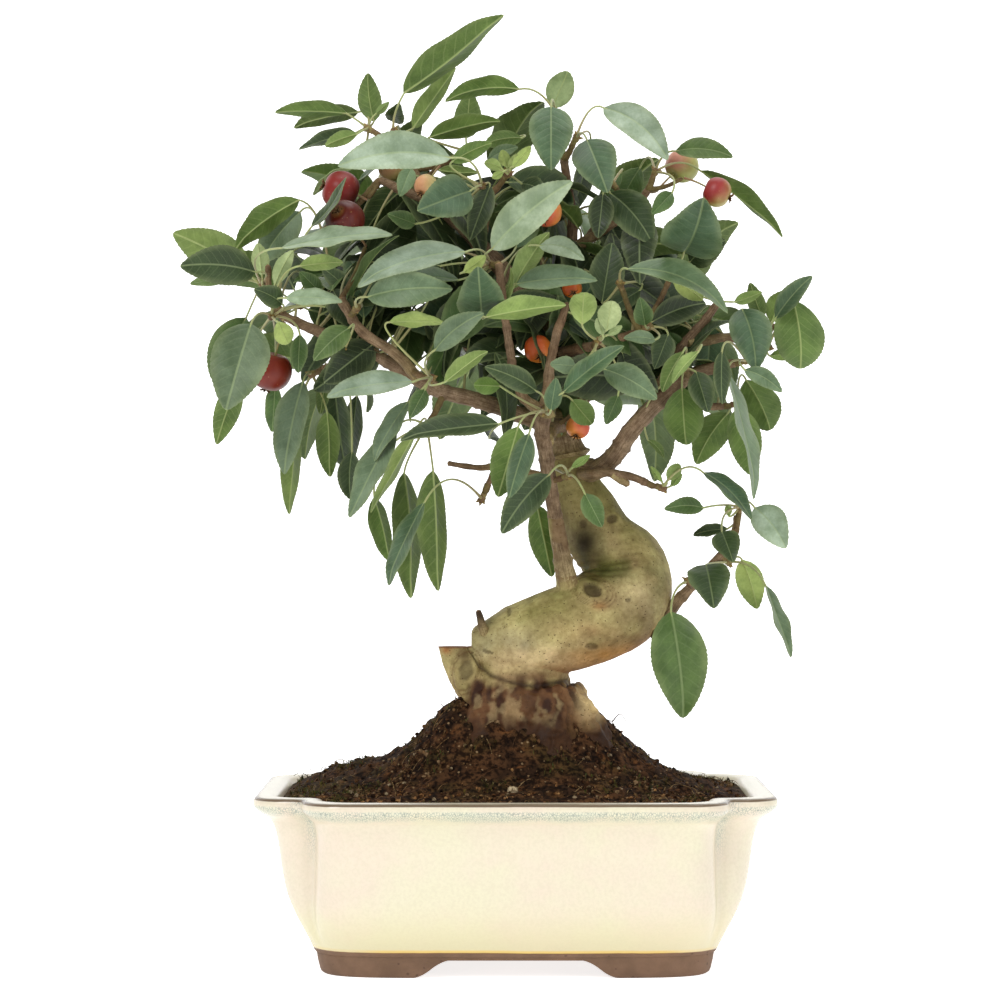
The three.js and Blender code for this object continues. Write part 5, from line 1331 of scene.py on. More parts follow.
BRANCHES: dict[str, Sequence[Knot]] = {
    "shoot": ((569, 592, 14, -16), (560, 545, 9.5, -22), (554, 510, 8.5, -24), (549, 480, 8.5, -27),
              (545, 450, 9, -31), (542, 430, 9, -35), (545, 404, 9.5, -40)),
    "shoot_link": ((545, 440, 7, -32), (553, 428, 7, -12), (563, 425, 8, 8)),
    "right": ((578, 470, 11, 8), (600, 468, 10, -4), (617, 453, 9.5, -12), (632, 430, 9, -16),
              (656, 404, 8.5, -18), (690, 376, 7, -18), (718, 367, 5.5, -18), (734, 363, 4.5, -19)),
    "right_upper": ((654, 402, 7, -16), (668, 372, 6, -14), (682, 348, 5.5, -12), (697, 330, 5, -10),
                    (718, 302, 3.5, -8)),
    "right_tip": ((688, 345, 5, -12), (720, 338, 4.5, -8), (740, 339, 4, -4), (755, 343, 3.5, -3)),
    "right_twig": ((676, 388, 4.5, -16), (690, 404, 4, -12), (708, 407, 4, -8), (724, 406, 3.5, -7)),
    "right_low": ((580, 474, 6, 6), (590, 474, 5, -10), (612, 473, 4.2, -18), (632, 477, 4, -18),
                  (647, 483, 4, -18)),
    "left": ((556, 420, 9, 4), (530, 418, 8.5, -8), (500, 408, 8, -18), (470, 398, 8, -24),
             (440, 391, 7.5, -28), (414, 377, 7, -28), (380, 358, 6.5, -26), (348, 344, 6, -24),
             (305, 326, 5, -20), (278, 312, 4, -18)),
    "left_pruned": ((418, 378, 5, -30), (396, 354, 5, -36), (366, 335, 5, -38), (352, 318, 5, -38),
                    (341, 299, 5, -38)),
    "left_twig": ((362, 350, 4, -24), (338, 362, 3.5, -18), (323, 369, 3.5, -14)),
    "left_bare_a": ((505, 462, 3.2, -24), (480, 468, 3, -30), (448, 463, 2.6, -34)),
    "left_bare_b": ((548, 478, 4, -28), (520, 470, 3.5, -26), (500, 466, 3.4, -24), (488, 484, 3, -20)),
    "upright_bare": ((545, 412, 6, -38), (524, 398, 5, -43), (515, 378, 4.5, -46), (510, 350, 4.2, -46),
                     (505, 315, 4, -48), (499, 264, 4, -50)),
    "upright_right": ((545, 414, 7, -38), (547, 396, 6, -41), (551, 360, 4.6, -44), (559, 328, 4.4, -44),
                      (567, 304, 3.8, -42)),
    "low_right": ((655, 632, 8, -8), (676, 604, 6, -8), (700, 578, 4.5, -6), (722, 553, 4, -2),
                  (735, 534, 3.5, 0)),
    "crown_dark": ((536, 335, 8, 8), (560, 290, 6.5, 8), (572, 240, 5.5, 6), (569, 195, 4.5, 2),
                   (564, 160, 4, 0)),
    "crown_right": ((572, 250, 5, 6), (610, 226, 4.5, 2), (636, 206, 4, 0), (648, 190, 3.5, -2)),
    "crown_left": ((478, 244, 6, -4), (486, 212, 4.5, -12), (488, 196, 4, -22)),
    "crown_upper": ((425, 200, 5, -6), (412, 165, 4, -4), (398, 142, 3.5, -4)),
    "middle_right": ((545, 358, 7, 4), (575, 350, 5.5, -16), (594, 346, 4.5, -36)),
    "shoulder": ((575, 350, 5, -14), (612, 340, 4.5, -26), (640, 332, 4, -32)),
    "back_right": ((560, 425, 10, 12), (590, 390, 8, 38), (640, 350, 6, 62), (690, 310, 4.5, 78)),
    "back_left": ((555, 395, 9, 14), (500, 360, 7.5, 40), (430, 325, 6, 62), (365, 290, 4.5, 72)),
    "back_middle": ((548, 370, 9, 12), (548, 320, 7.5, 40), (540, 265, 6, 66), (520, 215, 4.5, 78)),
    "back_crown": ((545, 290, 5.5, 54), (590, 235, 4.5, 56), (615, 195, 4, 52)),
    "back_crown_left": ((540, 275, 5, 60), (480, 235, 4.5, 58), (430, 205, 4, 50)),
}
STUBS: dict[str, Sequence[Knot]] = {
    "right_eye": ((758, 348, 3.6, -2), (768, 333, 3.2, -4), (775, 325, 3, -4)),
    "left_eye": ((286, 318, 3.4, -18), (272, 298, 3.2, -20), (268, 266, 2.8, -22)),
    "low_eye": ((728, 545, 3.4, -1), (735, 530, 3.2, 0), (737, 516, 3, 0)),
    "cut_right": ((612, 474, 3.6, -18), (628, 484, 3.4, -18)),
}
# The fold over the foot, u and v
CREASE = ((462, 640), (470, 652), (478, 665), (490, 675), (510, 682), (535, 686), (572, 680))
BARK_TAN, BARK_CREAM = shade(178, 168, 118), shade(212, 190, 148)
BARK_BROWN, BARK_DARK, ALGAE = shade(106, 72, 44), shade(52, 34, 20), shade(108, 114, 44)
# CROOK_SHADOW is painted shadow: a near-black spot in the crook of the trunk, where shade falls
BARK_FAWN, BARK_OLIVE, CROOK_SHADOW = shade(160, 132, 104), shade(96, 96, 46), shade(36, 28, 8)
# UNDERSIDE_BROWN_SHADE is browner bark with painted shade, laid on faces that look down
RUST, UNDERSIDE_BROWN_SHADE, CUT_WOOD = shade(186, 112, 52), shade(156, 108, 68), shade(140, 92, 56)
FOOT_BROWN, FOOT_CRACK, FOOT_FLAKE = shade(100, 66, 43), shade(56, 30, 18), shade(206, 186, 142)
FOOT_OCHRE, FOOT_SHADE, FOOT_BASE_DARK = shade(116, 92, 52), shade(60, 36, 22), shade(64, 40, 22)
TWIG_BROWN, TWIG_GREY, TWIG_GREEN = shade(122, 98, 76), shade(160, 142, 122), shade(118, 116, 66)
TWIG_TIP = shade(176, 140, 96)


@dataclass(frozen=True)
class Scar:
    """An old pruning mark on the trunk's front, in elevation units."""

    u: float
    v: float
    wide: float
    high: float
    tilt: float = 0.0
    lip: float = 0.5
    hollow: float = 0.8
    dark: float = 0.9
    rings: int = 0


SCARS = (
    Scar(592, 590, 10, 6, 25, 1.0, 1.0, 0.7, 3), Scar(466, 671, 7, 11, 15, 0.9, 0.7, 0.5, 2),
    Scar(592, 647, 7, 3, 5, 0.2, 0.4, 0.5), Scar(583, 524, 4, 5, 0, 0.2, 0.4, 0.55),
    Scar(612, 519, 6, 4.5, -20, 0.3, 0.4, 0.6), Scar(628, 600, 3, 2.5, 0, 0.2, 0.3, 0.5),
    Scar(488, 652, 6, 2, 20, 0.1, 0.3, 0.6), Scar(486, 631, 4, 2, -50, 0.1, 0.3, 0.5),
    Scar(509, 612, 2.5, 5, 10, 0.1, 0.3, 0.5),
)


# Patches on the trunk's front: middle u and v, half width, half height, colour, share
BARK_PATCHES: Sequence[tuple[float, float, float, float, tuple[int, int, int], float]] = (
    (540, 657, 48, 11, (226, 206, 166), 0.8), (512, 637, 24, 12, (152, 144, 124), 0.6),
    (527, 645, 8, 5, (112, 108, 106), 0.6), (552, 611, 34, 18, (178, 178, 112), 0.6),
    (602, 571, 36, 10, (70, 76, 24), 0.9), (642, 600, 30, 26, (182, 164, 136), 0.6),
    (588, 632, 28, 8, (158, 112, 78), 0.5), (640, 620, 11, 8, (98, 70, 38), 0.75),
    (612, 656, 44, 8, (200, 152, 92), 0.8), (550, 675, 30, 8, (100, 58, 36), 0.85),
    (482, 645, 11, 12, (168, 172, 144), 0.5), (660, 578, 10, 30, (136, 138, 96), 0.6),
    (446, 650, 6, 4, (172, 106, 56), 0.8), (463, 655, 8, 9, (80, 48, 30), 0.8),
    (449, 690, 9, 18, (226, 204, 156), 0.8), (477, 690, 6, 14, (214, 184, 142), 0.7),
)


@dataclass
class Wood:
    """Trunk, roots, branches and twigs."""

    voxel: float = 0.82
    trunk_split: float = 0.66
    branch_step: float = 1.6
    shoot_start: float = 0.04
    shoot_girth: float = 0.84
    seed: int = 5
    points: np.ndarray = field(init=False)

    def __post_init__(self) -> None:
        """Works out the points that twigs may leave from, as the part does."""
        lines = [*BRANCHES.values(), TRUNK[8:]]
        shares = [(i + 1) / 14 for i in range(14)]
        curves = [Curve([place(u, v, depth) for u, v, _, depth in knots]) for knots in lines]
        self.points = np.array([curve.at(t) for curve in curves for t in shares])

    def spur(self, target: np.ndarray, stop: float,
             thickness: float) -> tuple[np.ndarray, np.ndarray, np.ndarray]:
        """A twig from the nearest branch towards a bud or stalk.

        Args:
            target: Where it aims.
            stop: How far short of it the twig ends.
            thickness: Its radius.

        Returns:
            Its path, its radii and its direction.
        """
        start = self.points[np.argmin(np.linalg.norm(self.points - target, axis=1))]
        reach = np.linalg.norm(target - start)
        toward = (target - start) / reach
        tip = target - toward * stop
        middle = start * 0.45 + tip * 0.55 - UP * reach * 0.06
        path = Curve([start, middle, tip]).sample(max(5, int(reach / 1.4)))
        sizes = [1.25 * thickness, thickness, 0.8 * thickness]
        radii = np.interp(np.linspace(0, 2, len(path)), [0, 1, 2], sizes)
        return path, radii, toward

    def scarred(self, points: np.ndarray, normals: np.ndarray,
                tint: np.ndarray) -> tuple[np.ndarray, np.ndarray]:
        """Presses the scars into the trunk's front.

        Args:
            points: The trunk's points.
            normals: Their normals.
            tint: Their colours.

        Returns:
            How far each point moves out, and the new colours.
        """
        u, v = elevation(points)
        front = smoothstep(0.1, -0.3, normals[:, 1]) * smoothstep(10, 4, points[:, 1])
        push = np.zeros(len(points))
        for scar in SCARS:
            a = math.radians(scar.tilt)
            du, dv = u - scar.u, v - scar.v
            x = (du * math.cos(a) + dv * math.sin(a)) / scar.wide
            y = (-du * math.sin(a) + dv * math.cos(a)) / scar.high
            away = np.hypot(x, y) + 0.12 * rough(points, 3, 9)
            inside = smoothstep(1.08, 0.82, away) * front
            lip = np.exp(-((away - 1.3) / 0.3) ** 2) * front
            push += scar.lip * lip - scar.hollow * inside
            for k in range(scar.rings):
                push += 0.3 * np.exp(-((away - 1.62 - 0.36 * k) / 0.12) ** 2) * front
                tint = blend(tint, BARK_BROWN, 0.5 * np.exp(-((away - 1.8 - 0.36 * k) / 0.09) ** 2) * front)
            tint = blend(tint, BARK_DARK, inside * scar.dark)
        return push, tint

    def crease(self, u: np.ndarray, v: np.ndarray, width: float, start: float) -> np.ndarray:
        """The fold over the foot, which carve() presses in and trunk_tint() darkens with painted shade.

        Args:
            u: Elevation u of each point.
            v: Elevation v of each point.
            width: Half width of the fold.
            start: The u at which it begins.

        Returns:
            Its share at each point.
        """
        fold = np.exp(-((v - np.interp(u, *zip(*CREASE))) / width) ** 2)
        return fold * smoothstep(start, start + 8, u) * smoothstep(590, 566, u)

    def trunk_tint(self, points: np.ndarray, normals: np.ndarray) -> np.ndarray:
        """Bark colours over the trunk and foot.

        Args:
            points: The trunk's points.
            normals: Their normals.

        Returns:
            A colour for each point.
        """
        u, v = elevation(points)

        def spot(at_u: float, at_v: float, wide: float, high: float) -> np.ndarray:
            """A soft round share, 1 at an elevation point."""
            return np.exp(-(((u - at_u) / wide) ** 2 + ((v - at_v) / high) ** 2))

        wide, fine = rough(points, 16, 21), rough(points, 5, 22)
        facing = smoothstep(0.1, -0.3, normals[:, 1])
        upper = smoothstep(0.3, 0.95, normals[:, 2] + 0.25 * fine)
        behind = smoothstep(0.2, 0.9, normals[:, 1]) * 0.4
        algae = np.clip(upper * 0.55 + spot(598, 566, 34, 16) + behind, 0, 1)
        algae = algae * smoothstep(-0.8, 0.4, wide + fine)
        streak = smoothstep(0.2, 0.8, rough(points, (14, 14, 3), 24))
        foot = smoothstep(676, 688, v + 8 * fine) * smoothstep(462, 474, u + 3 * wide + 0.3 * (v - 690))
        ridges = 1 - np.abs(rough(points, (5.5, 5.5, 9), 34))
        patches = smoothstep(0.3, 0.6, rough(points, (4, 4, 8), 25) + 0.35 * rough(points, 2.2, 26))
        right = spot(590, 706, 13, 20)
        shoot = smoothstep(15, 11, np.abs(u - 565)) * smoothstep(592, 578, v + 6 * fine)
        shoot = shoot * (points[:, 1] < -20)
        cut = smoothstep(474, 470, u) * smoothstep(0.6, 0.9, normals[:, 2]) * smoothstep(652, 649, v)
        return layered(np.tile(BARK_TAN, (len(points), 1)), (
            (BARK_CREAM, smoothstep(-0.4, 0.8, wide + 0.3 * fine) * 0.4),
            (BARK_FAWN, smoothstep(0.1, 0.8, rough(points, 9, 23)) * 0.3),
            (ALGAE, algae * 0.75 * smoothstep(1.0, 0.6, (v - 560) / 130)),
            (BARK_OLIVE, smoothstep(560, 500, v) * 0.6),
            # painted shadow darkening the crook of the trunk
            (CROOK_SHADOW, spot(585, 543, 20, 24) * facing),
            (RUST, spot(600, 606, 8, 4) * facing * 0.5),
            # painted shade and browner bark on faces that look down
            (UNDERSIDE_BROWN_SHADE, smoothstep(-0.3, -0.85, normals[:, 2]) * 0.8),
            (BARK_BROWN, streak * 0.3 * smoothstep(600, 660, v)),
            *((shade(*colour), spot(at_u, at_v, across, tall) * facing * share * (0.8 + 0.4 * fine))
              for at_u, at_v, across, tall, colour, share in BARK_PATCHES),
            (FOOT_BROWN, foot * 0.96),
            (FOOT_CRACK, foot * smoothstep(0.85, 0.5, ridges + 0.12 * fine) * 0.9),
            (FOOT_FLAKE, foot * np.clip(patches * 0.3 + right * (0.75 + 0.4 * fine), 0, 1)),
            (FOOT_OCHRE, foot * spot(578, 738, 22, 12) * 0.8),
            (FOOT_SHADE, smoothstep(602, 616, u - 0.35 * (v - 720) + 5 * fine) * foot * 0.9),
            # the foot turns dark brown towards the soil line
            (FOOT_BASE_DARK, smoothstep(714, 736, v - 24 * right + 9 * fine)),
            (TWIG_BROWN, shoot * 0.85),
            # painted shade along the fold over the foot
            (BARK_DARK, self.crease(u, v, 2.2, 462) * 0.75 * facing),
            (CUT_WOOD, cut * 0.9)))

    def carve(self, points: np.ndarray) -> np.ndarray:
        """How far bark texture and the crease over the foot move each trunk point out."""
        u, v = elevation(points)
        foot = smoothstep(676, 692, v)
        corner = np.exp(-(((u - 600) / 40) ** 2 + ((v - 566) / 16) ** 2))
        calm = 0.55 * rough(points, 15, 31) + 0.2 * rough(points, 5.5, 32) + 0.08 * rough(points, 2.2, 33)
        ridges = 1 - np.abs(rough(points, (5.5, 5.5, 9), 34))
        wrinkles = 1.5 * ridges ** 3 + 0.9 * rough(points, 3.4, 35) + 0.4 * rough(points, 1.8, 36) - 0.5
        folds = 0.35 * np.sin(v * 0.95 + 3 * rough(points, 12, 37)) * corner
        crease = self.crease(u, v, 2.6, 464)
        return calm + foot * wrinkles + folds - 1.4 * crease * (points[:, 1] < -6)

    def build_trunk(self, bark: Material) -> None:
        """Makes the trunk, its foot and roots as one skin."""
        blocks = []
        path, radii = knots_to_bar(TRUNK, 2.5, 0, self.trunk_split)
        blocks.append(tube(path, radii, 40, round_ends=True))
        path, radii = knots_to_bar(FOOT, 2.5)
        blocks.append(tube(path, radii, 56, 0.86, round_ends=True))
        wedge = (*ROOTS["stub"], (452, 630, 15, -16))
        shoot = tuple((u, v, wide * self.shoot_girth, y) for u, v, wide, y in BRANCHES["shoot"][:3])
        for knots in (wedge, *list(ROOTS.values())[1:], shoot):
            path, radii = knots_to_bar(knots, 2.5)
            blocks.append(tube(path, radii, 24))
        mesh = remeshed(blocks, self.voxel)
        points, faces, normals, edges = mesh_arrays(mesh)
        points = relaxed(points, edges, 7)
        u, _ = elevation(points)
        above = np.maximum(points[:, 2] - place(456, 647, -16)[2], 0) * (u < 472)
        points[:, 2] -= above * 0.96
        tint = self.trunk_tint(points, np.where(above[:, None] > 0, UP, normals))
        push, tint = self.scarred(points, normals, tint)
        points = points + normals * ((self.carve(points) + push) * (above == 0))[:, None]
        skin = Skin("trunk_wood", [bark])
        skin.add(points, faces, tint=tint)
        settle(skin.build(180), "bark", "trunk")

    def branch(self, skin: Skin, knots: Sequence[Knot], draw: np.random.Generator, start: float = 0.0,
               girth: float = 1.0, dead: float = 0.0, collar: bool = True) -> None:
        """Adds one branch with swollen nodes and small bark lumps.

        Args:
            skin: The piece's skin.
            knots: The branch.
            draw: The random draw.
            start: Share of the knots to start at.
            girth: Its thickness, as a share of the knots' own.
            dead: How dark and dry its far end is.
            collar: Whether it swells where it leaves the wood.
        """
        sides = 16
        path, radii = knots_to_bar(knots, self.branch_step, start)
        radii = radii * girth
        along = np.linspace(0, 1, len(path))
        length = np.linalg.norm(np.diff(path, axis=0), axis=1).sum()
        foot = 1 + 0.3 * collar * np.exp(-along * length / 5)
        beats = np.abs(np.sin(np.pi * (along * length / draw.uniform(7, 11) + draw.random())))
        swell = 1 + 0.16 * np.exp(-(beats / 0.22) ** 2)
        path = path + 0.35 * np.stack([rough(path, 6, 41 + k) for k in range(3)], axis=1)
        points, faces = tube(path, radii * foot * swell, sides, round_ends=True)
        centre = np.repeat(path, sides, axis=0)
        out = norm(points[:-2] - centre)
        points[:-2] += out * (0.22 * rough(points[:-2], 2.6, 44) + 0.1 * rough(points[:-2], 1.2, 45))[:, None]
        thick = np.clip(np.repeat(radii, sides) / 5, 0, 1)
        body = points[:-2]
        mossy = smoothstep(0.2, 0.9, out[:, 2] + 0.5 * rough(body, 7, 47)) * thick
        rings = np.repeat(np.exp(-(beats / 0.16) ** 2), sides)
        tint = layered(np.tile(TWIG_BROWN, (len(body), 1)), (
            (TWIG_GREY, thick * 0.7 + 0.3 * rough(body, 8, 46)),
            (TWIG_GREEN, mossy * 0.4),
            (BARK_DARK, rings * 0.3 + smoothstep(0.3, 0.8, rough(body, 3, 48)) * 0.2),
            (BARK_TAN, np.repeat(np.exp(-along * length / 9), sides) * 0.6),
            (BARK_DARK, np.repeat(smoothstep(0.2, 0.7, along), sides) * dead)))
        ends = np.array([TWIG_BROWN, TWIG_TIP])
        fold = np.abs(1 - 2 * np.arange(sides) / sides)
        uv = np.stack([np.tile(fold, len(path)), np.repeat(along * length * 0.12, sides)], axis=1)
        skin.add(points, faces, tint=np.concatenate([tint, ends]), uv=np.concatenate([uv, uv[[0, -1]]]))

    def build_branches(self, bark: Material) -> None:
        """Makes the branches and cut stubs."""
        draw = np.random.default_rng(self.seed)
        skin = Skin("branch_wood", [bark])
        self.branch(skin, TRUNK, draw, 0.5)
        for name, knots in {**BRANCHES, **STUBS}.items():
            shoot = name == "shoot"
            girth = self.shoot_girth if shoot else 1.0
            self.branch(skin, knots, draw, self.shoot_start * shoot, girth, collar=not shoot)
        self.branch(skin, SNAG, draw, 0.25, 0.75, 0.85)
        settle(skin.build(60), "bark")

    def build_twigs(self, bark: Material, ends: Sequence[tuple[np.ndarray, float, float]]) -> None:
        """Makes the short twigs that carry buds and fruit.

        Args:
            bark: Their finish.
            ends: Target, stop and thickness of each twig.
        """
        skin = Skin("twig_wood", [bark])
        for target, stop, thickness in ends:
            path, radii, _ = self.spur(target, stop, thickness)
            number = np.arange(len(path))
            swell = 1 + 0.16 * np.abs(np.sin(number * 1.1)) + 0.15 * (number > len(path) - 4)
            points, faces = tube(path, radii * swell, 8, round_ends=True)
            tint = blend(np.tile(TWIG_BROWN, (len(points), 1)), TWIG_GREEN, 0.4 + 0.4 * rough(points, 6, 51))
            skin.add(points, faces, tint=tint)
        settle(skin.build(60), "bark")


# ------------------------------------------------------------------ fruit

CALYX, CALYX_END = shade(112, 84, 56), shade(150, 110, 60)
STALK_LOW, STALK_HIGH = shade(142, 148, 78), shade(140, 84, 60)


class Blush(Enum):
    """How a crabapple is coloured: shaded side, flushed side that faces the light, and round its stalk. In
    RED, CLARET and ROSE the two sides are one red, darker as painted shade and lighter as painted light; in
    the others the flush is a real blush.
    """

    RED = ((62, 12, 6), (126, 24, 16), (98, 46, 20))
    CLARET = ((50, 10, 5), (92, 20, 9), (84, 36, 14))
    ROSE = ((82, 24, 14), (120, 38, 22), (120, 74, 36))
    HALF = ((170, 160, 92), (150, 48, 48), (150, 60, 52))
    GREEN = ((172, 178, 104), (198, 138, 116), (168, 178, 100))
    PALE = ((196, 190, 126), (214, 160, 116), (186, 186, 112))
    ORANGE = ((226, 150, 70), (212, 98, 70), (216, 170, 84))
    AMBER = ((212, 128, 44), (190, 84, 34), (190, 150, 60))


@dataclass(frozen=True)
class Fruit:
    """A crabapple: place and radius in the elevation, and where its stalk leaves the twig."""

    node: str
    u: float
    v: float
    radius: float
    depth: float
    seat: tuple[float, float, float]
    blush: Blush
    slot: str
    # the way the flushed side faces, towards the light: painted light on the red fruit, real blush on the
    # others
    blush_and_light_way: tuple[float, float, float] = (-0.5, -0.7, 0.5)

    def stop(self, wood: Wood) -> float:
        """How far short of the seat the twig ends, so that the stalk's foot stays clear of it."""
        centre, seat = place(self.u, self.v, self.depth), place(*self.seat)
        slant = np.linalg.norm(np.cross(wood.spur(seat, 0, 1)[2], norm(centre - seat)))
        return GAP + 1.05 * float(slant)

    def build(self, skin_finish: Material, stalk: Material, dry: Material) -> None:
        """Makes the fruit with its dimples, dried calyx and stalk."""
        centre, seat = place(self.u, self.v, self.depth), place(*self.seat)
        radius = self.radius * unit_at(self.depth)
        axis = norm(seat - centre)
        side = norm(np.cross(axis, vec(0.2, 1, 0.1)))
        other = np.cross(axis, side)
        around, up = 36, 24
        angles = np.linspace(0, 2 * np.pi, around, endpoint=False)
        rings = []
        for lat in np.linspace(-np.pi / 2, np.pi / 2, up + 2)[1:-1]:
            wide, height = math.cos(lat) ** 0.9, math.sin(lat)
            tall = height * 0.96
            dimple = 0.2 * math.exp(-((1 - height) / 0.06)) + 0.1 * math.exp(-((1 + height) / 0.05))
            tall -= math.copysign(dimple, lat)
            lumps = 1 + 0.015 * np.cos(5 * angles + 0.5)
            flat = (np.outer(np.cos(angles) * wide * lumps, side)
                    + np.outer(np.sin(angles) * wide * lumps, other))
            rings.append(centre + radius * (flat + axis * tall))
        ends = np.array([centre - axis * radius * 0.86, centre + axis * radius * 0.74])
        points = np.concatenate([*rings, ends])
        shadow, flush, top = (shade(*c) for c in self.blush.value)
        way = norm(points - centre)
        # painted light and shade on the red fruit, real blush on the others, turned towards the light
        blush_and_light_side = way @ norm(np.array(self.blush_and_light_way)) + 0.25 * rough(points, radius * 0.6, 61)
        tint = layered(np.tile(shadow, (len(points), 1)), (
            (flush, smoothstep(-0.5, 0.8, blush_and_light_side)),
            (top, smoothstep(0.72, 1.0, way @ axis) * 0.8),
            (CALYX_END, smoothstep(0.9, 1.0, -(way @ axis)) * 0.7)))
        skin = Skin(self.node + "_apple", [skin_finish, stalk, dry])
        skin.add(points, ring_faces(up, around), 0, tint)
        path = bezier(centre + axis * radius * 0.6, centre * 0.38 + seat * 0.62 + UP * 1.2, seat, 12)
        skin.add(*tube(path, np.linspace(0.42, 0.6, 12), 8), 1, blend(
            np.tile(STALK_LOW, (98, 1)), STALK_HIGH, np.linspace(0, 1, 98)))
        for k in range(5):
            a = 2 * np.pi * k / 5 + 0.3
            out = math.cos(a) * side + math.sin(a) * other
            root = centre - axis * radius * 0.84
            path = np.array([root + out * 0.4, root - axis * 1.1 + out * 1.2, root - axis * 1.7 + out * 2.3,
                             root - axis * 1.5 + out * 3.0])
            skin.add(*tube(path, np.array([0.55, 0.5, 0.32, 0.08]) * radius / 8, 5), 2, CALYX)
        settle(skin.build(80), self.slot, self.node)


FRUIT = (
    Fruit("fruit_left_upper", 341, 191, 20, -12, (367, 200, -10), Blush.RED, "fruit_red"),
    Fruit("fruit_left_second", 345, 220, 20, -42, (366, 246, -22), Blush.CLARET, "fruit_red",
          (0.5, -0.6, 0.6)),
    Fruit("fruit_left_low", 271, 371, 21, -10, (285, 322, -14), Blush.ROSE, "fruit_red", (0.2, -0.8, 0.2)),
    Fruit("fruit_right_top", 717, 192, 15, -6, (684, 178, -4), Blush.HALF, "fruit_red", (-0.6, -0.6, 0.5)),
    Fruit("fruit_right_green", 682, 166, 17, 14, (658, 190, 6), Blush.GREEN, "fruit_green",
          (-0.8, -0.3, 0.6)),
    Fruit("fruit_crown", 547, 212, 15, -22, (560, 184, -4), Blush.ORANGE, "fruit_orange", (-0.6, -0.7, -0.1)),
    Fruit("fruit_crown_left", 392, 168, 14, 16, (400, 142, 8), Blush.PALE, "fruit_green"),
    Fruit("fruit_crown_young", 426, 186, 12, -26, (440, 166, -18), Blush.PALE, "fruit_orange",
          (-0.9, -0.4, 0)),
    Fruit("fruit_middle", 538, 349, 14, -22, (532, 326, -8), Blush.AMBER, "fruit_orange"),
    Fruit("fruit_low", 578, 427, 12, -22, (584, 402, -14), Blush.ORANGE, "fruit_orange", (0.8, -0.3, 0.3)),
    Fruit("fruit_inner", 572, 288, 10, -26, (566, 266, -10), Blush.AMBER, "fruit_orange"),
)


# ------------------------------------------------------------------ leaves

# A leaf that shows its top, or its underside
T, U = 1, -1
LEAF_EDGE, STALK_GREEN, STALK_BROWN = shade(150, 160, 110), shade(168, 178, 112), shade(150, 112, 84)
BUD_GREEN, BUD_SCALE = shade(138, 132, 84), shade(150, 132, 84)


class Tone(Enum):
    """A leaf's colours: its top, then its underside."""

    # painted shade: leaves deep in the crown get a near-black green for the shade they stand in
    INNER_SHADE = ((36, 50, 24), (58, 76, 34))
    DARK = ((54, 72, 40), (88, 108, 52))
    TEAL = ((74, 98, 70), (98, 122, 70))
    # painted sheen: the glossy top's reflection of the light is painted into the colour, fully in
    # SILVER_SHEEN and partly in GREY
    GREY = ((108, 128, 98), (112, 134, 84))
    SILVER_SHEEN = ((166, 184, 156), (156, 172, 126))
    MID = ((76, 102, 52), (98, 122, 58))
    LIGHT = ((122, 144, 82), (132, 154, 84))
    YOUNG = ((150, 170, 92), (158, 174, 100))
    PALE = ((178, 192, 142), (180, 194, 140))
    BRIGHT = ((80, 102, 50), (100, 128, 56))


I, D, L, G, S, M, Y = Tone.INNER_SHADE, Tone.DARK, Tone.LIGHT, Tone.GREY, Tone.SILVER_SHEEN, Tone.MID, Tone.YOUNG
B, P, E = Tone.BRIGHT, Tone.PALE, Tone.TEAL

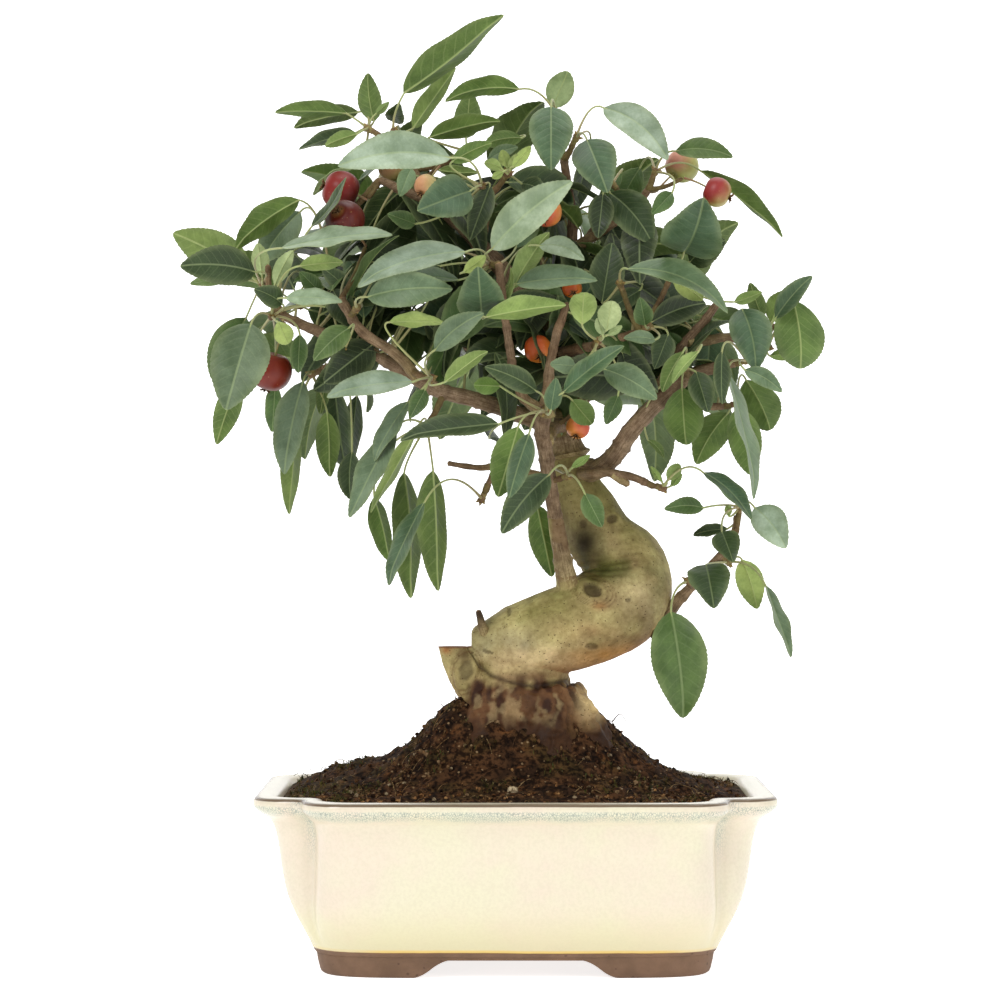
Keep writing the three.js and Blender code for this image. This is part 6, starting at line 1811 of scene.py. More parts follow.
# Hub, then each leaf: side, base u v, tip u v, half-width, depth of base, tip's depth less base's, bend, tone
SPRAYS: dict[str, tuple[tuple[float, float, float], Sequence[tuple]]] = {
    "left_tip": ((262, 284, -12), (
        (U, 250, 275, 173, 233, 22, -14, -4, 3, L), (T, 255, 272, 180, 266, 20, -34, -12, 4, D),
        (U, 262, 275, 258, 243, 9, -22, -4, 0, P), (U, 275, 285, 293, 250, 8, -28, -6, 2, P),
        (T, 282, 248, 392, 233, 10, -58, -4, 6, S), (T, 246, 318, 212, 380, 20, 8, 4, 0, M))),
    "left_low": ((272, 316, -28), (
        (T, 251, 324, 226, 410, 29, -42, -6, 0, G), (U, 238, 385, 217, 444, 13, 2, 6, 2, M),
        (T, 286, 298, 342, 301, 9, -44, -4, 3, S), (U, 300, 266, 343, 262, 8, -32, -8, 2, L),
        (T, 275, 385, 272, 432, 9, 16, 4, 0, M), (T, 300, 335, 298, 373, 9, -12, 0, 0, M),
        (U, 278, 322, 288, 344, 10, -40, -6, 0, Y), (T, 282, 304, 254, 289, 11, -38, -10, 2, D))),
    "left_hanging": ((312, 374, -9), (
        (T, 303, 382, 284, 474, 17, -18, -4, 3, G), (U, 295, 430, 288, 514, 9, -2, 4, 2, L),
        (U, 325, 378, 320, 414, 7, -14, -2, 0, D), (U, 327, 412, 329, 477, 12, -10, 0, 0, M),
        (T, 335, 388, 346, 472, 15, 6, 6, 2, D), (T, 357, 396, 352, 460, 10, 14, 6, 2, D))),
    "left_middle": ((344, 350, -34), (
        (T, 349, 328, 314, 360, 13, -54, -8, 2, B), (T, 372, 345, 325, 382, 20, -10, 6, 0, I),
        (T, 333, 290, 352, 328, 14, -22, 0, 0, I), (T, 352, 452, 351, 500, 12, 10, 8, 2, D))),
    "left_upper": ((322, 232, -4), (
        (U, 299, 200, 234, 248, 13, -12, -4, 6, M), (T, 300, 212, 262, 262, 18, 10, 6, 3, G),
        (T, 312, 226, 345, 177, 6, -54, -4, -3, D), (T, 320, 292, 300, 272, 9, -10, -6, 0, M))),
    "crown_left_tip": ((368, 129, 0), (
        (U, 346, 113, 275, 112, 7, 0, -4, 4, M), (U, 358, 112, 294, 126, 9, 12, 6, 4, D),
        (T, 355, 133, 299, 150, 8, 18, 8, 3, D), (U, 357, 134, 325, 146, 7, -10, -8, 2, L),
        (U, 374, 121, 368, 73, 12, 4, 2, 2, M))),
    "crown_spire": ((394, 132, -10), (
        (U, 404, 93, 502, 13, 13, -14, -4, 1, M), (T, 394, 122, 399, 104, 10, 14, 8, 0, D),
        (U, 413, 128, 456, 68, 9, 8, 4, 3, L), (T, 411, 168, 400, 196, 9, -24, -6, 0, G))),
    "crown_front": ((482, 186, -36), (
        (T, 450, 158, 338, 166, 20, -58, -6, 10, S), (T, 470, 191, 417, 211, 22, -50, -12, 0, E),
        (T, 490, 186, 470, 240, 12, -30, -2, 0, I), (U, 452, 162, 492, 143, 9, -34, -4, 2, B),
        (T, 415, 224, 388, 214, 9, -30, -8, 0, M))),
    "crown_middle": ((470, 152, 6), (
        (U, 466, 138, 470, 91, 14, 16, 6, 0, M), (U, 430, 137, 500, 120, 10, -6, -4, 4, M),
        (U, 522, 138, 484, 145, 9, -12, -6, 3, M), (T, 440, 158, 408, 150, 10, 22, 6, 2, D))),
    "crown_young": ((508, 174, -32), (
        (U, 507, 167, 502, 150, 6, -34, -2, 0, Y), (U, 513, 167, 531, 146, 6, -38, -4, 0, Y),
        (U, 502, 169, 484, 163, 6, -38, -4, 2, Y), (T, 488, 160, 518, 147, 7, -22, 2, 2, G),
        (T, 522, 184, 546, 196, 10, -24, 0, 3, D))),
    "crown_top": ((556, 114, -4), (
        (U, 552, 108, 568, 71, 14, 8, 4, 0, S), (T, 551, 107, 551, 168, 22, -26, -4, 0, E),
        (U, 519, 89, 445, 101, 9, -8, -4, 9, M))),
    "crown_right": ((576, 138, -10), (
        (T, 587, 140, 607, 191, 22, -26, -6, 0, E), (T, 604, 108, 668, 160, 17, -10, -10, 9, S),
        (T, 590, 148, 570, 218, 9, 16, 8, 3, D))),
    "right_crown_inner": ((612, 184, -6), (
        (T, 610, 193, 652, 243, 20, -20, -4, 4, D), (T, 603, 194, 598, 238, 13, -26, -6, 0, I))),
    "right_crown_tip": ((655, 172, -4), (
        (T, 676, 151, 733, 157, 11, -8, -4, 5, B), (U, 701, 171, 784, 235, 5, 10, 6, 6, M),
        (T, 672, 193, 652, 214, 9, -24, -6, 0, M), (T, 640, 168, 622, 205, 13, 22, 8, 2, M))),
    "right_shoulder": ((672, 276, -30), (
        (T, 684, 252, 704, 197, 31, -38, 4, 3, E), (U, 674, 282, 703, 300, 9, -34, -8, 2, Y),
        (T, 690, 262, 726, 240, 16, 4, 12, 3, D))),
    "right_inner_top": ((620, 284, -42), (
        (T, 628, 269, 728, 312, 13, -52, -6, 16, G), (T, 602, 302, 612, 243, 18, -32, 4, 0, D),
        (T, 640, 290, 605, 312, 10, -26, -4, 0, D))),
    "right_inner": ((649, 327, -36), (
        (T, 652, 322, 706, 303, 14, -32, 4, 3, I), (T, 645, 325, 640, 298, 10, -46, -6, 0, M),
        (T, 668, 335, 655, 368, 12, -36, 4, 0, D), (T, 655, 340, 624, 338, 7, -52, -8, 2, G))),
    "centre_upper": ((490, 264, -40), (
        (T, 492, 249, 572, 181, 20, -64, -8, 5, S), (T, 465, 252, 357, 284, 15, -60, -8, 10, S),
        (U, 464, 272, 486, 256, 7, -66, -6, 0, Y), (T, 458, 280, 390, 271, 7, -50, -4, 2, G),
        (T, 440, 266, 386, 264, 9, -24, 6, 3, D), (T, 412, 268, 362, 302, 12, -6, 8, 2, I))),
    "centre": ((497, 300, -40), (
        (T, 482, 318, 478, 267, 24, -56, -4, 0, E), (U, 486, 317, 566, 305, 10, -62, -4, 4, L),
        (T, 510, 297, 562, 300, 8, -28, 8, 0, D), (U, 513, 288, 548, 232, 11, -46, 2, 3, L),
        (T, 517, 284, 597, 279, 13, -64, -6, 4, G), (T, 540, 246, 584, 260, 10, -42, -6, 6, S))),
    "left_front": ((432, 378, -46), (
        (T, 412, 382, 327, 395, 12, -60, -8, 5, S), (T, 435, 350, 483, 313, 13, -72, -6, 4, G),
        (U, 445, 382, 487, 350, 8, -78, -6, 2, L), (T, 408, 402, 373, 460, 10, -50, -2, 3, G),
        (T, 425, 390, 410, 418, 9, -62, -8, 0, M), (U, 390, 322, 445, 322, 7, -46, -6, 3, Y))),
    "left_front_upper": ((357, 308, -46), (
        (T, 368, 297, 452, 289, 18, -64, -6, 4, G), (T, 352, 296, 322, 268, 10, -30, 4, 2, D),
        (T, 372, 262, 350, 292, 12, -18, 2, 0, I))),
    "hanging": ((427, 426, -36), (
        (T, 395, 430, 350, 518, 14, -48, -2, 4, G), (U, 415, 432, 370, 512, 6, -60, -4, 3, L),
        (U, 404, 473, 409, 598, 14, -28, 8, 0, M), (U, 433, 471, 437, 591, 15, -46, 0, 2, M),
        (U, 374, 498, 389, 562, 10, -2, 8, 0, M))),
    "hanging_inner": ((482, 499, -20), (
        (T, 424, 503, 386, 584, 10, -62, -4, 4, E),)),
    "centre_low": ((546, 412, -50), (
        (T, 536, 391, 485, 367, 12, -60, -8, 3, D), (T, 498, 424, 400, 437, 12, -80, -8, 4, D),
        (U, 518, 427, 498, 497, 18, -58, -2, 0, B), (T, 529, 434, 509, 498, 12, -74, -6, 0, E),
        (T, 551, 410, 556, 378, 9, -64, -6, 0, E), (T, 564, 392, 624, 346, 11, -70, -8, 4, E),
        (U, 572, 400, 592, 424, 12, -34, 6, 0, M), (U, 500, 386, 474, 385, 9, -56, -10, 0, B))),
    "low_front": ((568, 476, -34), (
        (T, 549, 475, 502, 533, 17, -56, -6, 4, D), (U, 537, 505, 552, 577, 15, 2, -4, 0, B),
        (T, 585, 494, 602, 527, 11, -54, -4, 0, M))),
    "middle_right": ((598, 341, -50), (
        (U, 582, 324, 584, 292, 14, -66, -6, 0, Y), (U, 607, 330, 612, 300, 12, -60, -8, 0, P),
        (T, 604, 369, 657, 399, 15, -62, -6, 3, G), (T, 618, 396, 606, 424, 9, -40, -4, 0, M),
        (T, 575, 366, 550, 364, 9, -62, -8, 0, G), (T, 622, 352, 636, 396, 12, -30, 8, 0, I))),
    "right_twig": ((737, 404, -8), (
        (U, 728, 413, 696, 464, 17, 4, 4, 3, M), (U, 738, 408, 750, 475, 17, -12, -2, 2, M),
        (U, 746, 380, 770, 430, 20, 14, 6, 3, M))),
    "right_face": ((747, 361, -22), (
        (T, 745, 370, 782, 392, 9, -40, -6, 3, G), (T, 728, 374, 758, 498, 9, -34, -8, 6, G),
        (T, 722, 352, 722, 404, 9, -44, -6, 0, D))),
    "right_tip": ((768, 347, -6), (
        (T, 742, 309, 756, 369, 21, -22, -6, 3, E), (U, 793, 300, 800, 370, 25, 6, 2, 4, M),
        (T, 776, 318, 812, 276, 10, -16, -4, 3, E), (U, 771, 322, 785, 291, 12, 19, 6, 0, L))),
    "right_branch": ((684, 368, -30), (
        (U, 682, 388, 686, 446, 20, 4, 8, 0, M), (T, 696, 372, 708, 412, 13, -34, 0, 0, D),
        (U, 683, 352, 662, 392, 9, -46, -4, 2, M), (U, 698, 352, 672, 383, 6, -56, -4, 3, L))),
    "low_right_twig": ((662, 488, -19), (
        (U, 668, 480, 680, 464, 7, -22, -2, 0, L), (T, 704, 473, 751, 520, 9, -34, -6, 7, E))),
    "right_low_top": ((740, 507, -1), (
        (T, 703, 508, 665, 509, 9, -14, -8, 3, M), (T, 755, 508, 786, 548, 17, -16, -8, 3, S),
        (T, 727, 529, 693, 535, 6, 14, 6, 2, D), (T, 722, 532, 733, 561, 14, -24, -8, 0, D))),
    "right_low": ((728, 562, 2), (
        (U, 742, 560, 757, 609, 14, -2, 0, 2, Y), (T, 706, 565, 714, 607, 21, -24, -10, 0, D),
        (T, 766, 586, 792, 657, 7, -12, -4, 2, G))),
    "right_low_hanging": ((688, 581, -20), (
        (T, 671, 612, 684, 718, 28, -34, -4, 2, B),)),
}

# Small leaves that only the dressed part has, on the same hubs
SMALL: dict[str, Sequence[tuple]] = {
    "left_tip": ((T, 226, 281, 190, 284, 6, -8, -4, 2, L),),
    "crown_left_tip": ((U, 376, 114, 389, 102, 4, 2, 0, 0, L), (U, 352, 168, 313, 195, 4, 14, 6, 5, P)),
    "crown_middle": ((U, 440, 170, 478, 172, 5, -10, -6, 0, L),),
    "right_crown_inner": ((T, 621, 173, 606, 196, 6, 6, 0, 0, M),),
    "low_front": ((U, 572, 468, 590, 455, 4, -36, -4, 0, L),),
    "right_tip": ((U, 762, 318, 750, 283, 9, 12, 4, 0, D), (U, 770, 356, 797, 357, 6, -4, -2, 2, L)),
    "right_shoulder": ((U, 735, 302, 762, 292, 6, 2, 4, 0, L),),
    "right_branch": ((T, 682, 350, 668, 332, 7, -10, 0, 0, M), (U, 648, 440, 664, 458, 4, -18, 0, 3, M)),
    "middle_right": ((U, 603, 335, 597, 318, 5, -58, -4, 0, P), (U, 608, 335, 622, 326, 4, -58, -4, 0, P)),
    "low_right_twig": ((U, 662, 482, 651, 466, 3, -20, -2, 0, L), (U, 671, 486, 682, 474, 4, -18, 0, 0, L)),
    "right_low_top": ((U, 729, 516, 728, 505, 4, -6, -2, 0, L),),
    "centre": ((U, 502, 303, 512, 268, 4, -46, -2, 3, L),),
    "crown_young": ((U, 510, 170, 517, 154, 5, -36, -3, 0, Y), (U, 503, 172, 492, 178, 4, -40, -3, 0, Y)),
}

# The far side's sprays: rows of tilt, how many, and the turns from and to, over a rounded crown
BACK_MIDDLE, BACK_REACH = vec(-14, 8, 300), vec(100, 78, 74)
BACK_ROWS = ((-12, 3, 38, 142), (12, 3, 22, 158), (36, 2, 50, 130), (60, 1, 90, 90))
BACK_LEAVES = 4
FOLD_MEAN = 0.75
SHADED_HALF = 0.42
HUB_RADIUS = 2.3
GAP = 0.3
# How the part may have moved, shrunk or lifted a leaf to keep it clear of others, and what counts as found
SHIFTS = (0, 4, -4, 8, -8, 12, -12, 17, -17, 23, -23, 30, -30)
SIZES = (1, 0.85, 0.7)
LIFTS = (1, 3.2, -2)
CLOSE = 0.55


@dataclass
class Leaf:
    """One leaf: where its blade lies and how it is coloured."""

    base: np.ndarray
    tip: np.ndarray
    half_width: float
    normal: np.ndarray
    bend: np.ndarray
    tone: Tone = Tone.MID
    lift: float = 1.0
    arch: float = 0.07
    fold: float = 0.24
    long: float = 52.0
    tooth: float = 2.0

    @classmethod
    def from_row(cls, row: tuple, shift: float) -> "Leaf":
        """A leaf of the elevation, moved back by a shift."""
        side, u0, v0, u1, v1, seen, depth, dive, bow, tone = row
        base, flat_tip = place(u0, v0, depth + shift), place(u1, v1, depth + shift)
        seen_width = seen * unit_at(depth)
        least = seen_width / 0.3
        hidden = math.sqrt(max(0.0, least * least - float(np.sum((flat_tip - base) ** 2))))
        tip = place(u1, v1, depth + shift + (-hidden if hidden > abs(dive) else dive))
        length = float(np.linalg.norm(tip - base))
        along = (tip - base) / length
        half_width = max(seen_width, 0.2 * length)
        facing = norm(vec(0, -1, 0) + along * along[1])
        across = np.cross(facing, along)
        middle = (base + tip) / 2
        upward = across[2] if abs(across[2]) > 0.3 else across[0] * (math.copysign(1, middle[0] + 7))
        across = -across if upward < 0 else across
        roll = math.acos(min(1.0, seen_width / half_width))
        normal = facing * side * math.cos(roll) + across * math.sin(roll)
        lifted = (cls.arch * length + FOLD_MEAN * cls.fold * half_width) * math.sin(roll)
        bend = across * (bow * unit_at(depth) - lifted)
        bend[1] = 0
        return cls(base, tip, half_width, normal, bend, tone)

    def scaled(self, size: float) -> "Leaf":
        """The same leaf made smaller from its base."""
        return replace(self, tip=self.base + (self.tip - self.base) * size, half_width=self.half_width * size)

    def axes(self) -> tuple[float, np.ndarray, np.ndarray, np.ndarray]:
        """The blade's length, and its along, top and side directions."""
        length = float(np.linalg.norm(self.tip - self.base))
        along = (self.tip - self.base) / length
        top = norm(self.normal - along * np.dot(self.normal, along))
        return length, along, top, np.cross(along, top)

    def rib(self, t: np.ndarray) -> np.ndarray:
        """Points of the mid-rib at shares t."""
        length, _, top, _ = self.axes()
        bow = 4 * t * (1 - t)
        t = np.asarray(t)[..., None]
        return self.base * (1 - t) + self.tip * t + bow[..., None] * (self.bend + top * self.arch * length)

    def probes(self) -> np.ndarray:
        """Mid-rib points that the part's own leaf passes through."""
        count = 2 if np.linalg.norm(self.tip - self.base) > self.long else 1
        return np.concatenate([self.rib(np.arange(1, count + 1) / (count + 1)), [self.tip]])

    def add_to(self, skin: Skin, draw: np.random.Generator) -> None:
        """Adds the blade, thin and closed, with cut edges, waves and both faces.

        Args:
            skin: The spray's skin, whose finishes start with top and underside.
            draw: The random draw.
        """
        length, along, top, side = self.axes()
        teeth = max(8, int(length / self.tooth))
        stations = 2 * teeth + 1
        s = np.linspace(0, 1, stations)
        w = np.array([-1, -0.66, -0.32, -0.07, 0, 0.07, 0.32, 0.66, 1])
        full = 1.06 * np.sin(np.pi * np.clip(s, 1e-6, 1 - 1e-6) ** 0.86) ** 0.68 * (1 - 0.1 * s)
        width = np.maximum(self.half_width * full, 0.25 + 0.35 * (1 - s))
        width[-1] = 0.08
        cut = np.where(np.arange(stations) % 2 == 1, 1.0, 0.978) + draw.uniform(-0.008, 0.008, stations)
        reach = np.outer(width, w)
        reach[:, [0, -1]] *= cut[:, None]
        lean = np.zeros_like(reach)
        lean[:, [0, -1]] = np.where(np.arange(stations) % 2 == 1, 0.3, 0.0)[:, None]
        mag = np.abs(w)
        rise = self.fold * draw.uniform(0.45, 1.25) * width[:, None] * (1.54 * mag - 0.54 * mag * mag)
        phase = draw.uniform(0, 2 * np.pi, 2)
        waves, depth = draw.uniform(1.2, 2.6), draw.uniform(0.04, 0.13)
        ripple = np.where(w < 0, np.sin(2 * np.pi * waves * s[:, None] + phase[0]),
                          np.sin(2 * np.pi * waves * s[:, None] + phase[1]))
        rise = rise + depth * width[:, None] * mag ** 2 * ripple * np.sin(np.pi * s)[:, None]
        curl = draw.uniform(-0.01, 0.05) * length
        rise = rise - curl * smoothstep(0.72, 1.0, s)[:, None] ** 2
        twist = math.radians(draw.normal(0, 7)) * (s - 0.4)[:, None]
        flat = reach * np.cos(twist) - rise * np.sin(twist)
        tall = reach * np.sin(twist) + rise * np.cos(twist)
        grid = (self.rib(s)[:, None, :] + flat[..., None] * side + tall[..., None] * top
                + lean[..., None] * along)
        rib_ridge = np.where(mag < 0.01, 0.34, np.where(mag < 0.1, 0.1, 0.0)) * (1 - 0.6 * s[:, None])
        skin_half = 0.13
        upper = grid + top * (skin_half - 0.6 * rib_ridge[..., None] * 0.5)
        lower = grid - top * (skin_half + rib_ridge[..., None])
        columns = len(w)
        i, j = np.meshgrid(np.arange(stations - 1), np.arange(columns - 1), indexing="ij")
        a = (i * columns + j).ravel()
        quads = np.stack([a, a + 1, a + columns + 1, a + columns], axis=1)
        up_blade = np.broadcast_to(s[:, None], reach.shape)
        uv = np.stack([0.5 + reach / length, up_blade], axis=-1).reshape(-1, 2)
        count = stations * columns
        over, under = (np.tile(shade(*c), (count, 1)) for c in self.tone.value)
        flush = draw.uniform(0.86, 1.14) * np.array([1, draw.uniform(0.96, 1.04), draw.uniform(0.92, 1.08)])
        edge = np.broadcast_to(mag ** 6, reach.shape).ravel()
        # painted shade on silver and grey leaves: the half that turns from the light is darkened towards teal
        if self.tone in (Tone.SILVER_SHEEN, Tone.GREY):
            high = np.broadcast_to(w * np.sign(side[2]) > 0.05, reach.shape).ravel()
            patchy = 0.7 + 0.5 * rough(upper.reshape(-1, 3), 7, 81)
            over = blend(over, shade(*Tone.TEAL.value[0]), high * patchy * SHADED_HALF)
        over = blend(over * flush, LEAF_EDGE, edge * 0.35)
        under = blend(under * flush, LEAF_EDGE, edge * 0.3)
        base = skin.count
        skin.add(upper.reshape(-1, 3), [quads], 0, over, uv)
        skin.add(lower.reshape(-1, 3), [quads[:, ::-1]], 1, under, uv)
        loop = np.concatenate([
            np.arange(columns),
            np.arange(1, stations) * columns + columns - 1,
            (stations - 1) * columns + np.arange(columns - 2, -1, -1),
            np.arange(stations - 2, 0, -1) * columns,
        ])
        nxt = np.roll(loop, -1)
        rim = np.stack([loop, loop + count, nxt + count, nxt], axis=1)
        skin.faces.append(rim + base)
        skin.slots.append(np.full(len(rim), 1))

    def stalk_path(self, hub: np.ndarray) -> np.ndarray:
        """The leaf stalk's path, from inside the blade's foot to the bud."""
        _, along, top, _ = self.axes()
        reach = float(np.linalg.norm(self.base - hub))
        knee = (self.base - along * 0.42 * reach) * 0.88 + hub * 0.12 + UP * self.lift * min(4, reach * 0.1)
        foot = hub + norm(knee - hub) * 0.9
        count = max(8, int(reach / 2.2))
        outside = bezier(self.base - top * 0.1, knee, foot, count)
        return np.concatenate([[self.rib(np.array(0.05)) - top * 0.2], outside])

    def add_stalk(self, skin: Skin, hub: np.ndarray, draw: np.random.Generator) -> None:
        """Adds the leaf stalk, flushed with brown towards the bud."""
        path = self.stalk_path(hub)
        radii = np.interp(np.linspace(0, 1, len(path)), [0, 0.08, 0.5, 0.9, 1], [0.3, 0.5, 0.48, 0.62, 0.8])
        points, faces = tube(path, radii, 7)
        _, under = (shade(*c) for c in self.tone.value)
        fresh = blend(np.tile(under, (len(points), 1)), STALK_GREEN, np.full(len(points), 0.7))
        tone = blend(fresh, STALK_BROWN, np.linspace(-0.3, 0.75, len(points)) * draw.uniform(0.3, 1))
        skin.add(points, faces, 2, tone)


@dataclass
class Spray:
    """A bud with its leaves, standing for one node of the part."""

    name: str
    hub: np.ndarray
    toward: np.ndarray
    shapes: Sequence[Callable[[float], Leaf]]
    extras: Sequence[Leaf]
    seed: int

    def matched(self, shape: Callable[[float], Leaf], tree: BVHTree) -> Leaf:
        """The one of a leaf's possible places at which the part has it.

        Args:
            shape: Gives the leaf for a shift.
            tree: The node's surface.

        Returns:
            That leaf, with its stalk lifted as the part's is.
        """
        def off(points: np.ndarray) -> float:
            """How far the farthest of some points is from the node, in millimetres."""
            return max(tree.find_nearest(Vector((p + MIDDLE) * MM))[3] for p in points) / MM

        best, least = shape(0), math.inf
        for size, shift in product(SIZES, SHIFTS):
            leaf = shape(shift).scaled(size)
            away = off(leaf.probes())
            if away < least:
                best, least = leaf, away
            if away < CLOSE:
                break
        if least > CLOSE:
            log.warning("%s: a leaf is %.2f mm off", self.name, least)
        lifted = [replace(best, lift=lift) for lift in LIFTS]
        return min(lifted, key=lambda leaf: off(leaf.stalk_path(self.hub)[3:-3]))

    def add_bud(self, skin: Skin, draw: np.random.Generator) -> None:
        """Adds the knobbly spur end, ringed with old bud scales."""
        path = self.hub + np.outer(np.array([-3.4, -2.6, -1.8, -0.9, 0.0, 0.9, 1.7, 2.3]), self.toward)
        radii = np.array([1.1, 1.5, 1.35, 1.85, 1.6, 1.95, 1.45, 0.5])
        points, faces = tube(path, radii, 12, round_ends=True)
        points = points + 0.25 * np.stack([rough(points, 1.4, 71 + k) for k in range(3)], axis=1)
        tint = blend(np.tile(TWIG_BROWN, (len(points), 1)), BUD_GREEN, rough(points, 1.8, 74) + 0.3)
        skin.add(points, faces, 3, tint)
        for _ in range(3):
            out = norm(draw.normal(0, 1, 3) + self.toward * 1.2)
            path = self.hub + np.outer(np.array([0.6, 1.9, 2.9, 3.6]), out)
            skin.add(*tube(path, np.array([0.7, 0.75, 0.45, 0.08]), 6), 3, BUD_SCALE)

    def build(self, finishes: list[Material]) -> None:
        """Makes the spray's piece."""
        draw = np.random.default_rng(self.seed)
        node = "spray_" + self.name
        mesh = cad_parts[node].data
        tree = BVHTree.FromPolygons([v.co for v in mesh.vertices], [p.vertices for p in mesh.polygons])
        skin = Skin("leaves_" + self.name, finishes)
        self.add_bud(skin, draw)
        for leaf in [*(self.matched(shape, tree) for shape in self.shapes), *self.extras]:
            leaf.add_to(skin, draw)
            leaf.add_stalk(skin, self.hub, draw)
        settle(skin.build(48), "leaf", node)


DRAW_FACTOR, DRAW_STEP, DRAW_SIZE = 1664525, 1013904223, 2 ** 32


def portable_draw(seed: int) -> Callable[[], float]:
    """The part's own repeatable draw."""
    state = seed

    def draw() -> float:
        """The next value, 0 to 1."""
        nonlocal state
        state = (state * DRAW_FACTOR + DRAW_STEP) % DRAW_SIZE
        return state / DRAW_SIZE

    return draw


def back_leaf(hub: np.ndarray, out: np.ndarray, k: int, draw: Callable[[], float]) -> Leaf:
    """Leaf k of a spray on the far side.

    Args:
        hub: The spray's bud.
        out: The way that it faces.
        k: Which leaf.
        draw: The part's draw.

    Returns:
        The leaf.
    """
    turn = 2 * math.pi * (k + draw() * 0.5) / BACK_LEAVES
    length = 38 + 12 * draw()
    half_width = 10.5 + 3.5 * draw()
    stalk = 9 + 7 * draw()
    droop = 0.15 + 0.45 * draw()
    side = norm(np.cross(UP, out))
    spread = side * math.cos(turn) + np.cross(out, side) * math.sin(turn)
    away = norm(spread + out * 0.75 - UP * droop)
    base = hub + norm(spread + out * 0.9) * stalk
    normal = out * 0.8 + UP * 0.6 + spread * 0.2
    tone = (Tone.MID, Tone.DARK, Tone.TEAL, Tone.GREY)[k % 4]
    return Leaf(base, base + away * length, half_width, normal, vec(0, 0, length * 0.06), tone)


def slid(leaf: Leaf, way: np.ndarray, shift: float) -> Leaf:
    """A far-side leaf slid outward by a shift."""
    move = way * shift * 0.6
    return replace(leaf, base=leaf.base + move, tip=leaf.tip + move)


@dataclass
class Crown:
    """All sprays, seen and on the far side."""

    wood: Wood

    def back(self) -> list[tuple[str, np.ndarray, list[Leaf]]]:
        """Names, buds and leaves of the far side's sprays."""
        found = []
        for row, (tilt, count, start, stop) in enumerate(BACK_ROWS):
            for i in range(count):
                turn = math.radians(start + (stop - start) * i / (count - 1) if count > 1 else start)
                rise = math.radians(tilt + (i % 2) * 9)
                out = vec(math.cos(turn) * math.cos(rise), math.sin(turn) * math.cos(rise), math.sin(rise))
                hub = BACK_MIDDLE + out * BACK_REACH
                draw = portable_draw(1000 + row * 100 + i * 7)
                leaves = [back_leaf(hub, out, k, draw) for k in range(BACK_LEAVES)]
                found.append((f"back_{row + 1}_{i + 1}", hub, leaves))
        return found

    def sprays(self) -> list[Spray]:
        """Every spray, in the part's order."""
        made = []
        for number, (name, (hub, rows)) in enumerate(SPRAYS.items()):
            at = place(*hub)
            shapes = [lambda shift, row=row: Leaf.from_row(row, shift) for row in rows]
            extras = [Leaf.from_row(row, 0) for row in SMALL.get(name, ())]
            toward = self.wood.spur(at, 0, 1)[2]
            made.append(Spray(name, at, toward, shapes, extras, 100 + number))
        for number, (name, hub, leaves) in enumerate(self.back()):
            way = norm(hub - BACK_MIDDLE)
            shapes = [lambda shift, leaf=leaf, way=way: slid(leaf, way, shift) for leaf in leaves]
            made.append(Spray(name, hub, self.wood.spur(hub, 0, 1)[2], shapes, [], 200 + number))
        return made


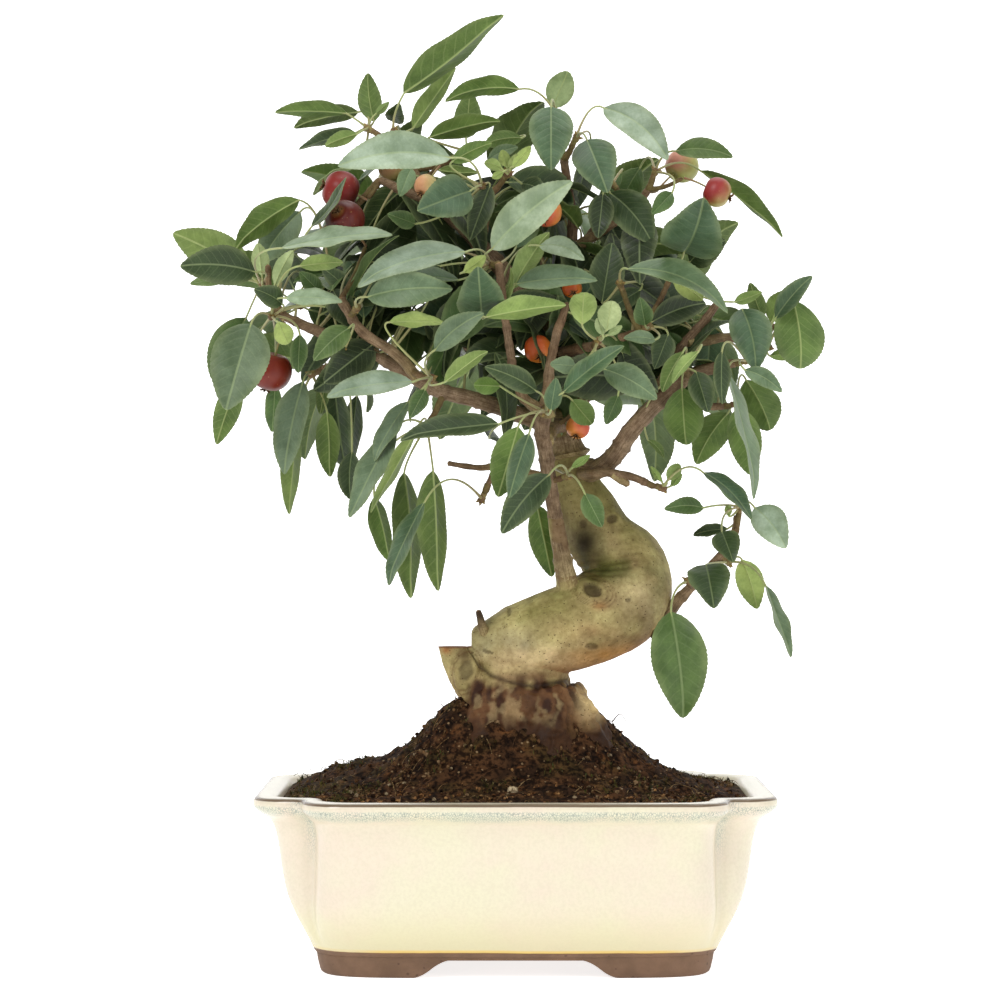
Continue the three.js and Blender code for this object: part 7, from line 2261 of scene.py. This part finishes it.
@dataclass
class InnerLeaves:
    """Leaves inside the crown, each on a branch, most of them in the darkest tone, which is painted shade."""

    wood: Wood
    name: str = "inner_leaves"
    count: int = 176
    thick: float = 0.45
    seed: int = 31
    spacing: float = 9.0
    near: float = -40.0
    far: float = 72.0
    edge: Sequence[tuple[float, float]] = (
        (252, 290), (278, 225), (322, 160), (400, 128), (490, 140), (545, 145), (600, 150), (640, 200),
        (705, 215), (735, 300), (745, 372), (700, 430), (650, 415), (612, 440), (560, 470), (505, 478),
        (470, 440), (420, 448), (372, 430), (345, 440), (300, 420), (262, 372))
    windows: Sequence[tuple[float, float, float]] = (
        (515, 120, 18), (325, 168, 16), (632, 176, 12), (652, 448, 18),
        (367, 195, 7), (333, 247, 7), (414, 346, 7), (511, 277, 7), (590, 237, 7), (394, 362, 6),
        (448, 373, 6), (465, 390, 6), (480, 400, 6), (538, 377, 6), (305, 335, 6), (390, 403, 14),
        (456, 410, 13), (597, 422, 16), (315, 420, 14), (655, 445, 16))
    thickets: Sequence[tuple[float, float]] = (
        (340, 262), (362, 300), (388, 268), (410, 326), (438, 350), (474, 440), (500, 452), (382, 186),
        (300, 250), (520, 345), (640, 350), (560, 330), (470, 310), (620, 300))

    def inside(self, u: np.ndarray, v: np.ndarray) -> np.ndarray:
        """Which elevation points lie inside the crown's edge."""
        odd = np.zeros(len(u), dtype=bool)
        for (u0, v0), (u1, v1) in zip(self.edge, [*self.edge[1:], self.edge[0]]):
            if v0 != v1:
                odd ^= ((v0 > v) != (v1 > v)) & (u < (u1 - u0) * (v - v0) / (v1 - v0) + u0)
        return odd

    def free(self, leaf: Leaf) -> bool:
        """Whether a leaf stays inside the crown and off its windows."""
        _, _, _, side = leaf.axes()
        rib = leaf.rib(np.linspace(0, 1, 7))
        points = np.concatenate([rib, rib + side * leaf.half_width * 0.8, rib - side * leaf.half_width * 0.8])
        if points[:, 1].min() < self.near or points[:, 1].max() > self.far:
            return False
        u, v = elevation(points)
        clear = all(np.hypot(u - a, v - b).min() > r for a, b, r in self.windows)
        return clear and bool(self.inside(u, v).all())

    def leaf(self, draw: np.random.Generator) -> tuple[np.ndarray, Leaf]:
        """A leaf drawn at random.

        Args:
            draw: The random draw.

        Returns:
            Where it leaves the wood, and the leaf.
        """
        start = self.wood.points[draw.integers(len(self.wood.points))]
        out = norm(draw.normal(0, 1, 3) + (0, 0, 0.35))
        base = start + out * draw.uniform(9, 30)
        if draw.random() < self.thick:
            u, v = self.thickets[draw.integers(len(self.thickets))] + draw.normal(0, 15, 2)
            base = place(u, v, draw.uniform(-20, 55))
            start = self.wood.points[np.argmin(np.linalg.norm(self.wood.points - base, axis=1))]
            out = norm(base - start)
        along = norm(out + draw.normal(0, 0.35, 3) - UP * draw.uniform(0.2, 0.9))
        length = draw.uniform(34, 54)
        normal = norm(UP * 0.5 + vec(0, -0.5, 0) + draw.normal(0, 0.45, 3))
        # the inner tone twice over: painted shade inside the crown
        tone = (Tone.INNER_SHADE, Tone.INNER_SHADE, Tone.DARK, Tone.DARK, Tone.TEAL, Tone.MID)[draw.integers(6)]
        return start, Leaf(base, base + along * length, length * draw.uniform(0.2, 0.27), normal,
                           vec(0, 0, length * 0.05), tone, tooth=3.4)

    def build(self, finishes: list[Material]) -> None:
        """Makes the leaves' piece."""
        draw = np.random.default_rng(self.seed)
        skin = Skin(self.name, finishes)
        middles: list[np.ndarray] = []
        for _ in range(60 * self.count):
            start, leaf = self.leaf(draw)
            middle = leaf.rib(np.array(0.5))
            apart = not middles or np.linalg.norm(np.array(middles) - middle, axis=1).min() > self.spacing
            if apart and self.free(leaf):
                middles.append(middle)
                leaf.add_to(skin, draw)
                leaf.add_stalk(skin, start, draw)
            if len(middles) == self.count:
                break
        settle(skin.build(48), "leaf")


# ------------------------------------------------------------------ studio

# Name, place, what it faces, width in metres and power in watts
LIGHTS = (
    ("key", (-0.9, -1.5, 1.5), (0, 0, 0.25), 1.0, 15),
    ("fill", (1.3, -1.4, 0.7), (0, 0, 0.25), 1.2, 5),
    ("top", (0.1, 0.1, 1.7), (0, 0, 0.3), 1.2, 8),
)


@dataclass
class Studio:
    """Camera, pale floor and soft light."""

    groups: Groups
    lens: float = 120.25
    sensor: float = 36.0
    world: float = 0.6
    # The floor in metres: its front edge, where it starts to rise, the bend's radius, its back and its top
    front: float = -4.0
    rise_from: float = 1.2
    bend: float = 0.9
    back: float = 2.1
    top: float = 4.0
    half_width: float = 5.0
    steps: int = 12

    def floor(self) -> None:
        """Makes a floor that sweeps up into a backdrop."""
        profile = [(self.front, 0.0), (self.rise_from, 0.0)]
        for step in range(1, self.steps + 1):
            a = math.pi / 2 * step / self.steps
            profile.append((self.rise_from + self.bend * math.sin(a), self.bend * (1 - math.cos(a))))
        profile.append((self.back, self.top))
        points = [(x, y, z) for y, z in profile for x in (-self.half_width, self.half_width)]
        faces = [(2 * i, 2 * i + 1, 2 * i + 3, 2 * i + 2) for i in range(len(profile) - 1)]
        mesh = bpy.data.meshes.new("floor")
        mesh.from_pydata(points, [], faces)
        mesh.polygons.foreach_set("use_smooth", [True] * len(faces))
        mesh.materials.append(StageFinish().make(self.groups))
        sweep = bpy.data.objects.new("floor", mesh)
        bpy.context.collection.objects.link(sweep)

    def light(self, name: str, spot: tuple, aim: tuple, size: float, power: float) -> None:
        """Makes one soft area light.

        Args:
            name: Its name.
            spot: Where it hangs, in metres.
            aim: What it faces.
            size: Its width.
            power: Its power in watts.
        """
        lamp = bpy.data.lights.new(name, "AREA")
        lamp.shape, lamp.size, lamp.energy = "DISK", size, power
        holder = bpy.data.objects.new(name, lamp)
        holder.location = spot
        holder.rotation_euler = (Vector(aim) - Vector(spot)).to_track_quat("-Z", "Y").to_euler()
        bpy.context.collection.objects.link(holder)

    def build(self) -> None:
        """Makes everything round the part."""
        scene = bpy.context.scene
        scene.view_settings.view_transform = "Standard"
        world = bpy.data.worlds.new("studio")
        world.use_nodes = True
        background = world.node_tree.nodes["Background"]
        background.inputs["Color"].default_value = (1, 1, 1, 1)
        background.inputs["Strength"].default_value = self.world
        scene.world = world
        self.floor()
        for lamp in LIGHTS:
            self.light(*lamp)
        lens = bpy.data.cameras.new("camera")
        lens.lens, lens.sensor_width = self.lens, self.sensor
        camera = bpy.data.objects.new("camera", lens)
        camera.location = (vec(EYE_X, -STATION, EYE_Z) + MIDDLE) * MM
        camera.rotation_euler = (math.pi / 2, 0, 0)
        bpy.context.collection.objects.link(camera)
        scene.camera = camera


def main() -> None:
    """Builds the bonsai from the pot up, then the studio round it."""
    logging.basicConfig(level=logging.INFO, format="%(name)s %(message)s")
    groups = Groups()
    Studio(groups).build()
    leaf_finishes = [
        LeafFinish("leaf_top", 0.42, (160, 176, 124), 0.34, -0.4, 0.06).make(groups),
        LeafFinish("leaf_under", 0.58, (186, 198, 130), 0.45, 0.7, 0.06).make(groups),
        StalkFinish().make(groups),
        BarkFinish("bud_scales", 260, 900, 0.2).make(groups),
    ]
    trunk_bark = BarkFinish("trunk_bark", 60, 520, 0.35).make(groups)
    twig_bark = BarkFinish("twig_bark", 160, 900, 0.25, 0.6).make(groups)
    earth = EarthFinish("earth", 420, 0.8).make(groups)
    dry = EarthFinish("dry_calyx", 700, 0.2).make(groups)
    skin = FruitFinish().make(groups)
    plastic = ScreenFinish().make(groups)
    pot = Pot()
    pot.build(GlazeFinish().make(groups))
    for x, node in ((-50.0, "drain_screen_left"), (50.0, "drain_screen_right")):
        DrainScreen(x, node).build(plastic)
    Soil(pot).build(earth)
    wood = Wood()
    wood.build_trunk(trunk_bark)
    wood.build_branches(twig_bark)
    sprays = Crown(wood).sprays()
    ends = [(spray.hub, HUB_RADIUS + GAP, 1.35) for spray in sprays]
    ends += [(place(*fruit.seat), fruit.stop(wood), 1.0) for fruit in FRUIT]
    wood.build_twigs(twig_bark, ends)
    for fruit in FRUIT:
        fruit.build(skin, leaf_finishes[2], dry)
    for spray in sprays:
        spray.build(leaf_finishes)
    InnerLeaves(wood).build(leaf_finishes)


if __name__ == "__main__":
    main()
